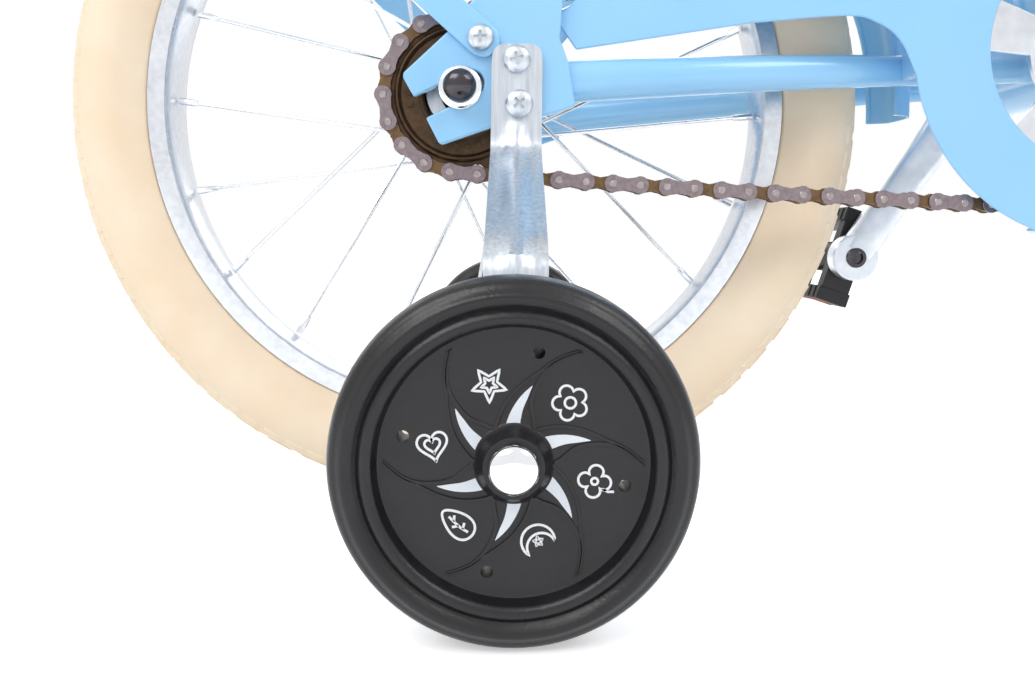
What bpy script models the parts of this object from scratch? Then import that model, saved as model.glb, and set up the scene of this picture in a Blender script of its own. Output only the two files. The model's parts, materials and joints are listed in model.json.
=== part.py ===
# Kids bike with training wheels, 16 inch wheels, single speed.
# Metres. +X is the front, +Y the bike's left, +Z up. The origin is on the ground, midway between the axles.

import bpy
import bmesh
from math import asin, atan2, cos, hypot, pi, radians, sin, sqrt
from mathutils import Matrix, Vector

# Driving dimensions

GAP = 0.0003

WHEELBASE = 0.735
TYRE_RADIUS = 0.200
TYRE_WIDTH = 0.047
TYRE_HEIGHT = 0.040
RIM_WIDTH = 0.029
RIM_DEPTH = 0.0115
SPOKE_COUNT = 20
SPOKE_RADIUS = 0.0011
SPOKE_CLEARANCE = 0.0008
WHEEL_SIDES = 36
BAR_SIDES = 12

HUB_FLANGE_RADIUS = 0.0240
HUB_LACING_RADIUS = 0.0200
HUB_BARREL_RADIUS = 0.0135
HUB_FLANGE_THICKNESS = 0.003
REAR_FLANGE_RIGHT = -0.0240
REAR_FLANGE_LEFT = 0.0290
FRONT_FLANGE_OFFSET = 0.0280
AXLE_RADIUS = 0.0047
AXLE_NUT_RADIUS = 0.0075
AXLE_WASHER_RADIUS = 0.0097
DROPOUT_INNER = 0.0580
DROPOUT_THICKNESS = 0.0040
FRONT_TIP_INNER = 0.0480

CHAIN_PITCH = 0.0127
CHAIN_LINE = 0.0450
CHAIN_WIDTH = 0.0090
CHAIN_HEIGHT = 0.0084
RING_TEETH = 36
FREEWHEEL_TEETH = 18
TOOTH_THICKNESS = 0.0026
TOOTH_HEIGHT = 0.0024
CHAINRING_WINDOWS = 5

BRACKET_AHEAD = 0.2956
BRACKET_RISE = 0.0190
SHELL_WIDTH = 0.0680
SHELL_RADIUS = 0.0200
CRANK_LENGTH = 0.1170
CRANK_ANGLE = 57.0
CRANK_THICKNESS = 0.0105
SPINDLE_RADIUS = 0.0062
SPINDLE_BODY_RADIUS = 0.0085
PEDAL_LENGTH = 0.0600
PEDAL_WIDTH = 0.0780
PEDAL_THICKNESS = 0.0200
PEDAL_TILT = 71.0

GUARD_MARGIN = 0.0161
GUARD_HOLE = 0.0545
GUARD_CLEARANCE = 0.0070
CRANK_CLEARANCE = 0.0035
GUARD_WALL = 0.0015
GUARD_LIP = 0.0085

HEAD_ANGLE = 70.0
FORK_RAKE = 0.0300
CROWN_ROOM = 0.0060
CROWN_HEIGHT = 0.0254
HEAD_TUBE_LENGTH = 0.1050
HEAD_TUBE_WALL = 0.0030
BEARING_ROOM = 0.0018
HEADSET_CUP_HEIGHT = 0.0080
STEERER_RADIUS = 0.0127
SEAT_ANGLE = 71.0
SEAT_TUBE_LENGTH = 0.2650
SEAT_TUBE_WALL = 0.0020
SEAT_POST_RADIUS = 0.0127
DOWN_TUBE_RADIUS = 0.0160
TOP_TUBE_RADIUS = 0.0140
SADDLE_RISE = 0.0750
POST_DEPTH = 0.1150
POST_BORE_DEPTH = 0.2150
TOP_TUBE_DROP = 0.1050
STAY_DROP = 0.0330

MUDGUARD_CLEARANCE = 0.0260
MUDGUARD_SIDE = 0.0045
MUDGUARD_WALL = 0.0013

BAR_RADIUS = 0.0111
BAR_HALF_WIDTH = 0.2550
BAR_RISE = 0.0900
BAR_REACH = 0.0350
STEM_RISE = 0.0740
QUILL_DEPTH = 0.0530
GRIP_LENGTH = 0.1080
GRIP_RADIUS = 0.0160

TRAINING_RADIUS = 0.0605
TRAINING_OFFSET = 0.1690
TRAINING_WIDTH = 0.0280
TRAINING_AHEAD = 0.0227
TRAINING_PIN = 0.0045
BRACKET_WIDTH = 0.0226
BRACKET_THICKNESS = 0.0030
SCREW_HEAD_RADIUS = 0.0062
SCREW_HEAD_HEIGHT = 0.0034
BRAKE_BOLT_RADIUS = 0.0030
ARM_THICKNESS = 0.0040
PAD_GAP = 0.0025
PAD_THICKNESS = 0.0110
PAD_HALF_LENGTH = 0.0150
PAD_HALF_HEIGHT = 0.0028
CABLE_RADIUS = 0.0024
WIRE_RADIUS = 0.0010

# Places that follow from the driving dimensions

REAR = Vector((-WHEELBASE / 2, 0, TYRE_RADIUS))
FRONT = Vector((WHEELBASE / 2, 0, TYRE_RADIUS))
CRANK = Vector((REAR.x + BRACKET_AHEAD, 0, TYRE_RADIUS + BRACKET_RISE))
PLATE_OUTER = DROPOUT_INNER + DROPOUT_THICKNESS
RIM_RADIUS = TYRE_RADIUS - TYRE_HEIGHT
RIM_INNER = RIM_RADIUS - RIM_DEPTH
RING_RADIUS = CHAIN_PITCH / (2 * sin(pi / RING_TEETH))
FREEWHEEL_RADIUS = CHAIN_PITCH / (2 * sin(pi / FREEWHEEL_TEETH))
GUARD_OUTER = RING_RADIUS + GUARD_MARGIN
GUARD_FACE = CHAIN_LINE + CHAIN_WIDTH / 2 + GUARD_CLEARANCE
CRANK_INNER = GUARD_FACE + CRANK_CLEARANCE
MUDGUARD_RADIUS = TYRE_RADIUS + MUDGUARD_CLEARANCE
MUDGUARD_WIDTH = TYRE_WIDTH + 2 * MUDGUARD_SIDE
MUDGUARD_HALF = MUDGUARD_WIDTH / 2
CROWN_LOW = MUDGUARD_RADIUS + CROWN_ROOM
CROWN_HIGH = CROWN_LOW + CROWN_HEIGHT
HEAD_TUBE_START = CROWN_HIGH + HEADSET_CUP_HEIGHT + GAP * 2
HEAD_TOP = HEAD_TUBE_START + HEAD_TUBE_LENGTH
HEAD_BORE = STEERER_RADIUS + BEARING_ROOM
HEAD_TUBE_RADIUS = HEAD_BORE + HEAD_TUBE_WALL
SEAT_TUBE_RADIUS = SEAT_POST_RADIUS + GAP + SEAT_TUBE_WALL
BAR_HEIGHT = HEAD_TOP + STEM_RISE
PAD_RADIUS = RIM_RADIUS - RIM_DEPTH * 0.56
ARM_SPREAD = MUDGUARD_HALF + 0.0095
LUG_SIDE = ARM_SPREAD + 0.0145

STEER_UP = Vector((-cos(radians(HEAD_ANGLE)), 0, sin(radians(HEAD_ANGLE))))
STEER_AHEAD = Vector((sin(radians(HEAD_ANGLE)), 0, cos(radians(HEAD_ANGLE))))
STEER_BASE = FRONT - STEER_AHEAD * FORK_RAKE
SEAT_UP = Vector((-cos(radians(SEAT_ANGLE)), 0, sin(radians(SEAT_ANGLE))))
LEFT = Vector((0, 1, 0))
UP = Vector((0, 0, 1))
AHEAD = Vector((1, 0, 0))


def steer_point(along, ahead=0.0, side=0.0):
    """A point given by its height along the steering axis, its distance ahead of it and to the left."""
    return STEER_BASE + STEER_UP * along + STEER_AHEAD * ahead + LEFT * side


def rear_point(x, side, z):
    """A point measured from the rear axle along X and from the ground along Z."""
    return Vector((REAR.x + x, side, z))


# A clean scene

for old in list(bpy.data.objects):
    bpy.data.objects.remove(old)


def material(name, colour, roughness, metallic=0.0):
    """A Principled material in the part's colour."""
    made = bpy.data.materials.new(name)
    made.use_nodes = True
    shader = made.node_tree.nodes["Principled BSDF"]
    shader.inputs["Base Color"].default_value = (*colour, 1.0)
    shader.inputs["Roughness"].default_value = roughness
    shader.inputs["Metallic"].default_value = metallic
    return made


BLUE = material("blue_enamel", (0.22, 0.56, 0.92), 0.25)
CREAM = material("cream_rubber", (0.88, 0.74, 0.55), 0.70)
ALLOY = material("polished_alloy", (0.80, 0.81, 0.84), 0.22, 1.0)
SILVER = material("silver_steel", (0.76, 0.78, 0.82), 0.30, 1.0)
ZINC = material("zinc_plate", (0.66, 0.69, 0.74), 0.40, 1.0)
BROWN = material("browned_steel", (0.07, 0.045, 0.025), 0.45, 1.0)
GREY = material("chain_steel", (0.25, 0.21, 0.22), 0.40, 1.0)
BLACK = material("black_plastic", (0.025, 0.023, 0.026), 0.45)
CREAM_VINYL = material("cream_vinyl", (0.88, 0.78, 0.62), 0.55)

# Modelling helpers

def world_place(empty):
    """Where an empty stands in the world, with the pivots it hangs from."""
    return empty.location + world_place(empty.parent) if empty.parent else empty.location.copy()


def pivot(name, place, parent=None):
    """An empty on a joint's axis, for the pieces that turn about it."""
    empty = bpy.data.objects.new(name, None)
    empty.location = place
    if parent is not None:
        empty.parent = parent
        empty.location = place - world_place(parent)
    empty.empty_display_size = 0.02
    bpy.context.scene.collection.objects.link(empty)
    return empty


def finish_mesh(bm, name, paint, parent=None, smooth=True):
    """Turns a bmesh in world coordinates into a named object, under its pivot where it has one."""
    bmesh.ops.remove_doubles(bm, verts=bm.verts, dist=0.000001)
    loose = [edge for edge in bm.edges if edge.is_wire]
    bmesh.ops.delete(bm, geom=loose, context="EDGES")
    bmesh.ops.recalc_face_normals(bm, faces=bm.faces)
    if bm.calc_volume(signed=True) < 0:
        bmesh.ops.reverse_faces(bm, faces=bm.faces)
    if parent:
        bmesh.ops.translate(bm, verts=bm.verts, vec=-world_place(parent))
    mesh = bpy.data.meshes.new(name)
    bm.to_mesh(mesh)
    bm.free()
    if smooth:
        mesh.shade_smooth()
        mesh.set_sharp_from_angle(angle=radians(35))
    mesh.materials.append(paint)
    made = bpy.data.objects.new(name, mesh)
    made.parent = parent
    bpy.context.scene.collection.objects.link(made)
    return made


def frame_along(direction, hint=UP):
    """Two unit vectors square to a direction, the first as near to sideways of the hint as it can be."""
    forward = direction.normalized()
    if abs(forward.dot(hint)) > 0.999:
        hint = AHEAD
    side = hint.cross(forward).normalized()
    return side, forward.cross(side).normalized()


def ring_of_edges(bm, centre, across, upward, half_across, half_up, sides, turn=0.5):
    """One elliptical ring: across and upward are its unit axes. Returns its edges."""
    normal = across.cross(upward)
    place = Matrix((across * half_across, upward * half_up, normal)).transposed().to_4x4()
    place.translation = centre
    spin = Matrix.Rotation(2 * pi * turn / sides, 4, "Z")
    made = bmesh.ops.create_circle(bm, segments=sides, radius=1.0, matrix=place @ spin)
    verts = set(made["verts"])
    return [edge for edge in bm.edges if edge.verts[0] in verts and edge.verts[1] in verts]


def loft(bm, stations, sides, turn=0.5):
    """Bridges elliptical rings (centre, across, upward, half_across, half_up) and closes both ends."""
    rings = [ring_of_edges(bm, *station, sides, turn) for station in stations]
    for first, second in zip(rings, rings[1:]):
        bmesh.ops.bridge_loops(bm, edges=first + second)
    bmesh.ops.edgeloop_fill(bm, edges=rings[0])
    bmesh.ops.edgeloop_fill(bm, edges=rings[-1])


def path_stations(points, radii, hint=UP, flat=None):
    """Stations square to a path. flat gives the second half-width of each ring, for an oval tube."""
    stations = []
    last = len(points) - 1
    for index, point in enumerate(points):
        before = points[max(index - 1, 0)]
        after = points[min(index + 1, last)]
        into = (point - before).normalized() if index else (after - point).normalized()
        out = (after - point).normalized() if index < last else into
        side, upward = frame_along(into + out, hint)
        radius = radii[index] if isinstance(radii, (list, tuple)) else radii
        other = flat[index] if flat else radius
        stations.append((point, side, upward, radius, other))
    return stations


def tube(name, points, radii, paint, parent=None, sides=12, hint=UP, flat=None):
    """A closed round or oval tube along a path."""
    bm = bmesh.new()
    loft(bm, path_stations(points, radii, hint, flat), sides)
    return finish_mesh(bm, name, paint, parent)


def turned(name, centre, axis, profile, paint, parent=None, sides=24, phase=0.5):
    """A body of revolution. Its profile is a closed outline of (radius, distance along the axis)."""
    bm = bmesh.new()
    side, upward = frame_along(axis)
    start = side * cos(2 * pi * phase / sides) + upward * sin(2 * pi * phase / sides)
    verts = [bm.verts.new(centre + start * radius + axis.normalized() * along) for radius, along in profile]
    edges = [bm.edges.new((verts[i - 1], verts[i])) for i in range(len(verts))]
    bmesh.ops.spin(bm, geom=verts + edges, cent=centre, axis=axis, angle=2 * pi, steps=sides, use_merge=True)
    return finish_mesh(bm, name, paint, parent)


def solid_of_revolution(name, centre, axis, profile, paint, parent=None, sides=12, phase=0.5):
    """A lathe-turned solid with no bore: the profile starts and ends on the axis, which aren't listed."""
    bm = bmesh.new()
    side, upward = frame_along(axis)
    unit = axis.normalized()
    stations = [(centre + unit * along, side, upward, radius, radius) for radius, along in profile]
    loft(bm, stations, sides, phase)
    return finish_mesh(bm, name, paint, parent)


def cylinder(name, start, end, radius, paint, parent=None, sides=12):
    """A plain round bar between two points."""
    return tube(name, [start, end], radius, paint, parent, sides)


def plate(name, outline, paint, y_from, y_to, parent=None, smooth=True):
    """A flat outline in the XZ plane, given a thickness along Y."""
    bm = bmesh.new()
    verts = [bm.verts.new((x, y_from, z)) for x, z in outline]
    face = bm.faces.new(verts)
    grown = bmesh.ops.extrude_face_region(bm, geom=[face])
    moved = [item for item in grown["geom"] if isinstance(item, bmesh.types.BMVert)]
    bmesh.ops.translate(bm, verts=moved, vec=(0, y_to - y_from, 0))
    return finish_mesh(bm, name, paint, parent, smooth)


def block(name, centre, axes, half_sizes, paint, parent=None):
    """A box with its three unit axes and half sizes."""
    bm = bmesh.new()
    columns = [axis * half * 2 for axis, half in zip(axes, half_sizes)]
    place = Matrix(columns).transposed().to_4x4()
    place.translation = centre
    bmesh.ops.create_cube(bm, size=1.0, matrix=place)
    return finish_mesh(bm, name, paint, parent, smooth=False)


def arc(centre, radius, start, end, steps):
    """Points of an arc in the XZ plane, angles in degrees."""
    angles = [radians(start + (end - start) * i / steps) for i in range(steps + 1)]
    return [(centre[0] + radius * cos(a), centre[1] + radius * sin(a)) for a in angles]


def combine(target, others, operation):
    """Joins or cuts with exact Booleans, and removes the tools afterwards."""
    for other in others:
        step = target.modifiers.new("combine", "BOOLEAN")
        step.operation = operation
        step.solver = "EXACT"
        step.object = other
        bpy.context.view_layer.update()
        graph = bpy.context.evaluated_depsgraph_get()
        made = bpy.data.meshes.new_from_object(target.evaluated_get(graph))
        target.modifiers.remove(step)
        target.data = made
        bpy.data.objects.remove(other)
    tidy = bmesh.new()
    tidy.from_mesh(target.data)
    bmesh.ops.dissolve_degenerate(tidy, dist=0.00001, edges=tidy.edges)
    bmesh.ops.remove_doubles(tidy, verts=tidy.verts, dist=0.000005)
    tidy.to_mesh(target.data)
    tidy.free()
    target.data.shade_smooth()
    target.data.set_sharp_from_angle(angle=radians(35))
    return target


def unite(target, others):
    return combine(target, others, "UNION")


def cut(target, others):
    return combine(target, others, "DIFFERENCE")


def facet(radius, sides=WHEEL_SIDES):
    """The corner radius of a many-sided ring whose flats lie at the given radius."""
    return radius / cos(pi / sides)


# Wheels

def make_tyre(name, centre, parent):
    half = TYRE_WIDTH / 2
    bead = RIM_RADIUS + GAP
    wall = TYRE_RADIUS - bead
    side = [
        (TYRE_RADIUS, half * 0.34),
        (TYRE_RADIUS - wall * 0.15, half * 0.79),
        (TYRE_RADIUS - wall * 0.55, half),
        (bead, RIM_WIDTH / 2),
    ]
    profile = [(facet(r), y) for r, y in side] + [(facet(r), -y) for r, y in reversed(side)]
    return turned(name, centre, LEFT, profile, CREAM, parent, WHEEL_SIDES)


def make_rim(name, centre, parent):
    half = RIM_WIDTH / 2
    side = [(RIM_RADIUS, half), (RIM_RADIUS - 0.0087, half * 0.97)]
    middle = [(facet(RIM_INNER), 0)]
    profile = [(facet(r), y) for r, y in side] + middle + [(facet(r), -y) for r, y in reversed(side)]
    return turned(name, centre, LEFT, profile, ALLOY, parent, WHEEL_SIDES)


HUB_BORE = 0.0100
CONE_RADIUS = HUB_BORE - GAP
LOCKNUT_RADIUS = 0.0085


def make_spoke(number, centre, flange_y, lean, parent):
    """One spoke, from inside the hub flange to just short of the rim."""
    step = 2 * pi / SPOKE_COUNT
    at_rim = step * number + radians(178.4)
    at_hub = at_rim + lean * 4 * step

    def spot(radius, angle, y):
        return centre + Vector((radius * cos(angle), y, radius * sin(angle)))

    inner = spot(HUB_LACING_RADIUS, at_hub, flange_y)
    outer = spot(RIM_INNER - SPOKE_CLEARANCE, at_rim, flange_y * 0.10)
    return cylinder("spoke", inner, outer, SPOKE_RADIUS, ZINC, parent, 3)


def make_hub(name, centre, flanges, ends, end_radii, parent):
    """A turned hub shell with two flanges, fused with its spokes."""
    right, left = flanges
    thick = HUB_FLANGE_THICKNESS / 2
    outer = [
        (end_radii[0], ends[0]), (end_radii[0], right - thick),
        (HUB_FLANGE_RADIUS, right - thick), (HUB_FLANGE_RADIUS, right + thick),
        (HUB_BARREL_RADIUS, right + thick), (HUB_BARREL_RADIUS, left - thick),
        (HUB_FLANGE_RADIUS, left - thick), (HUB_FLANGE_RADIUS, left + thick),
        (end_radii[1], left + thick), (end_radii[1], ends[1]),
    ]
    profile = outer + [(HUB_BORE, ends[1]), (HUB_BORE, ends[0])]
    hub = turned(name, centre, LEFT, profile, ZINC, parent, sides=14)
    spokes = []
    for number in range(SPOKE_COUNT):
        flange_y = right if number % 2 == 0 else left
        lean = 1 if number % 4 < 2 else -1
        spokes.append(make_spoke(number, centre, flange_y + lean * thick * 0.4, lean, parent))
    return unite(hub, spokes)


AXLE_NUT_HEIGHT = 0.0085


def make_rear_axle():
    """The threaded rear axle with its cones and locknuts, seated between the dropouts."""
    seat = DROPOUT_INNER - GAP
    end = PLATE_OUTER + AXLE_NUT_HEIGHT - 0.001
    profile = [
        (AXLE_RADIUS, -end), (AXLE_RADIUS, -seat),
        (LOCKNUT_RADIUS, -seat), (CONE_RADIUS, REAR_HUB_ENDS[0] + 0.0080),
        (AXLE_RADIUS, REAR_HUB_ENDS[0] + 0.0080), (AXLE_RADIUS, REAR_HUB_ENDS[1] - 0.0080),
        (CONE_RADIUS, REAR_HUB_ENDS[1] - 0.0080), (LOCKNUT_RADIUS, seat),
        (AXLE_RADIUS, seat), (AXLE_RADIUS, end),
    ]
    return solid_of_revolution("rear_axle", REAR, LEFT, profile, ZINC, sides=16)


rear_wheel_axis = pivot("rear_wheel_axis", REAR)
make_tyre("rear_tyre", REAR, rear_wheel_axis)
make_rim("rear_rim", REAR, rear_wheel_axis)
REAR_HUB_ENDS = (-(DROPOUT_INNER - 0.0100), DROPOUT_INNER - 0.0180)
FREEWHEEL_SEAT = 0.0170
make_hub("rear_hub", REAR, (REAR_FLANGE_RIGHT, REAR_FLANGE_LEFT), REAR_HUB_ENDS, (FREEWHEEL_SEAT, 0.0125),
         rear_wheel_axis)

make_rear_axle()


def make_axle_nut(name, centre, side, plate_face):
    """A flanged axle nut with a domed cap, blind over the axle's end."""
    face = plate_face + GAP
    bore = AXLE_RADIUS + GAP
    top = face + AXLE_NUT_HEIGHT
    profile = [
        (bore, face), (AXLE_WASHER_RADIUS, face), (AXLE_WASHER_RADIUS, face + 0.0022),
        (AXLE_NUT_RADIUS, face + 0.0026), (AXLE_NUT_RADIUS, top - 0.001), (0.0058, top + 0.0010),
        (0.0040, top + 0.0036), (0.0, top + 0.0043), (0.0, top - GAP), (bore, top - GAP),
    ]
    return turned(name, centre, LEFT * side, profile, SILVER, sides=12)


make_axle_nut("right_rear_axle_nut", REAR, -1, PLATE_OUTER)
make_axle_nut("left_rear_axle_nut", REAR, 1, PLATE_OUTER)

# Drive: freewheel, chainring, chain

DRIVE_SPAN = hypot(CRANK.x - REAR.x, CRANK.z - REAR.z)
DRIVE_SLOPE = atan2(CRANK.z - REAR.z, CRANK.x - REAR.x)
DRIVE_TAPER = asin((RING_RADIUS - FREEWHEEL_RADIUS) / DRIVE_SPAN)
RUN_LENGTH = DRIVE_SPAN * cos(DRIVE_TAPER)
LOWER_NORMAL = DRIVE_SLOPE - DRIVE_TAPER - pi / 2
UPPER_NORMAL = DRIVE_SLOPE + DRIVE_TAPER + pi / 2
FIRST_PIN = radians(180.6)
PINS_TO_RING = (LOWER_NORMAL + 2 * pi - FIRST_PIN) * FREEWHEEL_TEETH / (2 * pi) + RUN_LENGTH / CHAIN_PITCH
RING_VALLEY = LOWER_NORMAL - PINS_TO_RING * 2 * pi / RING_TEETH


def toothed_outline(centre, teeth, pitch_radius, valley):
    """A sprocket's outline: a tooth between each pair of roller seats."""
    points = []
    step = 2 * pi / teeth
    for number in range(teeth):
        middle = valley + (number + 0.5) * step
        for radius, share in ((-0.0037, -0.34), (TOOTH_HEIGHT, 0.0), (-0.0037, 0.34)):
            r = pitch_radius + radius
            a = middle + share * step
            points.append((centre.x + r * cos(a), centre.z + r * sin(a)))
    return points


crank_axis = pivot("crank_axis", CRANK)
freewheel_axis = pivot("freewheel_axis", REAR)


def make_freewheel():
    """The toothed ring with its raised outer body, open in the middle for the hub."""
    half = TOOTH_THICKNESS / 2
    outline = toothed_outline(REAR, FREEWHEEL_TEETH, FREEWHEEL_RADIUS, FIRST_PIN)
    ring = plate("freewheel", outline, BROWN, -CHAIN_LINE - half, -CHAIN_LINE + half, freewheel_axis)
    body_radius = FREEWHEEL_RADIUS - 0.0055
    body = [(body_radius, -CHAIN_LINE - 0.0045), (body_radius, -CHAIN_LINE + 0.0100)]
    bore = [(FREEWHEEL_SEAT + GAP, 0.02), (FREEWHEEL_SEAT + GAP, 0.07)]
    shell = solid_of_revolution("shell", REAR, LEFT, body, BROWN, freewheel_axis, 18)
    hole = solid_of_revolution("hole", REAR, -LEFT, bore, BROWN, freewheel_axis, 20)
    unite(ring, [shell])
    return cut(ring, [hole])


make_freewheel()

CRANK_BOSS_RADIUS = 0.0170


def make_chainring():
    """The large toothed disc with windows, seated on the right crank's boss."""
    half = TOOTH_THICKNESS / 2
    outline = toothed_outline(CRANK, RING_TEETH, RING_RADIUS, RING_VALLEY)
    ring = plate("chainring", outline, ALLOY, -CHAIN_LINE - half, -CHAIN_LINE + half, crank_axis)
    centre = (CRANK.x, CRANK.z)
    tools = []
    for number in range(CHAINRING_WINDOWS):
        middle = CRANK_ANGLE + 360 / CHAINRING_WINDOWS * number
        window = arc(centre, 0.0590, middle - 23, middle + 23, 4) + arc(centre, 0.0300, middle + 19,
                                                                        middle - 19, 2)
        tools.append(plate("window", window, ALLOY, -CHAIN_LINE - 0.01, -CHAIN_LINE + 0.01, crank_axis))
    boss = [(CRANK_BOSS_RADIUS + GAP, 0.03), (CRANK_BOSS_RADIUS + GAP, 0.06)]
    tools.append(solid_of_revolution("boss_hole", CRANK, -LEFT, boss, ALLOY, crank_axis, 20))
    return cut(ring, tools)


make_chainring()


CHAIN_SAG = 0.0012
CHAIN_INNER_HALF = TOOTH_THICKNESS / 2 + 0.0006


def chain_path():
    """Points of the chain's pitch line with their outward directions, once round."""
    points = []

    def wrap(centre, radius, start, turn, steps):
        for i in range(steps + 1):
            a = start - turn * i / steps
            out = Vector((cos(a), 0, sin(a)))
            points.append((Vector((centre.x, -CHAIN_LINE, centre.z)) + out * radius, out))

    wrap(CRANK, RING_RADIUS, UPPER_NORMAL, pi + 2 * DRIVE_TAPER, 17)
    lower = points[-1][0]
    end = REAR + Vector((cos(LOWER_NORMAL), 0, sin(LOWER_NORMAL))) * FREEWHEEL_RADIUS
    end.y = -CHAIN_LINE
    out = points[-1][1]
    for share in (0.25, 0.5, 0.75):
        sag = CHAIN_SAG * 4 * share * (1 - share)
        points.append((lower.lerp(end, share) + out * sag, out))
    wrap(REAR, FREEWHEEL_RADIUS, LOWER_NORMAL + 2 * pi, pi - 2 * DRIVE_TAPER, 8)
    return points


def make_chain():
    """The chain as one band: two side plates joined beyond the tips of the teeth."""
    bm = bmesh.new()
    half = CHAIN_WIDTH / 2
    outer = CHAIN_HEIGHT / 2
    web = TOOTH_HEIGHT + 0.0006
    section = [(-half, -outer), (-half, outer), (half, outer), (half, -outer),
               (CHAIN_INNER_HALF, -outer), (CHAIN_INNER_HALF, web), (-CHAIN_INNER_HALF, web),
               (-CHAIN_INNER_HALF, -outer)]
    loops = []
    for point, out in chain_path():
        verts = [bm.verts.new(point + LEFT * y + out * h) for y, h in section]
        loops.append([bm.edges.new((verts[i - 1], verts[i])) for i in range(len(verts))])
    for index in range(len(loops)):
        bmesh.ops.bridge_loops(bm, edges=loops[index - 1] + loops[index])
    return finish_mesh(bm, "chain", GREY)


make_chain()

# Frame

BRIDGE_ANGLE = radians(48.3)
BRIDGE_RADIUS = MUDGUARD_RADIUS + MUDGUARD_WALL + 0.0112
BRIDGE = REAR + Vector((cos(BRIDGE_ANGLE), 0, sin(BRIDGE_ANGLE))) * BRIDGE_RADIUS
BRIDGE_TANGENT = Vector((-sin(BRIDGE_ANGLE), 0, cos(BRIDGE_ANGLE)))
BRIDGE_TUBE_RADIUS = 0.0085
STAY_SPREAD = MUDGUARD_HALF + 0.0170
SEAT_TOP = CRANK + SEAT_UP * SEAT_TUBE_LENGTH
STAY_JOIN = SEAT_TOP - SEAT_UP * STAY_DROP
TOP_TUBE_JOIN = SEAT_TOP - SEAT_UP * TOP_TUBE_DROP
TOP_TUBE_FRONT = steer_point(HEAD_TOP - 0.020)
SLOT_ANGLE = radians(25)
SLOT_HALF = AXLE_RADIUS + 0.0006
SHELL_BORE = 0.0155


def slot_point(along, off):
    """A point of the dropout, measured from the axle along its slanted slot and square to it."""
    c, s = cos(SLOT_ANGLE), sin(SLOT_ANGLE)
    return (REAR.x + along * c - off * s, REAR.z + along * s + off * c)


def axle_relative(points):
    return [(REAR.x + x, REAR.z + z) for x, z in points]


def make_dropout(side):
    """A flat plate with a slanted slot that opens to the rear, for the axle."""
    outline = [slot_point(-0.0205, SLOT_HALF), slot_point(-0.0212, 0.0170)]
    outline += axle_relative([(-0.004, 0.0265), (0.011, 0.046), (0.028, 0.062), (0.0465, 0.050),
                              (0.0445, 0.0220)])
    outline += axle_relative([(0.0485, 0.0110), (0.0515, -0.0081), (0.0373, -0.0125), (0.0131, -0.0178)])
    outline += [slot_point(-0.0193, -0.0194), slot_point(-0.0197, -SLOT_HALF)]
    for i in range(7):
        a = -pi / 2 + pi * i / 6
        outline.append(slot_point(0.0058 + SLOT_HALF * cos(a), SLOT_HALF * sin(a)))
    return plate("dropout", outline, BLUE, side * DROPOUT_INNER, side * PLATE_OUTER)


def make_chainstay(side):
    """An oval tube from the bottom bracket to the dropout, squeezed thin beside the tyre and the chain."""
    rise = (CRANK.z - REAR.z - 0.0005) / BRACKET_AHEAD
    tyre = TYRE_WIDTH / 2
    rows = [
        (0.040, DROPOUT_INNER - 0.0048, 0.0052, 0.0092), (0.052, DROPOUT_INNER - 0.0050, 0.0056, 0.0094),
        (BRACKET_AHEAD * 0.254, tyre + 0.0280, 0.0072, 0.0092),
        (BRACKET_AHEAD * 0.440, tyre + 0.0215, 0.0075, 0.0086),
        (BRACKET_AHEAD * 0.602, tyre + 0.0131, 0.0060, 0.0080),
        (BRACKET_AHEAD * 0.727, tyre + 0.0065, 0.0056, 0.0074),
        (BRACKET_AHEAD * 0.863, SHELL_WIDTH / 2 - 0.0095, 0.0065, 0.0080),
        (BRACKET_AHEAD - 0.004, SHELL_WIDTH / 2 - 0.0130, 0.0070, 0.0085),
    ]
    points = []
    across = []
    tall = []
    for x, y, half_y, half_z in rows:
        lift = 0.0012 if x < BRACKET_AHEAD * 0.68 else 0.0005
        points.append(rear_point(x, side * y, REAR.z + lift + x * rise * 0.98))
        across.append(half_y)
        tall.append(half_z)
    return tube("chainstay", points, across, BLUE, sides=8, flat=tall)


def make_seatstay(side):
    """A tube flattened onto the dropout, straight up past the wheel, then in to the seat tube."""
    foot = rear_point(0.024, side * (DROPOUT_INNER - 0.0035), REAR.z + 0.030)
    shoulder = Vector((BRIDGE.x, side * STAY_SPREAD, BRIDGE.z))
    low = foot.lerp(shoulder, 0.24)
    low.y = foot.y
    middle = foot.lerp(shoulder, 0.46)
    middle.y = side * (DROPOUT_INNER - 0.0072)
    bend = shoulder.lerp(STAY_JOIN, 0.45)
    bend.y = side * 0.0330
    top = STAY_JOIN + LEFT * side * 0.0110
    across = [0.0038, 0.0040, 0.0068, 0.0078, 0.0078, 0.0075]
    tall = [0.0105, 0.0102, 0.0088, 0.0080, 0.0080, 0.0078]
    return tube("seatstay", [foot, low, middle, shoulder, bend, top], across, BLUE, sides=8, flat=tall)


TAB_OUTER = GUARD_FACE - GUARD_WALL - GAP
TAB_HALF_WIDTH = 0.0025
TAB_ROOM = 0.0037
REAR_TAB_X = BRACKET_AHEAD - RING_RADIUS - CHAIN_HEIGHT / 2 - TAB_ROOM - TAB_HALF_WIDTH
STAY_MIDDLE = 0.0330


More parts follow.
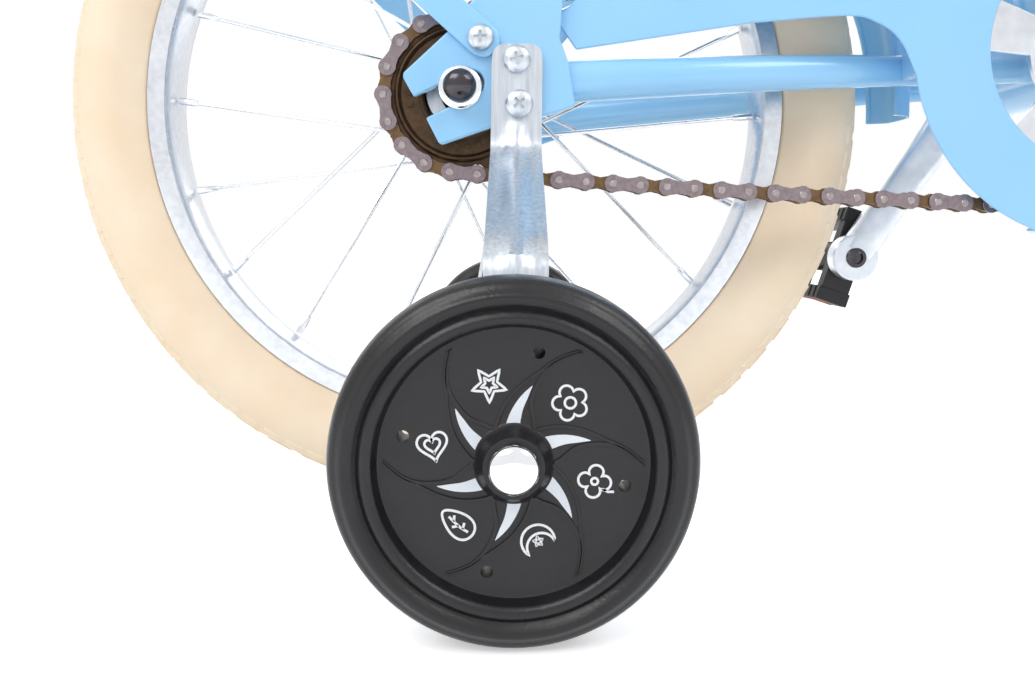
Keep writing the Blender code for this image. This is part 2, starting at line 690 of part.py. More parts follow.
def make_guard_tabs():
    """Two tabs that carry the chain guard: one on the right chainstay, behind the ring, one on the seat tube."""
    rear_tab = block("tab", rear_point(REAR_TAB_X, -(TAB_OUTER + STAY_MIDDLE) / 2, REAR.z + 0.0140),
                     (AHEAD, LEFT, UP), (TAB_HALF_WIDTH, (TAB_OUTER - STAY_MIDDLE) / 2, 0.0050), BLUE)
    rise = RING_RADIUS + CHAIN_HEIGHT / 2 + 0.0008
    place = CRANK + SEAT_UP * (rise / SEAT_UP.z)
    place.y = -(TAB_OUTER + 0.010) / 2
    seat_tab = block("tab", place, (AHEAD, LEFT, UP), (0.0070, (TAB_OUTER - 0.010) / 2, 0.0016), BLUE)
    return [rear_tab, seat_tab]


def make_frame():
    """The welded frame: main tubes, stays, dropouts, bridges and tabs, with its bores cut last."""
    shell_half = LEFT * SHELL_WIDTH / 2
    head = cylinder("frame", steer_point(HEAD_TUBE_START), steer_point(HEAD_TOP), HEAD_TUBE_RADIUS, BLUE,
                    sides=16)
    pieces = [
        cylinder("seat_tube", CRANK, SEAT_TOP, SEAT_TUBE_RADIUS, BLUE, sides=16),
        cylinder("shell", CRANK - shell_half, CRANK + shell_half, SHELL_RADIUS, BLUE, sides=16),
        cylinder("down_tube", steer_point(HEAD_TUBE_START + 0.029), CRANK, DOWN_TUBE_RADIUS, BLUE, sides=12),
        cylinder("top_tube", TOP_TUBE_FRONT, TOP_TUBE_JOIN, TOP_TUBE_RADIUS, BLUE, sides=12),
    ]
    for side in (-1, 1):
        pieces += [make_dropout(side), make_chainstay(side), make_seatstay(side)]
    span = STAY_SPREAD * LEFT
    pieces.append(cylinder("brake_bridge", BRIDGE - span, BRIDGE + span, BRIDGE_TUBE_RADIUS, BLUE, sides=10))
    link = rear_point(MUDGUARD_RADIUS + 0.0220, 0, REAR.z + 0.0170)
    half = LEFT * (SHELL_WIDTH / 2 - 0.0080)
    pieces.append(cylinder("stay_bridge", link - half, link + half, 0.0055, BLUE, sides=10))
    pieces += make_guard_tabs()
    frame = unite(head, pieces)
    bores = [
        cylinder("head_bore", steer_point(HEAD_TUBE_START - 0.01), steer_point(HEAD_TOP + 0.01), HEAD_BORE,
                 BLUE, sides=16),
        cylinder("post_bore", SEAT_TOP - SEAT_UP * POST_BORE_DEPTH, SEAT_TOP + SEAT_UP * 0.01,
                 SEAT_POST_RADIUS + GAP, BLUE, sides=16),
        cylinder("shell_bore", CRANK - LEFT * 0.05, CRANK + LEFT * 0.05, SHELL_BORE, BLUE, sides=16),
        cylinder("bolt_bore", BRIDGE - BRIDGE_TANGENT * 0.02, BRIDGE + BRIDGE_TANGENT * 0.02,
                 BRAKE_BOLT_RADIUS + GAP, BLUE, sides=10),
    ]
    return cut(frame, bores)


make_frame()


def make_headset_cup(name, along):
    """A turned cup at one end of the head tube, round the steerer."""
    low, high = along
    inner = STEERER_RADIUS + GAP
    outer = HEAD_TUBE_RADIUS + 0.0020
    profile = [(inner, low), (outer, low), (outer, high), (inner, high)]
    return turned(name, STEER_BASE, STEER_UP, profile, SILVER, sides=16)


make_headset_cup("lower_headset_cup", (HEAD_TUBE_START - GAP - HEADSET_CUP_HEIGHT, HEAD_TUBE_START - GAP))
make_headset_cup("upper_headset_cup", (HEAD_TOP + GAP, HEAD_TOP + GAP + HEADSET_CUP_HEIGHT))


def make_bracket_cup(name, side):
    """A threaded cup with its bearing seat, in one end of the bottom bracket shell."""
    face = SHELL_WIDTH / 2 + GAP
    plug = SHELL_BORE - GAP
    bore = SPINDLE_BODY_RADIUS + GAP
    profile = [(bore, face - 0.012), (plug, face - 0.012), (plug, face), (0.0185, face),
               (0.0185, face + 0.0030), (bore, face + 0.0030)]
    return turned(name, CRANK, LEFT * side, profile, ZINC, sides=16)


make_bracket_cup("right_bracket_cup", -1)
make_bracket_cup("left_bracket_cup", 1)


def make_seat_clamp():
    """The collar that pinches the top of the seat tube, with its two ears and bolt."""
    inner = SEAT_TUBE_RADIUS + GAP
    outer = inner + 0.0030
    top = SEAT_TUBE_LENGTH
    profile = [(inner, top - 0.020), (outer, top - 0.020), (outer, top - 0.002), (inner, top - 0.002)]
    collar = turned("seat_clamp", CRANK, SEAT_UP, profile, SILVER, sides=20)
    back = SEAT_UP.cross(LEFT)
    ear_place = CRANK + SEAT_UP * (top - 0.011) - back * (outer + 0.0045)
    ear = block("ear", ear_place, (back, LEFT, SEAT_UP), (0.0060, 0.0060, 0.0065), SILVER)
    head = cylinder("bolt", ear_place - LEFT * 0.0120, ear_place + LEFT * 0.0100, 0.0035, SILVER, sides=8)
    return unite(collar, [ear, head])


make_seat_clamp()

# Cranks and pedals

CRANK_DIRECTION = Vector((cos(radians(CRANK_ANGLE)), 0, sin(radians(CRANK_ANGLE))))
CRANK_MIDDLE = CRANK_INNER + CRANK_THICKNESS / 2
CRANK_SPREAD = 0.0060
PEDAL_PIN_RADIUS = 0.0060
PEDAL_EYE_RADIUS = 0.0140
PEDAL_INNER = CRANK_INNER + CRANK_SPREAD + CRANK_THICKNESS + 0.0030


def make_spindle():
    """The bottom bracket spindle, with a nut on each end outside the cranks."""
    body = SHELL_WIDTH / 2 + 0.0040
    face = CRANK_INNER + CRANK_THICKNESS + GAP
    end = [(SPINDLE_RADIUS, body), (SPINDLE_RADIUS, face), (0.0098, face), (0.0098, face + 0.0040),
           (0.0070, face + 0.0052)]
    other = [(r, -y) for r, y in reversed(end)]
    profile = other + [(SPINDLE_BODY_RADIUS, -body), (SPINDLE_BODY_RADIUS, body)] + end
    return solid_of_revolution("crank_spindle", CRANK, LEFT, profile, GREY, crank_axis)


def make_crank(name, side, direction):
    """A steel crank arm with a round boss at the spindle and an eye that holds the pedal pin."""
    pedal_eye = CRANK + direction * CRANK_LENGTH
    flat = LEFT * side
    boss_depth = CHAIN_LINE - TOOTH_THICKNESS if side < 0 else SHELL_WIDTH / 2 + 0.0045
    boss = cylinder(name, CRANK + flat * boss_depth, CRANK + flat * (CRANK_INNER + CRANK_THICKNESS),
                    CRANK_BOSS_RADIUS, SILVER, crank_axis, sides=16)
    upright = direction.cross(flat)
    half = CRANK_THICKNESS / 2
    rows = [(0.0, 0.0140, 0), (0.25, 0.0120, 0.1), (0.75, 0.0100, 0.9), (1.0, 0.0105, 1.0)]
    stations = []
    for share, half_tall, out in rows:
        place = CRANK + direction * (CRANK_LENGTH * share) + flat * (CRANK_MIDDLE + CRANK_SPREAD * out)
        stations.append((place, upright, flat, half_tall * 1.02, half * 1.1))
    bm = bmesh.new()
    loft(bm, stations, 8)
    arm = finish_mesh(bm, "arm", SILVER, crank_axis)
    inner = CRANK_INNER + CRANK_SPREAD
    eye = cylinder("eye", pedal_eye + flat * inner, pedal_eye + flat * (inner + CRANK_THICKNESS),
                   PEDAL_EYE_RADIUS, SILVER, crank_axis, sides=14)
    pin_ends = [pedal_eye + flat * out for out in (inner - 0.0015, PEDAL_INNER + PEDAL_WIDTH - 0.006)]
    pin = cylinder("pin", *pin_ends, PEDAL_PIN_RADIUS, SILVER, crank_axis, sides=10)
    unite(boss, [arm, eye, pin])
    hole = cylinder("hole", CRANK, CRANK + flat * 0.09, SPINDLE_RADIUS + GAP, SILVER, crank_axis, sides=16)
    return cut(boss, [hole])


make_spindle()
make_crank("right_crank", -1, CRANK_DIRECTION)
make_crank("left_crank", 1, -CRANK_DIRECTION)


def make_pedal(name, side, direction):
    """A moulded block pedal: a frame of two treads round a hub, open between them."""
    centre = CRANK + direction * CRANK_LENGTH
    axis = pivot(name + "_axis", centre)
    tilt = radians(-PEDAL_TILT)
    forward = Vector((cos(tilt), 0, -sin(tilt)))
    upright = Vector((sin(tilt), 0, cos(tilt)))
    flat = LEFT * side
    middle = centre + flat * (PEDAL_INNER + PEDAL_WIDTH / 2)
    axes = (forward, flat, upright)
    half = (PEDAL_LENGTH / 2, PEDAL_WIDTH / 2, PEDAL_THICKNESS / 2)
    opening = (half[0] * 0.20, half[1] - 0.009, PEDAL_THICKNESS)
    body = block(name, middle, axes, half, BLACK, axis)
    windows = []
    for way in (-1, 1):
        place = middle + forward * way * half[0] * 0.52
        windows.append(block("window", place, axes, opening, BLACK, axis))
    bore = cylinder("bore", middle - flat * 0.1, middle + flat * (half[1] - 0.004), PEDAL_PIN_RADIUS + GAP,
                    BLACK, axis, sides=12)
    return cut(body, windows + [bore])


make_pedal("right_pedal", -1, CRANK_DIRECTION)
make_pedal("left_pedal", 1, -CRANK_DIRECTION)

# Chain guard

# The tail's corners: each is a share of the way to the crank, and a height above the axle.
TAIL_LOWER = [(0.1766, 0.0182), (0.4465, 0.0301), (0.5903, 0.0333), (0.6394, 0.0303), (0.6759, 0.0222)]
TAIL_UPPER = [(0.9134, 0.1045), (0.5074, 0.0860), (0.2571, 0.0690), (0.1644, 0.0371), (0.1414, 0.0330)]


def make_chain_guard():
    """A flat guard: a ring round the chainring, and a tail above the chain with a lip along its edge."""
    centre = (CRANK.x, CRANK.z)
    outer_face = -GUARD_FACE
    inner_face = -(GUARD_FACE - GUARD_WALL)
    lower = axle_relative([(share * BRACKET_AHEAD, z) for share, z in TAIL_LOWER])
    upper = axle_relative([(share * BRACKET_AHEAD, z) for share, z in TAIL_UPPER])
    ring = arc(centre, GUARD_OUTER, 188, 457, 26)
    outline = lower + ring + upper
    guard = plate("chain_guard", outline, BLUE, outer_face, inner_face)
    rim_start = 250
    inset = 0.0005
    near = GUARD_OUTER - inset
    lip = arc(centre, near, rim_start, 457, 17) + [(x + inset, z - inset) for x, z in upper[:3]]
    lip += [(x + inset * 2, z - inset - GUARD_WALL) for x, z in reversed(upper[:3])]
    lip += arc(centre, near - GUARD_WALL, 457, rim_start, 17)
    edge = plate("lip", lip, BLUE, outer_face + 0.0007, inner_face + GUARD_LIP)
    hole = cylinder("hole", CRANK - LEFT * 0.08, CRANK - LEFT * 0.03, GUARD_HOLE, BLUE, sides=26)
    unite(guard, [edge])
    return cut(guard, [hole])


make_chain_guard()

# Mudguards

def make_mudguard(name, centre, start, end, pinch, parent=None):
    """A curved steel strip round the tyre. pinch gives its share of the full width at an angle."""
    bm = bmesh.new()
    steps = round((end - start) / 8.5)
    wall = MUDGUARD_WALL
    crown = 0.0070
    loops = []
    for index in range(steps + 1):
        degrees = start + (end - start) * index / steps
        a = radians(degrees)
        out = Vector((cos(a), 0, sin(a)))
        half = MUDGUARD_HALF * pinch(degrees)
        shape = [(-1.0, -1.35), (-0.68, -0.24), (0.0, 0.0), (0.68, -0.24), (1.0, -1.35)]
        top = [(half * w, MUDGUARD_RADIUS + crown * h + wall) for w, h in shape]
        below = [((half - wall) * w, MUDGUARD_RADIUS + crown * h * 0.98) for w, h in reversed(shape)]
        verts = [bm.verts.new(centre + LEFT * y + out * r) for y, r in top + below]
        loops.append([bm.edges.new((verts[i - 1], verts[i])) for i in range(len(verts))])
    for first, second in zip(loops, loops[1:]):
        bmesh.ops.bridge_loops(bm, edges=first + second)
    bmesh.ops.edgeloop_fill(bm, edges=loops[0])
    bmesh.ops.edgeloop_fill(bm, edges=loops[-1])
    return finish_mesh(bm, name, BLUE, parent)


TAB_THICKNESS = 0.0018
REAR_MUDGUARD_START = -1.5
REAR_MUDGUARD_END = 148.0
STAY_TOP_ANGLE = 132.0


def rear_pinch(degrees):
    """Full width over the tyre, narrow where the guard passes between the chainstays."""
    share = min(max((degrees - 8) / 18, 0), 1)
    return 0.62 + 0.38 * share * share * (3 - 2 * share)


def even_width(degrees):
    return 1.0


def make_rear_mudguard():
    """The rear mudguard with a tab that the brake bolt clamps to the bridge."""
    guard = make_mudguard("rear_mudguard", REAR, REAR_MUDGUARD_START, REAR_MUDGUARD_END, rear_pinch)
    radial = (BRIDGE - REAR).normalized()
    near = BRIDGE_TUBE_RADIUS + GAP
    thickness = TAB_THICKNESS
    low = MUDGUARD_RADIUS + MUDGUARD_WALL * 0.4 - BRIDGE_RADIUS
    place = BRIDGE - BRIDGE_TANGENT * (near + thickness / 2) + radial * (low + 0.0085) / 2
    tab = block("tab", place, (BRIDGE_TANGENT, LEFT, radial), (thickness / 2, 0.0080, (0.0085 - low) / 2),
                BLUE)
    hole = cylinder("hole", BRIDGE, BRIDGE - BRIDGE_TANGENT * 0.03, BRAKE_BOLT_RADIUS + GAP, BLUE, sides=10)
    cut(tab, [hole])
    return unite(guard, [tab])


make_rear_mudguard()

STAY_SCREW = REAR + Vector((0.0092, 0, 0.0215))
STRIP_WIDTH = 0.0150
STRIP_THICKNESS = 0.0020


def make_flat_stay(name, side):
    """A flat strip from the dropout up to the mudguard's side, with a rounded foot under its screw."""
    a = radians(STAY_TOP_ANGLE)
    foot = STAY_SCREW.copy()
    foot.y = side * (PLATE_OUTER + GAP + STRIP_THICKNESS / 2)
    top = REAR + Vector((cos(a), 0, sin(a))) * (MUDGUARD_RADIUS - 0.0085)
    top.y = side * (MUDGUARD_HALF + GAP + STRIP_THICKNESS / 2 + 0.0004)
    run = top - foot
    run.y = 0
    run.normalize()
    across = run.cross(LEFT)

    def at(distance, y):
        place = foot + run * distance
        place.y = side * y
        return place

    length = (top - foot).dot(run)
    outer_y = abs(foot.y)
    inner_y = abs(top.y)
    rows = [(-0.0085, outer_y, 0.45), (-0.0045, outer_y, 0.92), (0.0, outer_y, 1.0), (0.030, outer_y, 1.0),
            (length - 0.045, inner_y + 0.0008, 1.0), (length - 0.004, inner_y, 1.0),
            (length + 0.004, inner_y, 0.7)]
    bm = bmesh.new()
    loops = []
    for distance, y, wide in rows:
        place = at(distance, y)
        half = STRIP_WIDTH / 2 * wide
        corners = [(-half, -1), (half, -1), (half, 1), (-half, 1)]
        verts = [bm.verts.new(place + across * w + LEFT * t * STRIP_THICKNESS / 2) for w, t in corners]
        loops.append([bm.edges.new((verts[i - 1], verts[i])) for i in range(4)])
    for first, second in zip(loops, loops[1:]):
        bmesh.ops.bridge_loops(bm, edges=first + second)
    bmesh.ops.edgeloop_fill(bm, edges=loops[0])
    bmesh.ops.edgeloop_fill(bm, edges=loops[-1])
    return finish_mesh(bm, name, BLUE, smooth=False)


def make_screw(name, place, side, face, head_radius=SCREW_HEAD_RADIUS):
    """A pan-head screw standing on a face. Its cross slot is drawn in the scene."""
    seat = face + GAP
    profile = [(head_radius, seat), (head_radius, seat + SCREW_HEAD_HEIGHT * 0.45),
               (head_radius * 0.72, seat + SCREW_HEAD_HEIGHT * 0.9),
               (head_radius * 0.40, seat + SCREW_HEAD_HEIGHT)]
    centre = Vector((place.x, 0, place.z))
    return solid_of_revolution(name, centre, LEFT * side, profile, ZINC, sides=10)


for word, side in (("right", -1), ("left", 1)):
    make_flat_stay(word + "_mudguard_stay", side)
    make_screw(word + "_stay_screw", STAY_SCREW, side, PLATE_OUTER + GAP + STRIP_THICKNESS, 0.0058)

# Training wheels

BRACKET_TOP_Z = REAR.z + 0.0188
BRACKET_BEND_Z = REAR.z - 0.0280
BRACKET_SCREWS = [REAR + Vector((0.0251, 0, 0.0118)), REAR + Vector((0.0261, 0, -0.0077))]
TRAINING_CENTRE = Vector((REAR.x + TRAINING_AHEAD, 0, TRAINING_RADIUS))
BRACKET_LOW_FACE = TRAINING_OFFSET - TRAINING_WIDTH / 2 - 0.0010
TRAINING_HUB_HALF = TRAINING_WIDTH / 2 - 0.0010
TRAINING_SIDES = 20
DISC_HOLES = 4


def make_training_bracket(name, side):
    """A bent steel strip: flat at the dropout, sloping out with a pressed rib, then flat at the wheel."""
    near = PLATE_OUTER + GAP
    far = BRACKET_LOW_FACE - BRACKET_THICKNESS
    shift = TRAINING_AHEAD - 0.0255
    low_z = TRAINING_CENTRE.z
    rows = [
        (BRACKET_TOP_Z, near, 0.62, 0), (BRACKET_TOP_Z - 0.0045, near, 0.95, 0),
        (BRACKET_TOP_Z - 0.009, near, 1.0, 0),
        (REAR.z - 0.0145, near, 1.0, 0), (REAR.z - 0.020, near, 1.0, 0.6),
        (BRACKET_BEND_Z, near + 0.0015, 1.0, 1.0),
        (low_z + 0.066, far - 0.0015, 1.0, 1.0), (low_z + 0.050, far, 1.0, 0.3), (low_z + 0.040, far, 1.0, 0),
        (low_z - 0.004, far, 1.0, 0), (low_z - 0.0085, far, 0.8, 0), (low_z - 0.0115, far, 0.4, 0),
    ]
    bm = bmesh.new()
    loops = []
    for z, y, wide, rib in rows:
        share = (BRACKET_TOP_Z - z) / (BRACKET_TOP_Z - low_z)
        x = REAR.x + 0.0255 + shift * share
        half = BRACKET_WIDTH / 2 * wide
        bulge = 0.0028 * rib
        section = [(-half, 0), (-half * 0.45, bulge), (half * 0.45, bulge), (half, 0),
                   (half, BRACKET_THICKNESS), (half * 0.45, BRACKET_THICKNESS + bulge),
                   (-half * 0.45, BRACKET_THICKNESS + bulge), (-half, BRACKET_THICKNESS)]
        verts = [bm.verts.new((x + w, side * (y + t), z)) for w, t in section]
        loops.append([bm.edges.new((verts[i - 1], verts[i])) for i in range(len(verts))])
    for first, second in zip(loops, loops[1:]):
        bmesh.ops.bridge_loops(bm, edges=first + second)
    bmesh.ops.edgeloop_fill(bm, edges=loops[0])
    bmesh.ops.edgeloop_fill(bm, edges=loops[-1])
    strip = finish_mesh(bm, name, ZINC)
    beyond = TRAINING_CENTRE + LEFT * side * TRAINING_OFFSET
    hole = cylinder("hole", TRAINING_CENTRE, beyond, TRAINING_PIN + GAP, ZINC, sides=12)
    return cut(strip, [hole])


def make_training_axle(name, side):
    """The wheel's bolt: its head inside the bracket, and a domed cap outside the wheel."""
    inside = BRACKET_LOW_FACE - BRACKET_THICKNESS - GAP
    outside = TRAINING_OFFSET + TRAINING_HUB_HALF + GAP
    profile = [
        (0.0080, inside - 0.0050), (0.0080, inside), (TRAINING_PIN, inside), (TRAINING_PIN, outside),
        (0.0088, outside), (0.0088, outside + 0.0020), (0.0078, outside + 0.0045), (0.0045, outside + 0.0064),
    ]
    return solid_of_revolution(name, TRAINING_CENTRE, LEFT * side, profile, SILVER, sides=14)


def make_training_wheel(name, side):
    """A moulded wheel with a round tread, a dished disc, a hub and four through holes."""
    axis = pivot(name + "_axis", TRAINING_CENTRE)
    half = TRAINING_WIDTH / 2
    hub = TRAINING_HUB_HALF
    bore = TRAINING_PIN + GAP
    outer = [
        (bore, hub), (0.0130, hub), (TRAINING_RADIUS - 0.0205, 0.0055),
        (TRAINING_RADIUS - 0.0105, half - 0.001), (TRAINING_RADIUS, 0.0050),
    ]
    profile = outer + [(r, -y) for r, y in reversed(outer)]
    profile = [(facet(r, TRAINING_SIDES), TRAINING_OFFSET + y) for r, y in profile]
    wheel = turned(name, TRAINING_CENTRE, LEFT * side, profile, BLACK, axis, TRAINING_SIDES)
    holes = []
    for number in range(DISC_HOLES):
        a = radians(90 * number - 12)
        place = TRAINING_CENTRE + Vector((cos(a), 0, sin(a))) * (TRAINING_RADIUS - 0.0250)
        inside = place + LEFT * side * (TRAINING_OFFSET - TRAINING_WIDTH)
        outside = place + LEFT * side * (TRAINING_OFFSET + TRAINING_WIDTH)
        holes.append(cylinder("hole", inside, outside, 0.0022, BLACK, axis, sides=8))
    return cut(wheel, holes)


for word, side in (("right", -1), ("left", 1)):
    make_training_bracket(word + "_training_bracket", side)
    for label, spot in zip(("upper", "lower"), BRACKET_SCREWS):
        make_screw(word + "_bracket_screw_" + label, spot, side, PLATE_OUTER + GAP + BRACKET_THICKNESS)
    make_training_wheel(word + "_training_wheel", side)
    make_training_axle(word + "_training_axle", side)

# Front wheel and fork

steering = pivot("steering_axis", steer_point(HEAD_TUBE_START))
front_wheel_axis = pivot("front_wheel_axis", FRONT, steering)
FRONT_TIP_OUTER = FRONT_TIP_INNER + DROPOUT_THICKNESS
FRONT_STAY_RING = 0.0018
FRONT_STAY_ANGLE = 180.0
FRONT_NUT_FACE = FRONT_TIP_OUTER + FRONT_STAY_RING + GAP * 2
CROWN_HALF_DEPTH = STEERER_RADIUS + 0.0008
FRONT_BOLT_ALONG = CROWN_LOW + 0.0140
LOCKNUT_LOW = HEAD_TOP + GAP * 2 + HEADSET_CUP_HEIGHT
STEERER_TOP = LOCKNUT_LOW + 0.0080
QUILL_RADIUS = STEERER_RADIUS - 0.0016

make_tyre("front_tyre", FRONT, front_wheel_axis)
make_rim("front_rim", FRONT, front_wheel_axis)
FRONT_HUB_END = FRONT_TIP_INNER - 0.0080
make_hub("front_hub", FRONT, (-FRONT_FLANGE_OFFSET, FRONT_FLANGE_OFFSET), (-FRONT_HUB_END, FRONT_HUB_END),
         (0.0150, 0.0150), front_wheel_axis)


def make_front_axle():
    """The front axle with its cones, locknuts and outer nuts."""
    seat = FRONT_TIP_INNER - GAP
    nut = FRONT_NUT_FACE
    cone = FRONT_HUB_END - 0.0120
    half = [
        (AXLE_RADIUS, cone), (CONE_RADIUS, cone), (CONE_RADIUS - 0.0004, seat), (AXLE_RADIUS - 0.0001, seat),
        (AXLE_RADIUS - 0.0002, nut), (AXLE_WASHER_RADIUS, nut), (AXLE_NUT_RADIUS, nut + 0.0024),
        (AXLE_NUT_RADIUS - 0.0002, nut + 0.0080), (0.0045, nut + 0.0120),
    ]
    profile = [(r, -y) for r, y in reversed(half)] + half
    return solid_of_revolution("front_axle", FRONT, LEFT, profile, SILVER, steering, sides=16)


make_front_axle()


def make_fork_leg(side):
    """One blade, bending out of the crown, then raked forward to its slotted tip."""
    guard = MUDGUARD_HALF
    tip = FRONT_TIP_INNER
    places = [
        (FRONT_BOLT_ALONG, 0.0, 0.010), (FRONT_BOLT_ALONG - 0.001, 0.0, guard - 0.0020),
        (CROWN_LOW + 0.006, 0.0, guard + 0.0100), (CROWN_LOW - 0.012, 0.0, guard + 0.0135),
        (CROWN_LOW * 0.52, 0.0, guard + 0.0155), (0.0600, FORK_RAKE - 0.0275, tip - 0.0020),
        (0.0300, FORK_RAKE - 0.0190, tip + 0.0005), (0.0150, FORK_RAKE - 0.0110, tip + 0.0020),
    ]
    points = [steer_point(along, ahead, side * y) for along, ahead, y in places]
    wide = [0.0095, 0.0110, 0.0105, 0.0095, 0.0088, 0.0070, 0.0042, 0.0019]
    deep = [0.0105, 0.0125, 0.0130, 0.0130, 0.0110, 0.0092, 0.0082, 0.0075]
    leg = tube("leg", points, deep, BLUE, sides=10, hint=LEFT, flat=wide)
    tip_middle = side * (FRONT_TIP_INNER + DROPOUT_THICKNESS / 2)
    down = (FRONT - steer_point(0.0300, FORK_RAKE - 0.0190)).normalized()
    ahead = down.cross(LEFT)
    place = FRONT - down * 0.0040
    place.y = tip_middle
    plate_end = block("tip", place, (ahead, LEFT, down), (0.0095, DROPOUT_THICKNESS / 2, 0.0170), BLUE)
    slot_place = FRONT + down * 0.0100
    slot_place.y = tip_middle
    slot = block("slot", slot_place, (ahead, LEFT, down), (AXLE_RADIUS + 0.0006, 0.01, 0.0150), BLUE)
    return leg, plate_end, slot


def make_fork():
    """The fork: steerer, locknut, crown and two blades, bored for the stem and the brake bolt."""
    steerer = cylinder("fork", steer_point(CROWN_LOW + 0.010), steer_point(STEERER_TOP), STEERER_RADIUS, BLUE,
                       steering, 16)
    pieces = [
        cylinder("locknut", steer_point(LOCKNUT_LOW), steer_point(STEERER_TOP - 0.0005),
                 HEAD_TUBE_RADIUS + 0.0005, SILVER, sides=8),
        block("crown", steer_point((CROWN_LOW + CROWN_HIGH) / 2), (STEER_AHEAD, LEFT, STEER_UP),
              (CROWN_HALF_DEPTH, 0.0240, (CROWN_HIGH - CROWN_LOW) / 2), BLUE),
    ]
    cuts = [
        cylinder("quill_bore", steer_point(HEAD_TOP - QUILL_DEPTH - 0.010), steer_point(STEERER_TOP + 0.01),
                 QUILL_RADIUS + GAP, BLUE, sides=16),
        cylinder("bolt_bore", steer_point(FRONT_BOLT_ALONG, -0.03), steer_point(FRONT_BOLT_ALONG, 0.03),
                 BRAKE_BOLT_RADIUS + GAP, BLUE, sides=10),
    ]
    for side in (-1, 1):
        leg, tip, slot = make_fork_leg(side)
        pieces += [leg, tip]
        cuts.append(slot)
    return cut(unite(steerer, pieces), cuts)


make_fork()

# Stem, handlebar and grips

BAR_CLAMP = steer_point(BAR_HEIGHT, BAR_REACH)
BAR_TOP = BAR_HEIGHT + BAR_RISE


def make_stem():
    """A quill stem: a post down inside the steerer, an arm forward and a clamp round the bar."""
    quill = cylinder("stem", steer_point(HEAD_TOP - QUILL_DEPTH), steer_point(BAR_HEIGHT), QUILL_RADIUS,
                     ALLOY, steering, 16)
    arm = cylinder("arm", steer_point(BAR_HEIGHT - 0.004, -0.012), BAR_CLAMP, 0.0125, ALLOY, sides=12)
    clamp = cylinder("clamp", BAR_CLAMP - LEFT * 0.0190, BAR_CLAMP + LEFT * 0.0190, 0.0175, ALLOY, sides=16)
    bore = cylinder("bore", BAR_CLAMP - LEFT * 0.03, BAR_CLAMP + LEFT * 0.03, BAR_RADIUS + GAP, ALLOY,
                    sides=16)
    return cut(unite(quill, [arm, clamp]), [bore])


make_stem()

BAR_PATH = [
    (BAR_HEIGHT, BAR_REACH, 0.0), (BAR_HEIGHT, BAR_REACH, 0.030), (BAR_HEIGHT + 0.006, BAR_REACH, 0.045),
    (BAR_HEIGHT + 0.020, BAR_REACH, 0.056), (BAR_TOP - 0.022, BAR_REACH - 0.002, 0.087),
    (BAR_TOP - 0.008, BAR_REACH - 0.003, 0.100), (BAR_TOP, BAR_REACH - 0.005, 0.118),
    (BAR_TOP, 0.005, BAR_HALF_WIDTH),
]


def bar_point(number, side):
    along, ahead, y = BAR_PATH[number]
    return steer_point(along, ahead, side * y)


def make_handlebar():
    """One steel tube bent up and swept back on both sides."""
    last = len(BAR_PATH) - 1
    points = [bar_point(i, -1) for i in range(last, 0, -1)] + [bar_point(i, 1) for i in range(last + 1)]
    return tube("handlebar", points, [BAR_RADIUS] * len(points), ALLOY, steering, BAR_SIDES, STEER_UP)


make_handlebar()


def bar_end_axes(side):
    """The end of the bar, and three directions there: out along it, forward and down, and square to both."""
    end = bar_point(-1, side)
    out = (end - bar_point(-2, side)).normalized()
    lean = radians(25)
    ahead = STEER_AHEAD * cos(lean) - STEER_UP * sin(lean)
    square = out.cross(ahead).normalized()
    return end, out, square.cross(out).normalized(), square


def make_grip(name, side):
    """A round grip with a flange at its inner end, closed over the end of the bar."""
    end, out = bar_end_axes(side)[:2]
    inner = facet(BAR_RADIUS + GAP, BAR_SIDES)
    profile = [
        (inner, -GRIP_LENGTH), (GRIP_RADIUS + 0.004, -GRIP_LENGTH),
        (GRIP_RADIUS + 0.004, -GRIP_LENGTH + 0.004),
        (GRIP_RADIUS, -GRIP_LENGTH + 0.005), (GRIP_RADIUS, 0.0), (GRIP_RADIUS - 0.004, 0.0045), (0.0, 0.0050),
        (0.0, GAP), (inner, GAP),
    ]
    return turned(name, end, out, profile, CREAM_VINYL, steering, BAR_SIDES)


make_grip("right_grip", -1)
make_grip("left_grip", 1)


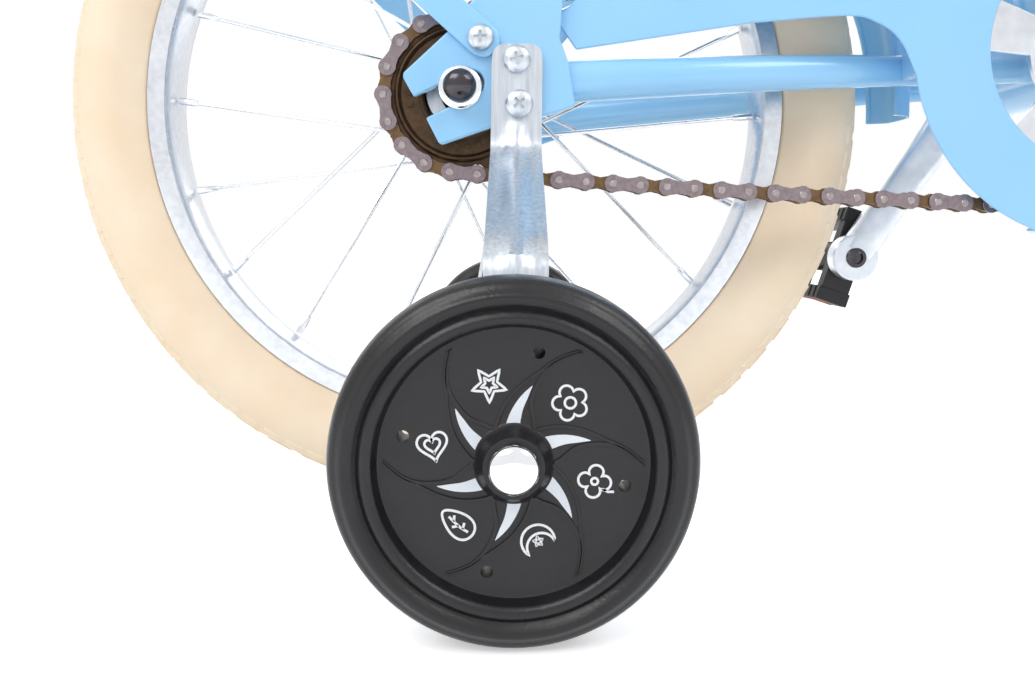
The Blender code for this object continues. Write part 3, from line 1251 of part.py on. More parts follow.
def make_front_mudguard():
    """The front mudguard with its crown tab and the wire stays that ring the axle."""
    guard = make_mudguard("front_mudguard", FRONT, 78.0, 196.0, even_width, steering)
    back = CROWN_HALF_DEPTH + GAP
    thickness = TAB_THICKNESS
    low = sqrt((MUDGUARD_RADIUS + MUDGUARD_WALL * 0.4) ** 2 - (FORK_RAKE + back) ** 2)
    high = FRONT_BOLT_ALONG + 0.0080
    place = steer_point((low + high) / 2, -back - thickness / 2)
    tab = block("tab", place, (STEER_AHEAD, LEFT, STEER_UP), (thickness / 2, 0.0080, (high - low) / 2), BLUE)
    bolt = steer_point(FRONT_BOLT_ALONG)
    hole = cylinder("hole", bolt - STEER_AHEAD * 0.03, bolt, BRAKE_BOLT_RADIUS + GAP, BLUE, sides=10)
    cut(tab, [hole])
    pieces = [tab]
    for side in (-1, 1):
        ring_y = FRONT_TIP_OUTER + GAP
        profile = [(AXLE_RADIUS + GAP, ring_y), (0.0082, ring_y), (0.0082, ring_y + FRONT_STAY_RING),
                   (AXLE_RADIUS + GAP, ring_y + FRONT_STAY_RING)]
        ring = turned("ring", FRONT, LEFT * side, profile, BLUE, sides=12)
        a = radians(FRONT_STAY_ANGLE)
        along = Vector((cos(a), 0, sin(a)))
        middle = ring_y + FRONT_STAY_RING / 2
        start = FRONT + along * 0.0065 + LEFT * side * middle
        near = FRONT + along * 0.0700 + LEFT * side * middle
        far = FRONT + along * (MUDGUARD_RADIUS - 0.0070) + LEFT * side * (MUDGUARD_HALF - 0.0004)
        wire = tube("wire", [start, near, far], [0.0018] * 3, BLUE, sides=6, hint=LEFT,
                    flat=[0.0008, 0.0018, 0.0018])
        pieces += [ring, wire]
    return unite(guard, pieces)


make_front_mudguard()

# Brakes: one side-pull caliper on the frame's bridge, one on the fork crown

LOWER_LUG = -0.0030
UPPER_LUG = 0.0200
LUG_HALF_HEIGHT = 0.0030
WIRE_ROOM = 0.0009
NIPPLE_RADIUS = 0.0028
NIPPLE_HEIGHT = 0.0036
REAR_STACK = BRIDGE_TUBE_RADIUS + 0.0015
FRONT_STACK = CROWN_HALF_DEPTH + 0.0010


def make_brake_bolt(name, bolt, facing, back, stack, parent=None):
    """The bolt that holds a caliper: a nut behind, a shaft through, a head in front of the arms."""
    front = stack + ARM_THICKNESS * 2 + GAP * 2
    profile = [(0.0052, -back - GAP - 0.0042), (0.0062, -back - GAP - 0.0008),
               (BRAKE_BOLT_RADIUS, -back - GAP),
               (BRAKE_BOLT_RADIUS, front), (0.0066, front + 0.0006), (0.0048, front + 0.0045)]
    return solid_of_revolution(name, bolt, facing, profile, SILVER, parent, sides=12)


def make_brake_arm(name, side, bolt, facing, upward, stack, reach, parent=None):
    """One arm: an eye, a limb round the mudguard down to its pad, and a lug on the left for the cable."""
    axis = pivot(name + "_axis", bolt, parent)
    near = stack if side < 0 else stack + ARM_THICKNESS + GAP
    middle = near + ARM_THICKNESS / 2

    def spot(y, height):
        return bolt + facing * middle + LEFT * y + upward * height

    arm = cylinder(name, bolt + facing * near, bolt + facing * (near + ARM_THICKNESS), 0.0090, SILVER, axis,
                   12)
    limb = [(0.0, 0.0), (0.020, 0.0015), (ARM_SPREAD - 0.0045, -0.006), (ARM_SPREAD, -0.022),
            (ARM_SPREAD, -reach - 0.004)]
    lug_height = LOWER_LUG if side < 0 else UPPER_LUG
    finger = [(0.0, 0.0), (0.026, lug_height * 0.75), (LUG_SIDE, lug_height)]
    for path, way, half in ((limb, side, 0.0045), (finger, 1, 0.0036)):
        points = [spot(way * y, height) for y, height in path]
        arm = unite(arm, [tube("limb", points, [half] * len(points), SILVER, sides=6, hint=facing,
                               flat=[ARM_THICKNESS / 2] * len(points))])
    other_plane = (ARM_THICKNESS + GAP) / 2 if side < 0 else 0.0
    lug_place = spot(LUG_SIDE, lug_height) + facing * other_plane
    lug_half = ARM_THICKNESS / 2 + other_plane
    pad_inner = RIM_WIDTH / 2 + PAD_GAP
    pieces = [
        block("lug", lug_place, (facing, LEFT, upward), (lug_half, 0.0048, LUG_HALF_HEIGHT), SILVER),
        block("holder", spot(side * (pad_inner + ARM_SPREAD) / 2 + side * PAD_THICKNESS / 4, -reach),
              (facing, LEFT, upward), (0.0033, (ARM_SPREAD - pad_inner - PAD_THICKNESS / 2) / 2, 0.0024),
              SILVER),
        block("pad", spot(side * (pad_inner + PAD_THICKNESS / 2), -reach),
              (facing, LEFT, upward), (PAD_HALF_LENGTH, PAD_THICKNESS / 2, PAD_HALF_HEIGHT), BLACK),
    ]
    arm = unite(arm, pieces)
    cuts = [cylinder("bore", bolt, bolt + facing * 0.05, BRAKE_BOLT_RADIUS + GAP, SILVER, sides=10)]
    wire_place = lug_place + facing * other_plane
    cuts.append(cylinder("wire_bore", wire_place - upward * 0.02, wire_place + upward * 0.02,
                         WIRE_RADIUS + WIRE_ROOM, SILVER, sides=8))
    return cut(arm, cuts)


REAR_UPWARD = (BRIDGE - REAR).normalized()
FRONT_BOLT = steer_point(FRONT_BOLT_ALONG)
PAD_BEHIND = FORK_RAKE - FRONT_STACK - ARM_THICKNESS
FRONT_REACH = FRONT_BOLT_ALONG - sqrt(PAD_RADIUS ** 2 - PAD_BEHIND ** 2)
make_brake_bolt("rear_brake_bolt", BRIDGE, BRIDGE_TANGENT, BRIDGE_TUBE_RADIUS + GAP + TAB_THICKNESS,
                REAR_STACK)
make_brake_bolt("front_brake_bolt", FRONT_BOLT, STEER_AHEAD, CROWN_HALF_DEPTH + GAP + TAB_THICKNESS,
                FRONT_STACK, steering)
for word, side in (("right", -1), ("left", 1)):
    make_brake_arm(word + "_rear_brake_arm", side, BRIDGE, BRIDGE_TANGENT, REAR_UPWARD, REAR_STACK,
                   BRIDGE_RADIUS - PAD_RADIUS)
    make_brake_arm(word + "_front_brake_arm", side, FRONT_BOLT, STEER_AHEAD, STEER_UP, FRONT_STACK,
                   FRONT_REACH, steering)

# Brake levers

LEVER_PIVOT_OUT = -GRIP_LENGTH - 0.0135
LEVER_PIVOT_AHEAD = 0.0300
LEVER_PIN_RADIUS = 0.0025
BARREL_END = 0.0165


def lever_spot(side, out_distance, ahead_distance, square_distance=0.0):
    """A point measured from the bracket on the bar: along the bar, ahead of it and square to both."""
    end, out, ahead, square = bar_end_axes(side)
    return end + out * (LEVER_PIVOT_OUT + out_distance) + ahead * ahead_distance + square * square_distance


def make_lever_bracket(name, side):
    """A band round the bar with two cheeks, the lever's pin between them and a barrel for the cable."""
    out, ahead, square = bar_end_axes(side)[1:]
    axes = (ahead, out, square)
    band = cylinder(name, lever_spot(side, -0.0075, 0), lever_spot(side, 0.0075, 0), BAR_RADIUS + 0.0039,
                    BLACK, steering, 14)
    pieces = [block("root", lever_spot(side, 0, 0.0165), axes, (0.0050, 0.0058, 0.0064), BLACK)]
    for way in (-1, 1):
        pieces.append(block("cheek", lever_spot(side, 0, 0.0255, way * 0.0058), axes,
                            (0.0115, 0.0065, 0.0012), BLACK))
    pin = [lever_spot(side, 0, LEVER_PIVOT_AHEAD, way * 0.0072) for way in (-1, 1)]
    barrel = [lever_spot(side, reach, 0.0180) for reach in (-0.0040, -BARREL_END)]
    pieces.append(cylinder("pin", *pin, LEVER_PIN_RADIUS, SILVER, sides=8))
    pieces.append(cylinder("barrel", *barrel, 0.0042, SILVER, sides=8))
    bore = cylinder("bore", lever_spot(side, -0.02, 0), lever_spot(side, 0.02, 0),
                    facet(BAR_RADIUS + GAP, BAR_SIDES), BLACK, sides=BAR_SIDES)
    return cut(unite(band, pieces), [bore])


def make_lever(name, side):
    """A curved two-finger lever on its pin, in front of the grip."""
    square = bar_end_axes(side)[3]
    place = lever_spot(side, 0, LEVER_PIVOT_AHEAD)
    axis = pivot(name + "_axis", place, steering)
    eye = cylinder(name, place - square * 0.0042, place + square * 0.0042, 0.0062, BLACK, axis, 12)
    path = [(0.0, LEVER_PIVOT_AHEAD), (0.016, 0.0355), (0.040, 0.0435), (0.072, 0.0480), (0.100, 0.0490),
            (0.110, 0.0510)]
    points = [lever_spot(side, along, forward) for along, forward in path]
    blade = tube("blade", points, [0.0036, 0.0040, 0.0046, 0.0046, 0.0044, 0.0036], BLACK, sides=10,
                 hint=square, flat=[0.0042, 0.0042, 0.0060, 0.0068, 0.0062, 0.0044])
    bore = cylinder("bore", place - square * 0.02, place + square * 0.02, LEVER_PIN_RADIUS + GAP, BLACK,
                    sides=8)
    return cut(unite(eye, [blade]), [bore])


for word, side in (("right", -1), ("left", 1)):
    make_lever_bracket(word + "_lever_bracket", side)
    make_lever(word + "_brake_lever", side)

# Seat

SEAT_HEAD = SEAT_TOP + SEAT_UP * SADDLE_RISE
SADDLE_BASE = SEAT_HEAD.z + 0.0240
RAIL_HALF_SPREAD = 0.0215
seat = pivot("seat_axis", SEAT_HEAD)


def make_seat_post():
    """The post with its clamp head and the saddle's two rails."""
    post = cylinder("seat_post", SEAT_TOP - SEAT_UP * POST_DEPTH, SEAT_HEAD, SEAT_POST_RADIUS, SILVER, seat,
                    16)
    rail_z = SEAT_HEAD.z + 0.0070
    pieces = [block("head", Vector((SEAT_HEAD.x, 0, rail_z - 0.0010)), (AHEAD, LEFT, UP),
                    (0.0150, 0.0270, 0.0085), SILVER)]
    shape = [
        (-0.062, SADDLE_BASE - GAP), (-0.062, SADDLE_BASE - 0.006), (-0.057, rail_z + 0.003),
        (-0.046, rail_z),
        (0.046, rail_z), (0.062, rail_z + 0.005), (0.070, SADDLE_BASE - 0.006), (0.070, SADDLE_BASE - GAP),
    ]
    for side in (-1, 1):
        spread = [1.0, 1.0, 1.0, 1.0, 1.0, 0.75, 0.60, 0.60]
        half = side * RAIL_HALF_SPREAD
        points = [Vector((SEAT_HEAD.x + x, half * wide, z)) for (x, z), wide in zip(shape, spread)]
        pieces.append(tube("rail", points, [0.0034] * len(points), SILVER, sides=6))
    return unite(post, pieces)


make_seat_post()

SADDLE_STATIONS = [
    (-0.116, 0.050, -0.0140, 0.0260), (-0.110, 0.063, -0.0060, 0.0370), (-0.088, 0.075, 0.0, 0.0440),
    (-0.050, 0.070, -0.0030, 0.0410), (-0.010, 0.050, -0.0080, 0.0360), (0.030, 0.033, -0.0100, 0.0340),
    (0.075, 0.025, -0.0090, 0.0350), (0.108, 0.021, -0.0120, 0.0300), (0.122, 0.014, -0.0190, 0.0190),
]
SADDLE_SECTION = [
    (-0.66, 1.0), (-0.90, 0.82), (-1.0, 0.55), (-0.94, 0.24), (-0.72, 0.07), (-0.36, 0.0), (0.0, -0.03),
    (0.36, 0.0), (0.72, 0.07), (0.94, 0.24), (1.0, 0.55), (0.90, 0.82), (0.66, 1.0),
]


def make_saddle():
    """A padded saddle with a crown and drawn-in sides, resting on its rails."""
    bm = bmesh.new()
    loops = []
    top = SADDLE_BASE + SADDLE_STATIONS[2][3]
    for x, half, drop, depth in SADDLE_STATIONS:
        verts = [bm.verts.new((SEAT_HEAD.x + x, half * w, top + drop - depth * h)) for w, h in SADDLE_SECTION]
        loops.append([bm.edges.new((verts[i - 1], verts[i])) for i in range(len(verts))])
    for first, second in zip(loops, loops[1:]):
        bmesh.ops.bridge_loops(bm, edges=first + second)
    bmesh.ops.edgeloop_fill(bm, edges=loops[0])
    bmesh.ops.edgeloop_fill(bm, edges=loops[-1])
    return finish_mesh(bm, "saddle", CREAM_VINYL, seat)


make_saddle()

# Brake cables

def smooth_path(points, steps=2):
    """A smooth curve through the given points."""
    ends = [points[0] * 2 - points[1]] + points + [points[-1] * 2 - points[-2]]
    path = []
    for before, first, second, after in zip(ends, ends[1:], ends[2:], ends[3:]):
        for step in range(steps):
            t = step / steps
            bend = before * 2 - first * 5 + second * 4 - after
            twist = first * 3 - before - second * 3 + after
            path.append((first * 2 + (second - before) * t + bend * t ** 2 + twist * t ** 3) / 2)
    return path + [points[-1]]


def make_cable(name, points, lug, upward, parent=None):
    """A cable from a lever to its caliper: housing down to the upper lug, then bare wire and a nipple."""
    upper = lug + upward * (UPPER_LUG + LUG_HALF_HEIGHT + GAP)
    path = smooth_path(points + [upper + upward * 0.0300, upper])
    housing = tube(name, path, [CABLE_RADIUS] * len(path), BLACK, parent, sides=5)
    nipple_top = lug + upward * (LOWER_LUG - LUG_HALF_HEIGHT - GAP)
    nipple_end = nipple_top - upward * NIPPLE_HEIGHT
    wire = cylinder("wire", upper + upward * 0.004, nipple_end + upward * 0.001, WIRE_RADIUS, SILVER, sides=6)
    nipple = cylinder("nipple", nipple_top, nipple_end, NIPPLE_RADIUS, SILVER, sides=6)
    return unite(housing, [wire, nipple])


def cable_start(side):
    return [lever_spot(side, -BARREL_END - reach, 0.0180) for reach in (GAP, 0.0200)]


def top_tube_point(share):
    place = TOP_TUBE_FRONT.lerp(TOP_TUBE_JOIN, share)
    place.y = BESIDE_TOP_TUBE
    return place


LEFT_ARM_MIDDLE = ARM_THICKNESS * 1.5 + GAP
REAR_LUG = BRIDGE + BRIDGE_TANGENT * (REAR_STACK + LEFT_ARM_MIDDLE) + LEFT * LUG_SIDE
FRONT_LUG = FRONT_BOLT + STEER_AHEAD * (FRONT_STACK + LEFT_ARM_MIDDLE) + LEFT * LUG_SIDE
BESIDE_TOP_TUBE = TOP_TUBE_RADIUS + 0.0050
REAR_ROUTE = cable_start(-1) + [
    steer_point(BAR_HEIGHT + 0.0766, 0.0618, -0.0810), steer_point(BAR_HEIGHT + 0.0581, 0.0774, -0.0580),
    steer_point(BAR_HEIGHT + 0.0291, 0.0871, -0.0310), steer_point(HEAD_TOP + 0.0709, 0.0818, -0.0020),
    steer_point(HEAD_TOP + 0.0398, 0.0593, 0.0200), steer_point(HEAD_TOP + 0.0110, 0.0220, 0.0320),
    steer_point(HEAD_TOP - 0.0090, -0.0240, 0.0250), top_tube_point(0.28), top_tube_point(0.66),
    SEAT_TOP + Vector((0.0981, 0.0200, -0.0616)), SEAT_TOP + Vector((0.0581, 0.0235, -0.0526)),
    SEAT_TOP + Vector((0.0261, 0.0330, -0.0306)), SEAT_TOP + Vector((-0.0019, 0.0460, -0.0266)),
]
FRONT_ROUTE = cable_start(1) + [
    steer_point(BAR_HEIGHT + 0.0743, 0.0578, 0.0860), steer_point(BAR_HEIGHT + 0.0496, 0.0743, 0.0700),
    steer_point(BAR_HEIGHT + 0.0057, 0.0722, 0.0600), steer_point(HEAD_TOP + 0.0402, 0.0493, 0.0545),
    steer_point(HEAD_TOP - 0.0030, 0.0219, LUG_SIDE),
]
make_cable("rear_brake_cable", REAR_ROUTE, REAR_LUG, REAR_UPWARD)
make_cable("front_brake_cable", FRONT_ROUTE, FRONT_LUG, STEER_UP, steering)
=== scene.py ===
# %% [markdown]
# # A child's bicycle with training wheels
#
# This notebook dresses a finished CAD model. The CAD gives every size and every joint, and each cell here adds
# one piece or one finish, in the order in which the eye meets them: first the stage and the paint, then the
# wheels, the drive, the frame, and last the front end and the saddle.

# %% Load the CAD frame
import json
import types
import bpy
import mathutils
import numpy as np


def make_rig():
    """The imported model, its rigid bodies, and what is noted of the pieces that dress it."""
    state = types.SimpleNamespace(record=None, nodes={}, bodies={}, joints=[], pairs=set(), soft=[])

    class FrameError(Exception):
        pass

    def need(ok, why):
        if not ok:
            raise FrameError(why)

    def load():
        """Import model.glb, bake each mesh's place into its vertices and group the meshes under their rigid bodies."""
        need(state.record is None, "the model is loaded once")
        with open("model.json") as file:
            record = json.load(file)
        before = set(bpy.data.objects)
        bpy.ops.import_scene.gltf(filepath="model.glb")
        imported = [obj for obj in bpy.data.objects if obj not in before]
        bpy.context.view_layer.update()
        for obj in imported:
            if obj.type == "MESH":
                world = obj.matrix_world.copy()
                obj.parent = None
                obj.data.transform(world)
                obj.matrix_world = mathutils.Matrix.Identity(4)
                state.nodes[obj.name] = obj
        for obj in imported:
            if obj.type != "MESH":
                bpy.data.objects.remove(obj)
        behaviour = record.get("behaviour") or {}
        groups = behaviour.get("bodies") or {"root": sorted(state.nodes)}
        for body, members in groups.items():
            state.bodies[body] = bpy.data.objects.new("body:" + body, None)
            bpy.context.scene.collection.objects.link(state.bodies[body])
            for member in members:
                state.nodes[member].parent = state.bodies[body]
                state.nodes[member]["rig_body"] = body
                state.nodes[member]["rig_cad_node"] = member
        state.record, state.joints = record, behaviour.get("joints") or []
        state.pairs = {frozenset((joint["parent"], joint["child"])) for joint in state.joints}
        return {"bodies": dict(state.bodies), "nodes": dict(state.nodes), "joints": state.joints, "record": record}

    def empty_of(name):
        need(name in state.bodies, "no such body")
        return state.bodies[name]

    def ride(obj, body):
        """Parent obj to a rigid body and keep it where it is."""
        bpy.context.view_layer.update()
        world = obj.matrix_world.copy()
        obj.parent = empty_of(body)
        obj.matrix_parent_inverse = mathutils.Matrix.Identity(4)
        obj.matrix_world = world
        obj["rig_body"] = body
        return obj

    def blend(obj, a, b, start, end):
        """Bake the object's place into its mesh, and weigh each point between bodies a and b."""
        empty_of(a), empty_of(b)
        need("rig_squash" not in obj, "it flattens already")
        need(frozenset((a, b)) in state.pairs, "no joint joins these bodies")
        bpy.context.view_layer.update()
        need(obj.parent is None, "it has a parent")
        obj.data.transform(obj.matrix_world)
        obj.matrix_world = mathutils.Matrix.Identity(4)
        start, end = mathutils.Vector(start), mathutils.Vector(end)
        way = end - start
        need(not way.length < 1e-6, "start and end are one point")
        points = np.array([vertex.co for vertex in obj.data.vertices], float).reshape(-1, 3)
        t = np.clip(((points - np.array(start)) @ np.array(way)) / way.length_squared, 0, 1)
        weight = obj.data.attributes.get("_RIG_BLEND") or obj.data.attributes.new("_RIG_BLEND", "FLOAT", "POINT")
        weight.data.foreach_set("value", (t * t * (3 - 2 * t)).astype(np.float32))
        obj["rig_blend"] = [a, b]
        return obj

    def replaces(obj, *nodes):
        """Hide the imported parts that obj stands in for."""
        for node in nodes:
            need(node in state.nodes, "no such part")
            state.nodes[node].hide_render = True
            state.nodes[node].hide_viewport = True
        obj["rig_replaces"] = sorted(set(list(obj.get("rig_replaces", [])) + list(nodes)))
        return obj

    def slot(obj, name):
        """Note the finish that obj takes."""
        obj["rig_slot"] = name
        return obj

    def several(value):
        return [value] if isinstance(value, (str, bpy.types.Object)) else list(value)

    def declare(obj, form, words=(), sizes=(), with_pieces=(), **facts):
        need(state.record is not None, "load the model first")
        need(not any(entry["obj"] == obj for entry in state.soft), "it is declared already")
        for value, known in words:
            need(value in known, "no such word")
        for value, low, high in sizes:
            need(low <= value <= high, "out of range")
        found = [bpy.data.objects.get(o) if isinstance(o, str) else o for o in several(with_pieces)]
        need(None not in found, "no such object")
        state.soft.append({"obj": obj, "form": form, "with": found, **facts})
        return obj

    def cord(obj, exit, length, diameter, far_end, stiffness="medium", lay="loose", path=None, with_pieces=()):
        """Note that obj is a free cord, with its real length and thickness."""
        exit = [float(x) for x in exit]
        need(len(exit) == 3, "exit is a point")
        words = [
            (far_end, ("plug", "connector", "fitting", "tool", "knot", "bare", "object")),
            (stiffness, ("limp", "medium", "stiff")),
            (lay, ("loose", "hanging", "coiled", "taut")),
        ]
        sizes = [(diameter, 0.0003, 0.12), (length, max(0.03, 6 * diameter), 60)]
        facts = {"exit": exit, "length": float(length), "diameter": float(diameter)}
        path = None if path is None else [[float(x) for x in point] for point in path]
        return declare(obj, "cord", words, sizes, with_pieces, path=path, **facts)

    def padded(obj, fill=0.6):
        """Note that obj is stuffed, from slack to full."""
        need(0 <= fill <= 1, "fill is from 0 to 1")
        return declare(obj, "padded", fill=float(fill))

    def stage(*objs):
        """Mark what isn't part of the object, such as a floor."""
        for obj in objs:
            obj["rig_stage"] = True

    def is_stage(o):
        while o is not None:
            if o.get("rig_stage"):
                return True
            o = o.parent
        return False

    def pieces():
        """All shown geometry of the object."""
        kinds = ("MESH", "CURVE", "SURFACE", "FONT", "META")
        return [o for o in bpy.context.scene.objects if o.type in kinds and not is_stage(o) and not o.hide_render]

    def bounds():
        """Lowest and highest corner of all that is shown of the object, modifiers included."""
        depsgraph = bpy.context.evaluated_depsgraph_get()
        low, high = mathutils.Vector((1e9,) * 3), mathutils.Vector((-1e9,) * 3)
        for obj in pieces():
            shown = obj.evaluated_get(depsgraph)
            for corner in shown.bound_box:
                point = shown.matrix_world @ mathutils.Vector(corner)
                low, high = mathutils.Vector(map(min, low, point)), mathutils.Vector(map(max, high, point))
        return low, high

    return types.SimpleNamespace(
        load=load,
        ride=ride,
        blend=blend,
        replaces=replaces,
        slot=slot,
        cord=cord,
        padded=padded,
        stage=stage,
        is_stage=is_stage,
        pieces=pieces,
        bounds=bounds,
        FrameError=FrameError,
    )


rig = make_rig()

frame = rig.load()
cad_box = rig.bounds()

import json
from math import acos, asin, atan2, ceil, copysign, cos, degrees, hypot, pi, radians, sin, sqrt

import bmesh
import bpy
from mathutils import Matrix, Vector

print("bodies:", len(frame["bodies"]), "nodes:", len(frame["nodes"]), "joints:", len(frame["joints"]))

# %% [markdown]
# Every piece sits where the CAD puts it, so the few places that carry the rest are named once, in metres.
# X runs ahead, Y to the rider's left and Z up. The camera stands on the right-hand side, where Y is negative.

# %% Name the main places
AHEAD, LEFT, UP = Vector((1, 0, 0)), Vector((0, 1, 0)), Vector((0, 0, 1))
SIDES = (("right", -1), ("left", 1))
GAP = 0.0003
REAR = Vector((-0.3675, 0, 0.200))
FRONT = Vector((0.3675, 0, 0.200))
CRANK = Vector((-0.0719, 0, 0.219))
TRAINER = Vector((-0.3448, 0, 0.0605))
STEER_UP = Vector((-sin(radians(20)), 0, cos(radians(20))))
STEER_AHEAD = Vector((cos(radians(20)), 0, sin(radians(20))))
STEER_BASE = Vector((0.33931, 0, 0.18974))
SEAT_UP = Vector((-cos(radians(71)), 0, sin(radians(71))))
SEAT_TOP = CRANK + SEAT_UP * 0.265
SEAT_HEAD = SEAT_TOP + SEAT_UP * 0.075


def steer_point(along, ahead=0.0, left=0.0):
    """A point measured up the steering axis, ahead of it and to its left."""
    return STEER_BASE + STEER_UP * along + STEER_AHEAD * ahead + LEFT * left


def polar(centre, radius, angle, y=0.0):
    """A point on a circle in the wheel's plane, angle in radians from straight ahead, rising."""
    return Vector((centre.x + radius * cos(angle), y, centre.z + radius * sin(angle)))


print("rear axle", tuple(REAR), "crank", tuple(CRANK))

# %% [markdown]
# ## Helpers for shapes
#
# Most of a bicycle is either turned, drawn along a path, or cut from sheet. Three helpers cover that: `spun` turns
# an outline round an axis, `swept` bridges rings along a path, and `slab` gives a flat outline its thickness.

# %% Shape helpers
def frame_along(direction, hint=UP):
    """Two unit directions square to a direction: sideways, and as near to the hint as can be."""
    forward = direction.normalized()
    if abs(forward.dot(hint)) > 0.999:
        hint = AHEAD
    side = hint.cross(forward).normalized()
    return side, forward.cross(side).normalized()


def ring(bm, centre, across, upward, half_across, half_up, sides):
    """One elliptical ring of edges, across and upward being its unit axes."""
    place = Matrix((across * half_across, upward * half_up, across.cross(upward))).transposed().to_4x4()
    place.translation = centre
    turn = Matrix.Rotation(pi / sides, 4, "Z")
    made = set(bmesh.ops.create_circle(bm, segments=sides, radius=1.0, matrix=place @ turn)["verts"])
    return list({edge for vert in made for edge in vert.link_edges})


def bridge(bm, loops, closed=False, caps=True):
    """Joins edge loops one after another, and closes both ends."""
    for first, second in zip(loops, loops[1:]):
        bmesh.ops.bridge_loops(bm, edges=first + second)
    if closed:
        bmesh.ops.bridge_loops(bm, edges=loops[-1] + loops[0])
    elif caps:
        bmesh.ops.edgeloop_fill(bm, edges=loops[0])
        bmesh.ops.edgeloop_fill(bm, edges=loops[-1])


def outline_loop(bm, points):
    """A closed loop of edges through the points."""
    verts = [bm.verts.new(point) for point in points]
    return [bm.edges.new((verts[i - 1], verts[i])) for i in range(len(verts))]


def smooth_path(points, steps=6):
    """A smooth curve through points. Each point may be a Vector or a plain row of numbers."""
    rows = [Vector(point) for point in points]
    ends = [rows[0] * 2 - rows[1]] + rows + [rows[-1] * 2 - rows[-2]]
    path = []
    for before, first, second, after in zip(ends, ends[1:], ends[2:], ends[3:]):
        for step in range(steps):
            t = step / steps
            path.append((first * 2 + (second - before) * t + (before * 2 - first * 5 + second * 4 - after) * t ** 2
                         + (first * 3 - before - second * 3 + after) * t ** 3) / 2)
    return path + [rows[-1]]


def swept(bm, points, radii, hint=UP, flat=None, sides=24):
    """A round or oval bar along a path. flat gives the second half-width of each ring, along the hint."""
    last = len(points) - 1
    loops = []
    for index, point in enumerate(points):
        into = (point - points[index - 1]).normalized() if index else Vector()
        out = (points[index + 1] - point).normalized() if index < last else Vector()
        side, upward = frame_along(into + out, hint)
        radius = radii[index] if isinstance(radii, (list, tuple)) else radii
        loops.append(ring(bm, point, side, upward, radius, flat[index] if flat else radius, sides))
    bridge(bm, loops)


def rod(bm, start, end, radius, sides=24, rounding=0.0):
    """A straight round bar, with an eased edge at both ends."""
    along = (end - start).normalized()
    if not rounding:
        swept(bm, [start, end], radius, sides=sides)
        return
    points = [start, start + along * rounding, end - along * rounding, end]
    swept(bm, points, [radius - rounding, radius, radius, radius - rounding], sides=sides)


def spun(bm, centre, axis, outline, steps=64):
    """Turns an outline of (radius, distance along the axis) round the axis. Ends on the axis close themselves."""
    side = frame_along(axis)[0]
    unit = axis.normalized()
    verts = [bm.verts.new(centre + side * radius + unit * along) for radius, along in outline]
    edges = [bm.edges.new(pair) for pair in zip(verts, verts[1:])]
    if outline[0][0] > 0 and outline[-1][0] > 0:
        edges.append(bm.edges.new((verts[-1], verts[0])))
    bmesh.ops.spin(bm, geom=verts + edges, cent=centre, axis=axis, angle=2 * pi, steps=steps, use_merge=True)


def slab(bm, outline, y_from, y_to):
    """A flat outline of (x, z) points, given a thickness along Y."""
    face = bm.faces.new([bm.verts.new((x, y_from, z)) for x, z in outline])
    grown = bmesh.ops.extrude_face_region(bm, geom=[face])["geom"]
    moved = [item for item in grown if isinstance(item, bmesh.types.BMVert)]
    bmesh.ops.translate(bm, verts=moved, vec=(0, y_to - y_from, 0))


def box(bm, centre, axes, half_sizes):
    """A box from its middle, three unit axes and half sizes."""
    columns = [axis * half * 2 for axis, half in zip(axes, half_sizes)]
    place = Matrix(columns).transposed().to_4x4()
    place.translation = centre
    bmesh.ops.create_cube(bm, size=1.0, matrix=place)


def arc(centre, radius, start, end, steps):
    """(x, z) points of an arc, angles in degrees."""
    angles = [radians(start + (end - start) * i / steps) for i in range(steps + 1)]
    return [(centre[0] + radius * cos(a), centre[1] + radius * sin(a)) for a in angles]


def finish_piece(name, bm, material, body, slot, nodes=(), bevel=0.0, smooth=35, merge=0.000002):
    """Makes the object: faces outwards, smooth but for its real edges, riding on its CAD body if one is named."""
    bmesh.ops.remove_doubles(bm, verts=bm.verts, dist=merge)
    bmesh.ops.recalc_face_normals(bm, faces=bm.faces)
    mesh = bpy.data.meshes.new(name)
    bm.to_mesh(mesh)
    bm.free()
    mesh.materials.append(material)
    mesh.shade_smooth()
    mesh.set_sharp_from_angle(angle=radians(smooth))
    piece = bpy.data.objects.new(name, mesh)
    bpy.context.scene.collection.objects.link(piece)
    if bevel:
        edge = piece.modifiers.new("eased edges", "BEVEL")
        edge.width = bevel
        edge.segments = 2
        edge.limit_method = "ANGLE"
        edge.angle_limit = radians(40)
        edge.use_clamp_overlap = True
    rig.slot(piece, slot)
    if body:
        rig.ride(piece, body)
    if nodes:
        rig.replaces(piece, *nodes)
    print(f"{name}: {len(mesh.polygons)} faces on {body}")
    return piece


def cut_away(piece, bm):
    """Cuts the shapes in bm out of a piece, as a drill or a milling cutter would."""
    bmesh.ops.recalc_face_normals(bm, faces=bm.faces)
    mesh = bpy.data.meshes.new("cutter")
    bm.to_mesh(mesh)
    bm.free()
    cutter = bpy.data.objects.new("cutter", mesh)
    bpy.context.scene.collection.objects.link(cutter)
    cut = piece.modifiers.new("cut", "BOOLEAN")
    cut.operation, cut.solver, cut.use_self, cut.object = "DIFFERENCE", "EXACT", True, cutter
    bpy.context.view_layer.update()
    cut_mesh = bpy.data.meshes.new_from_object(piece.evaluated_get(bpy.context.evaluated_depsgraph_get()))
    piece.modifiers.clear()
    piece.data = cut_mesh
    bpy.data.objects.remove(cutter)
    print(f"{piece.name}: {len(cut_mesh.polygons)} faces after the cut")


print("shape helpers ready")

# %% [markdown]
# ## The camera
#
# The photograph was taken low beside the rear wheel with a short lens, and then cropped, so its centre of view
# lies a little above the middle of the frame. A camera shift of 65 pixels out of 1035 gives that, and no more.

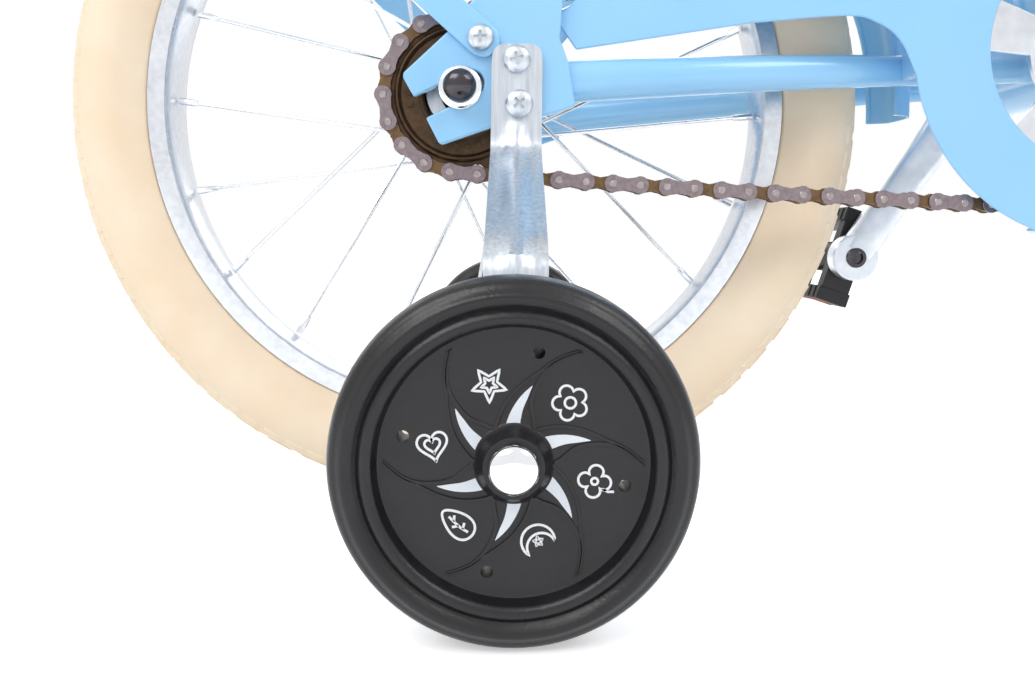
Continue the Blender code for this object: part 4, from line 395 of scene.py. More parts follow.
# %% Place the camera
PHOTO_WIDTH, PHOTO_FOCAL, PHOTO_SHIFT = 1035, 840, -65.4
PITCH, YAW, ROLL = 0.0482, 0.0104, 0.0029
camera_place = Vector((REAR.x + 0.0213, -0.441, 0.1316))
forward = Vector((sin(YAW) * cos(PITCH), cos(YAW) * cos(PITCH), -sin(PITCH)))
level = Vector((cos(YAW), -sin(YAW), 0))
down = forward.cross(level)
right = level * cos(ROLL) + down * sin(ROLL)
below = down * cos(ROLL) - level * sin(ROLL)

lens = bpy.data.cameras.new("photo_camera")
lens.sensor_width = 36.0
lens.lens = PHOTO_FOCAL / PHOTO_WIDTH * lens.sensor_width
lens.shift_y = PHOTO_SHIFT / PHOTO_WIDTH
lens.clip_start, lens.clip_end = 0.02, 60
camera = bpy.data.objects.new("photo_camera", lens)
turn = Matrix((right, -below, -forward)).transposed().to_4x4()
camera.matrix_world = Matrix.Translation(camera_place) @ turn
bpy.context.scene.collection.objects.link(camera)
bpy.context.scene.camera = camera
print(f"lens {lens.lens:.1f} mm, shift {lens.shift_y:.3f}")

# %% [markdown]
# ## Colour and nodes
#
# Colours are written as the sRGB hex values that a colour picker shows, and one function turns them to the linear
# values that Cycles works in. One more function adds a node, sets it up and links what is handed to it.

# %% Colour and node helpers
def colour(code):
    """An sRGB hex value as a linear colour."""
    parts = [int(code[i:i + 2], 16) / 255 for i in (0, 2, 4)]
    return (*[c / 12.92 if c <= 0.04045 else ((c + 0.055) / 1.055) ** 2.4 for c in parts], 1.0)


def node(tree, kind, inputs=None, **settings):
    """Adds a node. settings are its properties; inputs are its sockets' values, or sockets to link from."""
    made = tree.nodes.new(kind)
    for name, value in settings.items():
        setattr(made, name, value)
    for name, value in (inputs or {}).items():
        if isinstance(value, bpy.types.NodeSocket):
            tree.links.new(value, made.inputs[name])
        else:
            made.inputs[name].default_value = value
    return made


def start_material(name, **sockets):
    """A new material with its Principled shader. sockets are plain values, set on the shader itself."""
    material = bpy.data.materials.new(name)
    material.use_nodes = True
    tree = material.node_tree
    shader = tree.nodes["Principled BSDF"]
    for key, value in sockets.items():
        shader.inputs[key.replace("_", " ")].default_value = value
    return material, tree, shader


def mottle(tree, shader, socket, low, high, scale, detail=2.0, vector=None, spread=0.3):
    """Lets a noise drive one socket between two values. Returns the noise's own output."""
    vector = vector or node(tree, "ShaderNodeTexCoord").outputs["Object"]
    noise = node(tree, "ShaderNodeTexNoise", {"Vector": vector, "Scale": scale, "Detail": detail})
    ramp = node(tree, "ShaderNodeValToRGB", {"Fac": noise.outputs["Fac"]})
    ramp.color_ramp.elements[0].position, ramp.color_ramp.elements[1].position = 0.5 - spread, 0.5 + spread
    colours = isinstance(low, str)
    for element, value in zip(ramp.color_ramp.elements, (low, high)):
        element.color = colour(value) if colours else (value, value, value, 1)
    tree.links.new(ramp.outputs["Color"], shader.inputs[socket])
    return noise.outputs["Fac"]


def bump(tree, shader, height, distance, strength=1.0, under=None):
    """Raises the surface by a height texture, over another bump if one is given."""
    inputs = {"Height": height, "Distance": distance, "Strength": strength}
    if under:
        inputs["Normal"] = under
    made = node(tree, "ShaderNodeBump", inputs)
    tree.links.new(made.outputs["Normal"], shader.inputs["Normal"])
    return made.outputs["Normal"]


def stretched(tree, scale, turn=(0, 0, 0), place=(0, 0, 0)):
    """Object coordinates, scaled unevenly, so that a noise becomes streaks."""
    coordinates = node(tree, "ShaderNodeTexCoord").outputs["Object"]
    inputs = {"Vector": coordinates, "Scale": scale, "Rotation": turn, "Location": place}
    return node(tree, "ShaderNodeMapping", inputs).outputs["Vector"]


print("white is", tuple(round(c, 3) for c in colour("FFFFFF")))

# %% [markdown]
# ## Stage and light
#
# The bicycle stands in a white photo studio. The white comes from what the camera sees of the floor and the sky,
# never from stronger lamps, so a colour renders about as it is written. Metal sees the same white studio, with
# two long lamps above, which give it something to reflect.

# %% Build the stage
world = bpy.data.worlds.new("white_studio")
bpy.context.scene.world = world
world.use_nodes = True
tree = world.node_tree
tree.nodes.clear()
rays = node(tree, "ShaderNodeLightPath").outputs
glossy_or_glass = node(tree, "ShaderNodeMath", {0: rays["Is Glossy Ray"], 1: rays["Is Transmission Ray"]},
                       operation="MAXIMUM").outputs[0]
seen = node(tree, "ShaderNodeMath", {0: rays["Is Camera Ray"], 1: glossy_or_glass}, operation="MAXIMUM").outputs[0]
lit = node(tree, "ShaderNodeBackground", {"Color": colour("F4F6FA"), "Strength": 0.66}).outputs[0]
shown = node(tree, "ShaderNodeBackground", {"Color": colour("FFFFFF"), "Strength": 1.0}).outputs[0]
both = node(tree, "ShaderNodeMixShader", {0: seen, 1: lit, 2: shown}).outputs[0]
node(tree, "ShaderNodeOutputWorld", {"Surface": both})

floor_paper, tree, shader = start_material("white_paper_floor", Base_Color=colour("F4F5F6"), Roughness=0.9)
rays = node(tree, "ShaderNodeLightPath").outputs
shader.inputs["Emission Color"].default_value = colour("FFFFFF")
seen = node(tree, "ShaderNodeMath", {0: rays["Is Camera Ray"], 1: rays["Is Glossy Ray"]}, operation="MAXIMUM").outputs[0]
place = node(tree, "ShaderNodeTexCoord").outputs["Object"]
away = node(tree, "ShaderNodeVectorMath", {0: place}, operation="LENGTH").outputs["Value"]
rise = node(tree, "ShaderNodeMapRange", {"Value": away, "From Min": 0.8, "From Max": 2.6, "To Min": 0.44, "To Max": 0.80},
            interpolation_type="SMOOTHSTEP").outputs["Result"]
glow = node(tree, "ShaderNodeMath", {0: seen, 1: rise}, operation="MULTIPLY").outputs[0]
tree.links.new(glow, shader.inputs["Emission Strength"])
bm = bmesh.new()
bmesh.ops.create_grid(bm, x_segments=4, y_segments=4, size=12)
mesh = bpy.data.meshes.new("studio_floor")
bm.to_mesh(mesh)
bm.free()
mesh.materials.append(floor_paper)
floor = bpy.data.objects.new("studio_floor", mesh)
bpy.context.scene.collection.objects.link(floor)
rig.stage(floor)

LAMPS = [
    ("lamp_over_left", (-1.6, -1.6, 2.2), 2.2, 34), ("lamp_over_right", (1.7, -1.2, 2.3), 2.0, 27),
    ("lamp_behind", (0.2, 2.4, 1.9), 2.6, 22),
]
for name, place, size, watts in LAMPS:
    lamp = bpy.data.lights.new(name, "AREA")
    lamp.shape, lamp.size, lamp.size_y, lamp.energy = "RECTANGLE", size, size * 0.6, watts
    holder = bpy.data.objects.new(name, lamp)
    holder.location = place
    holder.rotation_euler = (Vector((0, 0, 0.3)) - Vector(place)).to_track_quat("-Z", "Y").to_euler()
    bpy.context.scene.collection.objects.link(holder)
bpy.context.scene.view_settings.view_transform = "Standard"
print("stage with", len(LAMPS), "lamps")

# %% [markdown]
# ## Finishes
#
# The frame is steel tube under gloss enamel: a light sky blue with a clear, slightly rippled skin. The ripple,
# called orange peel, is about 2 mm across and a few microns deep, so it only wavers the edge of a reflection.

# %% Gloss enamel
enamel, tree, shader = start_material(
    "gloss_blue_enamel", Roughness=0.24, IOR=1.5, Coat_Weight=0.6, Coat_Roughness=0.06)
mottle(tree, shader, "Base Color", "92D0FC", "9DD6FD", 14)
ripple = node(tree, "ShaderNodeTexNoise", {"Vector": node(tree, "ShaderNodeTexCoord").outputs["Object"],
                                           "Scale": 480.0, "Detail": 1.0}).outputs["Fac"]
bump(tree, shader, ripple, 0.00006, 0.5)
print(enamel.name)

# %% [markdown]
# Rubber first: the tyres are a warm cream, matt, with a fine grain from the mould. It is a little paler where
# the light soaks in and scatters back, so a small amount of subsurface light keeps it from looking like paint.

# %% Tyre rubber
cream_rubber, tree, shader = start_material(
    "moulded_cream_rubber", Roughness=0.72, IOR=1.5, Specular_IOR_Level=0.35, Subsurface_Weight=0.08,
    Subsurface_Scale=0.004)
mottle(tree, shader, "Base Color", "F8DFBF", "FEEBD2", 38, 3.0)
grain = node(tree, "ShaderNodeTexNoise", {"Vector": node(tree, "ShaderNodeTexCoord").outputs["Object"],
                                          "Scale": 900.0, "Detail": 2.0}).outputs["Fac"]
bump(tree, shader, grain, 0.00012, 0.5)
print(cream_rubber.name)

# %% [markdown]
# Four bright metals differ only in how their surface was made. Rolled rims are brushed round their length and
# reflect softly. Zinc plate on pressed steel is bluish, with faint vertical streaks from the bath. Forged
# cranks carry a satin silver lacquer. Domed caps are polished and chromed, so they mirror the studio; the axle
# caps are the same chrome with a painted dark reflection in their colour, which also serves as painted shade.

# %% Bright metals
def bright_metal(name, dark, light, rough, streak, depth=0.00002, patches=0.08):
    """A plated or brushed metal: streak is the scale of its grain along X, Y and Z, per metre."""
    metal, tree, shader = start_material(name, Metallic=1.0)
    grain = node(tree, "ShaderNodeTexNoise", {"Vector": stretched(tree, streak), "Scale": 1.0, "Detail": 3.0})
    mottle(tree, shader, "Base Color", dark, light, 1.0, 3.0, stretched(tree, streak))
    mottle(tree, shader, "Roughness", rough - patches, rough + patches, 60)
    bump(tree, shader, grain.outputs["Fac"], depth, 0.6)
    return metal


rolled_alloy = bright_metal("rolled_aluminium", "C9CDD4", "E4E7EC", 0.30, (260, 900, 260))
zinc_plate = bright_metal("zinc_plated_steel", "B2BAC4", "DEE3E9", 0.36, (620, 620, 46), 0.00004)
silver_lacquer = bright_metal("silver_lacquered_forging", "D2D6DC", "E8EBEF", 0.36, (150, 150, 150))
chrome = bright_metal("polished_chrome", "E6E9ED", "F4F6F8", 0.09, (90, 90, 90), 0.000004, 0.03)
stainless = bright_metal("drawn_spoke_wire", "D5D9DF", "ECEFF3", 0.24, (400, 400, 400))
# Chrome whose dark base colour is a painted reflection of a dark surround on the domed caps, and painted shade on the
# rear axle.
painted_dark_chrome = bright_metal("chrome_with_painted_shade_and_reflection", "3E3C40", "5A575C", 0.16, (120, 120, 120), 0.000004, 0.04)
print("bright metals ready")

# %% [markdown]
# The chain is phosphated steel. Its outer plates have a grey, slightly mauve skin, its inner plates and rollers
# are browner with old oil, and the ends of the rivets are rubbed bright. The freewheel is browned cast steel.

# %% Chain and freewheel steel
def oiled_steel(name, dark, light, metallic, rough, size=450):
    """Dark oiled steel. size is the scale of its blotches, per metre."""
    steel, tree, shader = start_material(name, Metallic=metallic, Specular_IOR_Level=0.6)
    mottle(tree, shader, "Base Color", dark, light, size, 3.0)
    mottle(tree, shader, "Roughness", rough - 0.08, rough + 0.10, size * 1.7)
    pits = node(tree, "ShaderNodeTexNoise", {"Vector": node(tree, "ShaderNodeTexCoord").outputs["Object"],
                                             "Scale": size * 4.0, "Detail": 2.0}).outputs["Fac"]
    bump(tree, shader, pits, 0.00008, 0.6)
    return steel


outer_plate = oiled_steel("phosphated_outer_plate", "7C6F73", "9A8D91", 0.75, 0.38)
inner_plate = oiled_steel("oiled_inner_plate", "5F4730", "7F6442", 0.6, 0.42)
rivet_steel = oiled_steel("rubbed_rivet_end", "94898A", "BDB3B1", 0.85, 0.30)
browned_steel = oiled_steel("browned_freewheel_steel", "3E2D1F", "5C452E", 0.65, 0.44, 260)
print("dark steels ready")

# %% [markdown]
# Black parts are moulded, and their sheen tells them apart. The training wheel's disc is satin polypropylene with
# a fine stipple, its tread is a glossier rubbery vinyl, pedals and levers are nylon, and cable housings are
# smooth extruded vinyl. White and silver prints are thin layers of ink on the disc.

# %% Plastics, inks and vinyl
def moulded(name, dark, light, rough, grain_scale, depth, spread=0.05, **sockets):
    """A moulded plastic or rubber with its mould grain. grain_scale is per metre."""
    plastic, tree, shader = start_material(name, IOR=1.48, **sockets)
    mottle(tree, shader, "Base Color", dark, light, 55, 3.0)
    mottle(tree, shader, "Roughness", rough - spread, rough + spread, 90)
    stipple = node(tree, "ShaderNodeTexNoise", {"Vector": node(tree, "ShaderNodeTexCoord").outputs["Object"],
                                                "Scale": grain_scale, "Detail": 2.0}).outputs["Fac"]
    bump(tree, shader, stipple, depth, 0.7)
    return plastic


disc_plastic = moulded("satin_black_polypropylene", "151416", "1F1D20", 0.42, 1300, 0.00010)
tread_vinyl = moulded("black_tread_vinyl", "0F0E11", "1A191C", 0.33, 700, 0.00014, 0.10)
black_nylon = moulded("black_nylon", "131214", "1C1B1D", 0.46, 1100, 0.00012)
cable_vinyl = moulded("extruded_black_vinyl", "101011", "18181A", 0.30, 300, 0.00003)
white_ink = moulded("white_pad_print", "E9EBED", "F6F7F8", 0.50, 900, 0.00002)
silver_ink = moulded("silver_pad_print", "CDD2D8", "E8EBEF", 0.38, 900, 0.00002, Metallic=0.35)
reflector = moulded("amber_reflector", "C93E04", "F0701A", 0.14, 160, 0.00002, Coat_Weight=0.8, Coat_Roughness=0.03)
brake_rubber = moulded("black_brake_rubber", "19181A", "232224", 0.62, 800, 0.00015)

cream_vinyl, tree, shader = start_material("embossed_cream_vinyl", IOR=1.5, Specular_IOR_Level=0.45)
mottle(tree, shader, "Base Color", "E2CDA9", "EEDCBC", 30, 3.0)
mottle(tree, shader, "Roughness", 0.42, 0.56, 120)
pores = node(tree, "ShaderNodeTexVoronoi", {"Vector": node(tree, "ShaderNodeTexCoord").outputs["Object"],
                                            "Scale": 620.0}, feature="DISTANCE_TO_EDGE").outputs["Distance"]
bump(tree, shader, pores, 0.00035, 0.35)
print("plastics and vinyl ready")

# %% [markdown]
# ## CAD nodes that keep their own shape
#
# Small turned parts are already right in the CAD, so they only need a finish.

# %% Finish the plain CAD nodes
KEPT = {
    rolled_alloy: ["crank_spindle"],
    silver_lacquer: ["front_brake_bolt", "rear_brake_bolt", "upper_headset_cup", "lower_headset_cup", "seat_clamp"],
    zinc_plate: ["right_bracket_cup", "left_bracket_cup"],
    # The rear axle takes the dark chrome as painted shade, so the dropout slot round it reads black.
    painted_dark_chrome: ["rear_axle"],
    black_nylon: ["right_lever_bracket", "left_lever_bracket"],
}
for finish, names in KEPT.items():
    for name in names:
        kept = frame["nodes"][name]
        for place in kept.material_slots:
            place.material = finish
        if not kept.material_slots:
            kept.data.materials.append(finish)
print("kept", sum(len(names) for names in KEPT.values()), "CAD nodes")

# %% [markdown]
# ## Brake cables
#
# Two thin housings leave the levers, loop ahead of the handlebar and end above the brakes. A housing is a coil of
# flat wire in a vinyl skin, so it bends in long easy curves. The routes are the CAD's, point for point, and each
# cable's inner wire, with its end nipple, comes out below the housing. The rear housing crosses from the bars to
# the frame: its upper end turns with the bars, and the turn dies away down the loop beside the head tube.

# %% Run the cables
CABLE_RADIUS = 0.0024
ROUTES = {
    "rear": [(0.2020, -0.1219, 0.7009), (0.2054, -0.1025, 0.7021), (0.2190, -0.0810, 0.7010),
             (0.2400, -0.0580, 0.6890), (0.2590, -0.0310, 0.6650), (0.2650, -0.0020, 0.6330),
             (0.2545, 0.0200, 0.5960), (0.2293, 0.0320, 0.5562), (0.1929, 0.0250, 0.5217),
             (0.1231, 0.0190, 0.4778), (-0.0073, 0.0190, 0.4210), (-0.0600, 0.0200, 0.4080),
             (-0.1000, 0.0235, 0.4170), (-0.1320, 0.0330, 0.4390), (-0.1600, 0.0460, 0.4430)],
    "front": [(0.2020, 0.1219, 0.7009), (0.2054, 0.1025, 0.7021), (0.2160, 0.0860, 0.6975),
              (0.2400, 0.0700, 0.6799), (0.2530, 0.0600, 0.6380), (0.2450, 0.0545, 0.5930),
              (0.2340, 0.0520, 0.5430)],
}
LUGS = {"rear": (Vector((-0.22101, 0.052, 0.38892)), Vector((0.66523, 0, 0.74664))),
        "front": (Vector((0.27472, 0.052, 0.42802)), STEER_UP)}
HOUSING_END, LOWER_LUG, NIPPLE = 0.0233, -0.0063, 0.0036
LOOP_TOP, LOOP_END = (0.2400, -0.0580, 0.6890), (0.1900, 0.0250, 0.5000)

for which, body in (("rear", "frame"), ("front", "steering")):
    lug, upward = LUGS[which]
    end = lug + upward * HOUSING_END
    path = smooth_path(ROUTES[which] + [end + upward * 0.0300, end], 8)
    bm = bmesh.new()
    swept(bm, path, CABLE_RADIUS, sides=16)
    cable = finish_piece(f"{which}_cable_housing", bm, cable_vinyl, None, "black_plastic",
                         [f"{which}_brake_cable"])
    if which == "rear":
        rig.blend(cable, "steering", "frame", start=LOOP_TOP, end=LOOP_END)
    else:
        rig.ride(cable, body)
    bm = bmesh.new()
    ferrule = [(0.0, 0.0), (CABLE_RADIUS + 0.0009, 0.0), (CABLE_RADIUS + 0.0009, 0.011), (CABLE_RADIUS + 0.0001, 0.0118),
               (CABLE_RADIUS + 0.0001, 0.0125)]
    spun(bm, end, upward, ferrule + [(0.0, 0.0125)], 24)
    rod(bm, end + upward * 0.002, lug + upward * (LOWER_LUG - NIPPLE), 0.0009, 12)
    spun(bm, lug + upward * (LOWER_LUG - NIPPLE), upward,
         [(0.0, 0.0), (0.0023, 0.0), (0.0028, 0.0005), (0.0028, 0.0031), (0.0023, NIPPLE), (0.0, NIPPLE)], 24)
    wire = finish_piece(f"{which}_cable_wire", bm, stainless, body, "silver_steel", [f"{which}_brake_cable"])
    length = sum((b - a).length for a, b in zip(path, path[1:]))
    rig.cord(cable, exit=path[0], length=length, diameter=2 * CABLE_RADIUS, far_end="object", stiffness="stiff",
            lay="loose", path=path, with_pieces=[wire])
    print(f"{which} cable {length:.3f} m")

# %% [markdown]
# ## Tyres
#
# A 16 by 1.75 tyre is a moulded torus. Its tread is a low band with shallow blocks, and a row of scalloped lugs runs
# along each shoulder, about 13 mm apart. The casing is turned first, and one lug is then repeated round it.

# %% Make both tyres
TYRE_RADIUS, TYRE_HALF, BEAD_RADIUS, RIM_HALF = 0.200, 0.0235, 0.1603, 0.0145
TREAD_STEPS, LUG_COUNT, TREAD_BLOCKS = 144, 96, 64


def tyre_outline():
    """Half the section by an arc round the casing, from the bead to the crown, then mirrored."""
    middle = (TYRE_RADIUS + BEAD_RADIUS) / 2 + 0.0008
    tall = TYRE_RADIUS - 0.0012 - middle
    side = [(BEAD_RADIUS, RIM_HALF - 0.0010), (BEAD_RADIUS + 0.0012, RIM_HALF + 0.0008)]
    for angle in range(-40, 91, 10):
        a = radians(angle)
        side.append((middle + tall * sin(a), TYRE_HALF * 0.985 * cos(a) ** 0.72 if angle < 90 else 0.0))
    half = side[:-1]
    return [(r, -y) for r, y in half] + [side[-1]] + [(r, y) for r, y in reversed(half)]


def raised_block(bm, centre, angle, rows):
    """A moulded block on the tread. rows are (radius, y, half length round the tyre, half width) from root to top."""
    loops = []
    for radius, y, half_round, half_wide in rows:
        corners = [(-1, -1), (1, -1), (1, 1), (-1, 1)]
        points = [polar(centre, radius, angle + a * half_round / radius, y + b * half_wide) for a, b in corners]
        loops.append(outline_loop(bm, points))
    bridge(bm, loops)


def make_tyre(which, centre):
    bm = bmesh.new()
    spun(bm, centre, LEFT, tyre_outline(), TREAD_STEPS)
    step = 2 * pi / LUG_COUNT
    for number in range(LUG_COUNT):
        for side in (-1, 1):
            angle = number * step + side * step / 4
            raised_block(bm, centre, angle, [(0.1880, side * 0.0168, 0.0050, 0.0030), (0.1924, side * 0.0179, 0.0043, 0.0022),
                                             (0.1942, side * 0.0172, 0.0034, 0.0014)])
            raised_block(bm, centre, angle + step / 2, [(0.1915, side * 0.0123, 0.0052, 0.0026),
                                                        (0.1966, side * 0.0122, 0.0047, 0.0022)])
    step = 2 * pi / TREAD_BLOCKS
    for number in range(TREAD_BLOCKS):
        for side in (-1, 1):
            angle = number * step + side * step / 4
            raised_block(bm, centre, angle, [(0.1960, side * 0.0040, 0.0076, 0.0033), (0.1998, side * 0.0040, 0.0070, 0.0029)])
    finish_piece(f"{which}_tyre_rubber", bm, cream_rubber, f"{which}_wheel", "cream_rubber", [f"{which}_tyre"],
                 smooth=42)


make_tyre("rear", REAR)
make_tyre("front", FRONT)

# %% [markdown]
# ## Rims and spokes
#
# The rim is rolled aluminium strip: two upright brake faces, a hooked edge under each tyre bead, and a shallow well
# that the nipples sit in. Twenty spokes cross from two hub flanges, each with an elbow at the flange and a short
# brass nipple at the rim.

# %% Make both rims
RIM_RADIUS, RIM_INNER = 0.160, 0.1485


def make_rim(which, centre):
    bm = bmesh.new()
    side = [(RIM_RADIUS, RIM_HALF - 0.0012), (RIM_RADIUS - 0.0003, RIM_HALF - 0.0002), (RIM_RADIUS - 0.0012, RIM_HALF),
            (RIM_RADIUS - 0.0088, RIM_HALF * 0.975), (RIM_RADIUS - 0.0096, RIM_HALF * 0.90),
            (RIM_INNER + 0.0009, RIM_HALF * 0.55), (RIM_INNER + 0.0002, RIM_HALF * 0.22)]
    half = [(r, y) for r, y in side]
    spun(bm, centre, LEFT, half + [(r, -y) for r, y in reversed(half)], 128)
    finish_piece(f"{which}_rim_alloy", bm, rolled_alloy, f"{which}_wheel", "polished_alloy", [f"{which}_rim"])
    bm = bmesh.new()
    stem = polar(centre, RIM_INNER - 0.0165, radians(-97.0))
    spun(bm, stem, polar(centre, 1, radians(-97.0)) - centre,
         [(0.0, 0.0), (0.0030, 0.0), (0.0034, 0.0008), (0.0034, 0.0072), (0.0028, 0.0080), (0.0031, 0.0092),
          (0.0036, 0.0175), (0.0, 0.0175)], 24)
    finish_piece(f"{which}_valve", bm, black_nylon, f"{which}_wheel", "black_plastic")


make_rim("rear", REAR)
make_rim("front", FRONT)

# %% Make both hubs with their spokes
SPOKE_COUNT, LACING_RADIUS, FLANGE_RADIUS, BARREL_RADIUS = 20, 0.0200, 0.0240, 0.0135
SPOKE_RADIUS, NIPPLE_RADIUS = 0.0010, 0.0019
HUBS = {"rear": (REAR, -0.0240, 0.0290, (-0.048, 0.040), (0.0170, 0.0125)),
        "front": (FRONT, -0.0280, 0.0280, (-0.040, 0.040), (0.0150, 0.0150))}


def hub_shell(bm, centre, right, left, ends, end_radii):
    """The turned shell: two flanges with eased edges, a waisted barrel and a bored end each side."""
    thick = 0.0015
    flange = [(FLANGE_RADIUS - 0.0006, -thick), (FLANGE_RADIUS, -thick + 0.0005), (FLANGE_RADIUS, thick - 0.0005),
              (FLANGE_RADIUS - 0.0006, thick)]
    outer = [(end_radii[0] - 0.0006, ends[0]), (end_radii[0], ends[0] + 0.0008), (end_radii[0], right - thick)]
    outer += [(r, right + y) for r, y in flange]
    outer += [(BARREL_RADIUS + 0.0018, right + thick), (BARREL_RADIUS, right + thick + 0.0020),
              (BARREL_RADIUS - 0.0008, (right + left) / 2), (BARREL_RADIUS, left - thick - 0.0020),
              (BARREL_RADIUS + 0.0018, left - thick)]
    outer += [(r, left + y) for r, y in flange]
    outer += [(end_radii[1], left + thick), (end_radii[1], ends[1] - 0.0008), (end_radii[1] - 0.0006, ends[1])]
    spun(bm, centre, LEFT, outer + [(0.0100, ends[1]), (0.0100, ends[0])], 48)


def spoke(bm, centre, number, right, left):
    """One spoke with its head, its elbow through the flange, its straight run and its nipple."""
    step = 2 * pi / SPOKE_COUNT
    lean = 1 if number % 4 < 2 else -1
    flange = right if number % 2 == 0 else left
    outward = 1 if flange > 0 else -1
    at_rim = step * number + radians(178.4)
    at_hub = at_rim + lean * 4 * step
    face = flange + lean * outward * 0.0019
    hole = polar(centre, LACING_RADIUS, at_hub, face)
    rim = polar(centre, RIM_INNER - 0.0005, at_rim, flange * 0.10)
    along = (rim - hole).normalized()
    elbow = [hole - LEFT * lean * outward * 0.0040, hole - LEFT * lean * outward * 0.0008, hole + along * 0.0016]
    swept(bm, elbow + [rim - along * 0.0080], SPOKE_RADIUS, hint=AHEAD, sides=10)
    rod(bm, elbow[0] - LEFT * lean * outward * 0.0007, elbow[0] + LEFT * lean * outward * 0.0002, 0.0018, 10)
    spun(bm, rim - along * 0.0110, along, [(0.0, 0.0), (0.0012, 0.0), (0.0016, 0.0006), (NIPPLE_RADIUS, 0.0070),
                                           (NIPPLE_RADIUS, 0.0105), (0.0, 0.0105)], 10)


for which, (centre, right, left, ends, end_radii) in HUBS.items():
    bm = bmesh.new()
    hub_shell(bm, centre, right, left, ends, end_radii)
    finish_piece(f"{which}_hub_shell", bm, zinc_plate, f"{which}_wheel", "zinc_plate", [f"{which}_hub"])
    bm = bmesh.new()
    for number in range(SPOKE_COUNT):
        spoke(bm, centre, number, right, left)
    finish_piece(f"{which}_spokes", bm, stainless, f"{which}_wheel", "zinc_plate", [f"{which}_hub"])

# %% [markdown]
# ## Training wheels
#
# A training wheel is one moulding: a deep-rimmed black tread with a glossy ridge and two grooves on its shoulder, a
# recessed satin disc, six raised spiral arms, four small through holes and a chromed cap on its pin. Silver flashes
# sweep out of the hub, and simple white pictures are printed between the arms.

# %% Turn the wheel body and its arms
TRAINER_SIDES = {"right": -0.169, "left": 0.169}
TRAINER_RADIUS, DISC_FACE, MILLIMETRE = 0.0605, 0.0060, 0.001
BODY_OUTLINE = [(4.8, 12.5), (9.8, 12.5), (11.2, 9.5), (12.5, 6.6), (13.5, 6.0), (42.5, 6.0), (43.8, 6.6), (44.6, 10.5),
                (45.2, 11.8), (46.8, 12.6), (48.0, 12.4), (49.2, 11.2), (50.0, 10.6), (51.0, 11.2), (52.5, 12.8),
                (54.0, 13.0), (55.2, 12.2), (56.2, 11.2), (57.0, 10.8), (58.0, 10.4), (59.2, 8.8), (60.0, 6.0),
                (60.4, 2.5)]
ARM_LEFT = [(12.6, 117), (18, 101.7), (29, 77), (36, 67.5), (41.7, 59.6)]
ARM_RIGHT = [(13, 60), (19.4, 73), (26, 73.7), (33.8, 68.9), (41.7, 58.6)]
ARM_WIDTH = 1.1
HOLE_ANGLES, HOLE_RADIUS, HOLE_CIRCLE = (-12, 77, 166, 256), 2.0, 36.5


def disc_point(side, radius, angle, out):
    """A point on a wheel's outer face, in millimetres and degrees as seen from outside."""
    a = radians(angle)
    x, z = radius * cos(a) * MILLIMETRE, radius * sin(a) * MILLIMETRE
    return Vector((TRAINER.x - side * x, TRAINER_SIDES["right" if side < 0 else "left"] + side * out * MILLIMETRE,
                   TRAINER.z + z))


def along_polar(rows, steps=5):
    """A smooth line through (radius, degrees) rows, as (radius, degrees) rows."""
    return [(p.x, p.y) for p in smooth_path([(r, a, 0) for r, a in rows], steps)]


def ribbon(bm, side, first, second, low, high):
    """A raised strip between two (radius, degrees) edges, from one height to another."""
    loops = []
    for (r1, a1), (r2, a2) in zip(first, second):
        loops.append(outline_loop(bm, [disc_point(side, r1, a1, low), disc_point(side, r2, a2, low),
                                       disc_point(side, r2, a2, high), disc_point(side, r1, a1, high)]))
    bridge(bm, loops)


def stroke(bm, side, points, width, low, high, closed=False):
    """A printed line through (x, z) millimetre points on the outer face, with a steady width."""
    flat = [Vector((x, z, 0)) for x, z in points]
    count = len(flat)
    loops = []
    for index, point in enumerate(flat):
        before = flat[index - 1] if index or closed else point
        after = flat[(index + 1) % count] if index < count - 1 or closed else point
        across = (after - before).normalized().cross(Vector((0, 0, 1))) * width / 2
        rows = [point - across, point + across]
        corners = [(hypot(p.x, p.y), degrees(atan2(p.y, p.x))) for p in rows]
        loops.append(outline_loop(bm, [disc_point(side, *corners[0], low), disc_point(side, *corners[1], low),
                                       disc_point(side, *corners[1], high), disc_point(side, *corners[0], high)]))
    bridge(bm, loops, closed=closed)


print("arm edges", len(along_polar(ARM_LEFT)))

# %% [markdown]
# The holes are cut through the disc with a Boolean, which is what a drill would do. The pictures are small outline
# figures of our own: a flower, a star, a heart, a leaf, a moon and a clover. Each is a formula in polar form, so it
# can be drawn as one closed stroke.

# %% Draw the little pictures
def blob(radius, petals=0, depth=0.0, sharp=1.0, turn=0.0, steps=60):
    """A closed outline whose radius swells petals times, in millimetres."""
    rows = []
    for index in range(steps):
        a = 2 * pi * index / steps
        swell = abs(cos(petals * (a - turn) / 2)) ** sharp if petals else 1.0
        r = radius * (1 - depth + depth * swell)
        rows.append((r * cos(a), r * sin(a)))
    return rows


def heart(size, steps=48):
    rows = []
    for index in range(steps):
        a = 2 * pi * index / steps
        rows.append((size * sin(a) ** 3 * 0.95, size * (13 * cos(a) - 5 * cos(2 * a) - 2 * cos(3 * a) - cos(4 * a)) / 16))
    return rows


def star(size, points=5):
    rows = []
    for index in range(points * 2):
        a = pi / 2 + pi * index / points
        r = size if index % 2 == 0 else size * 0.45
        rows.append((r * cos(a), r * sin(a)))
    closed = rows + rows[:1]
    return [tuple(Vector((*a, 0)).lerp(Vector((*b, 0)), s / 4).xy) for a, b in zip(closed, closed[1:]) for s in range(4)]


def moon(size):
    outer = [(size * cos(radians(a)), size * sin(radians(a))) for a in range(60, 301, 12)]
    inner = [(size * 0.42 + size * 0.87 * cos(radians(a)), size * 0.87 * sin(radians(a))) for a in range(262, 97, -12)]
    return outer + inner


def leaf(size):
    half = [(size * cos(radians(a)), size * 0.62 * sin(radians(a)) * (1 - 0.35 * cos(radians(a)))) for a in range(0, 360, 9)]
    return half


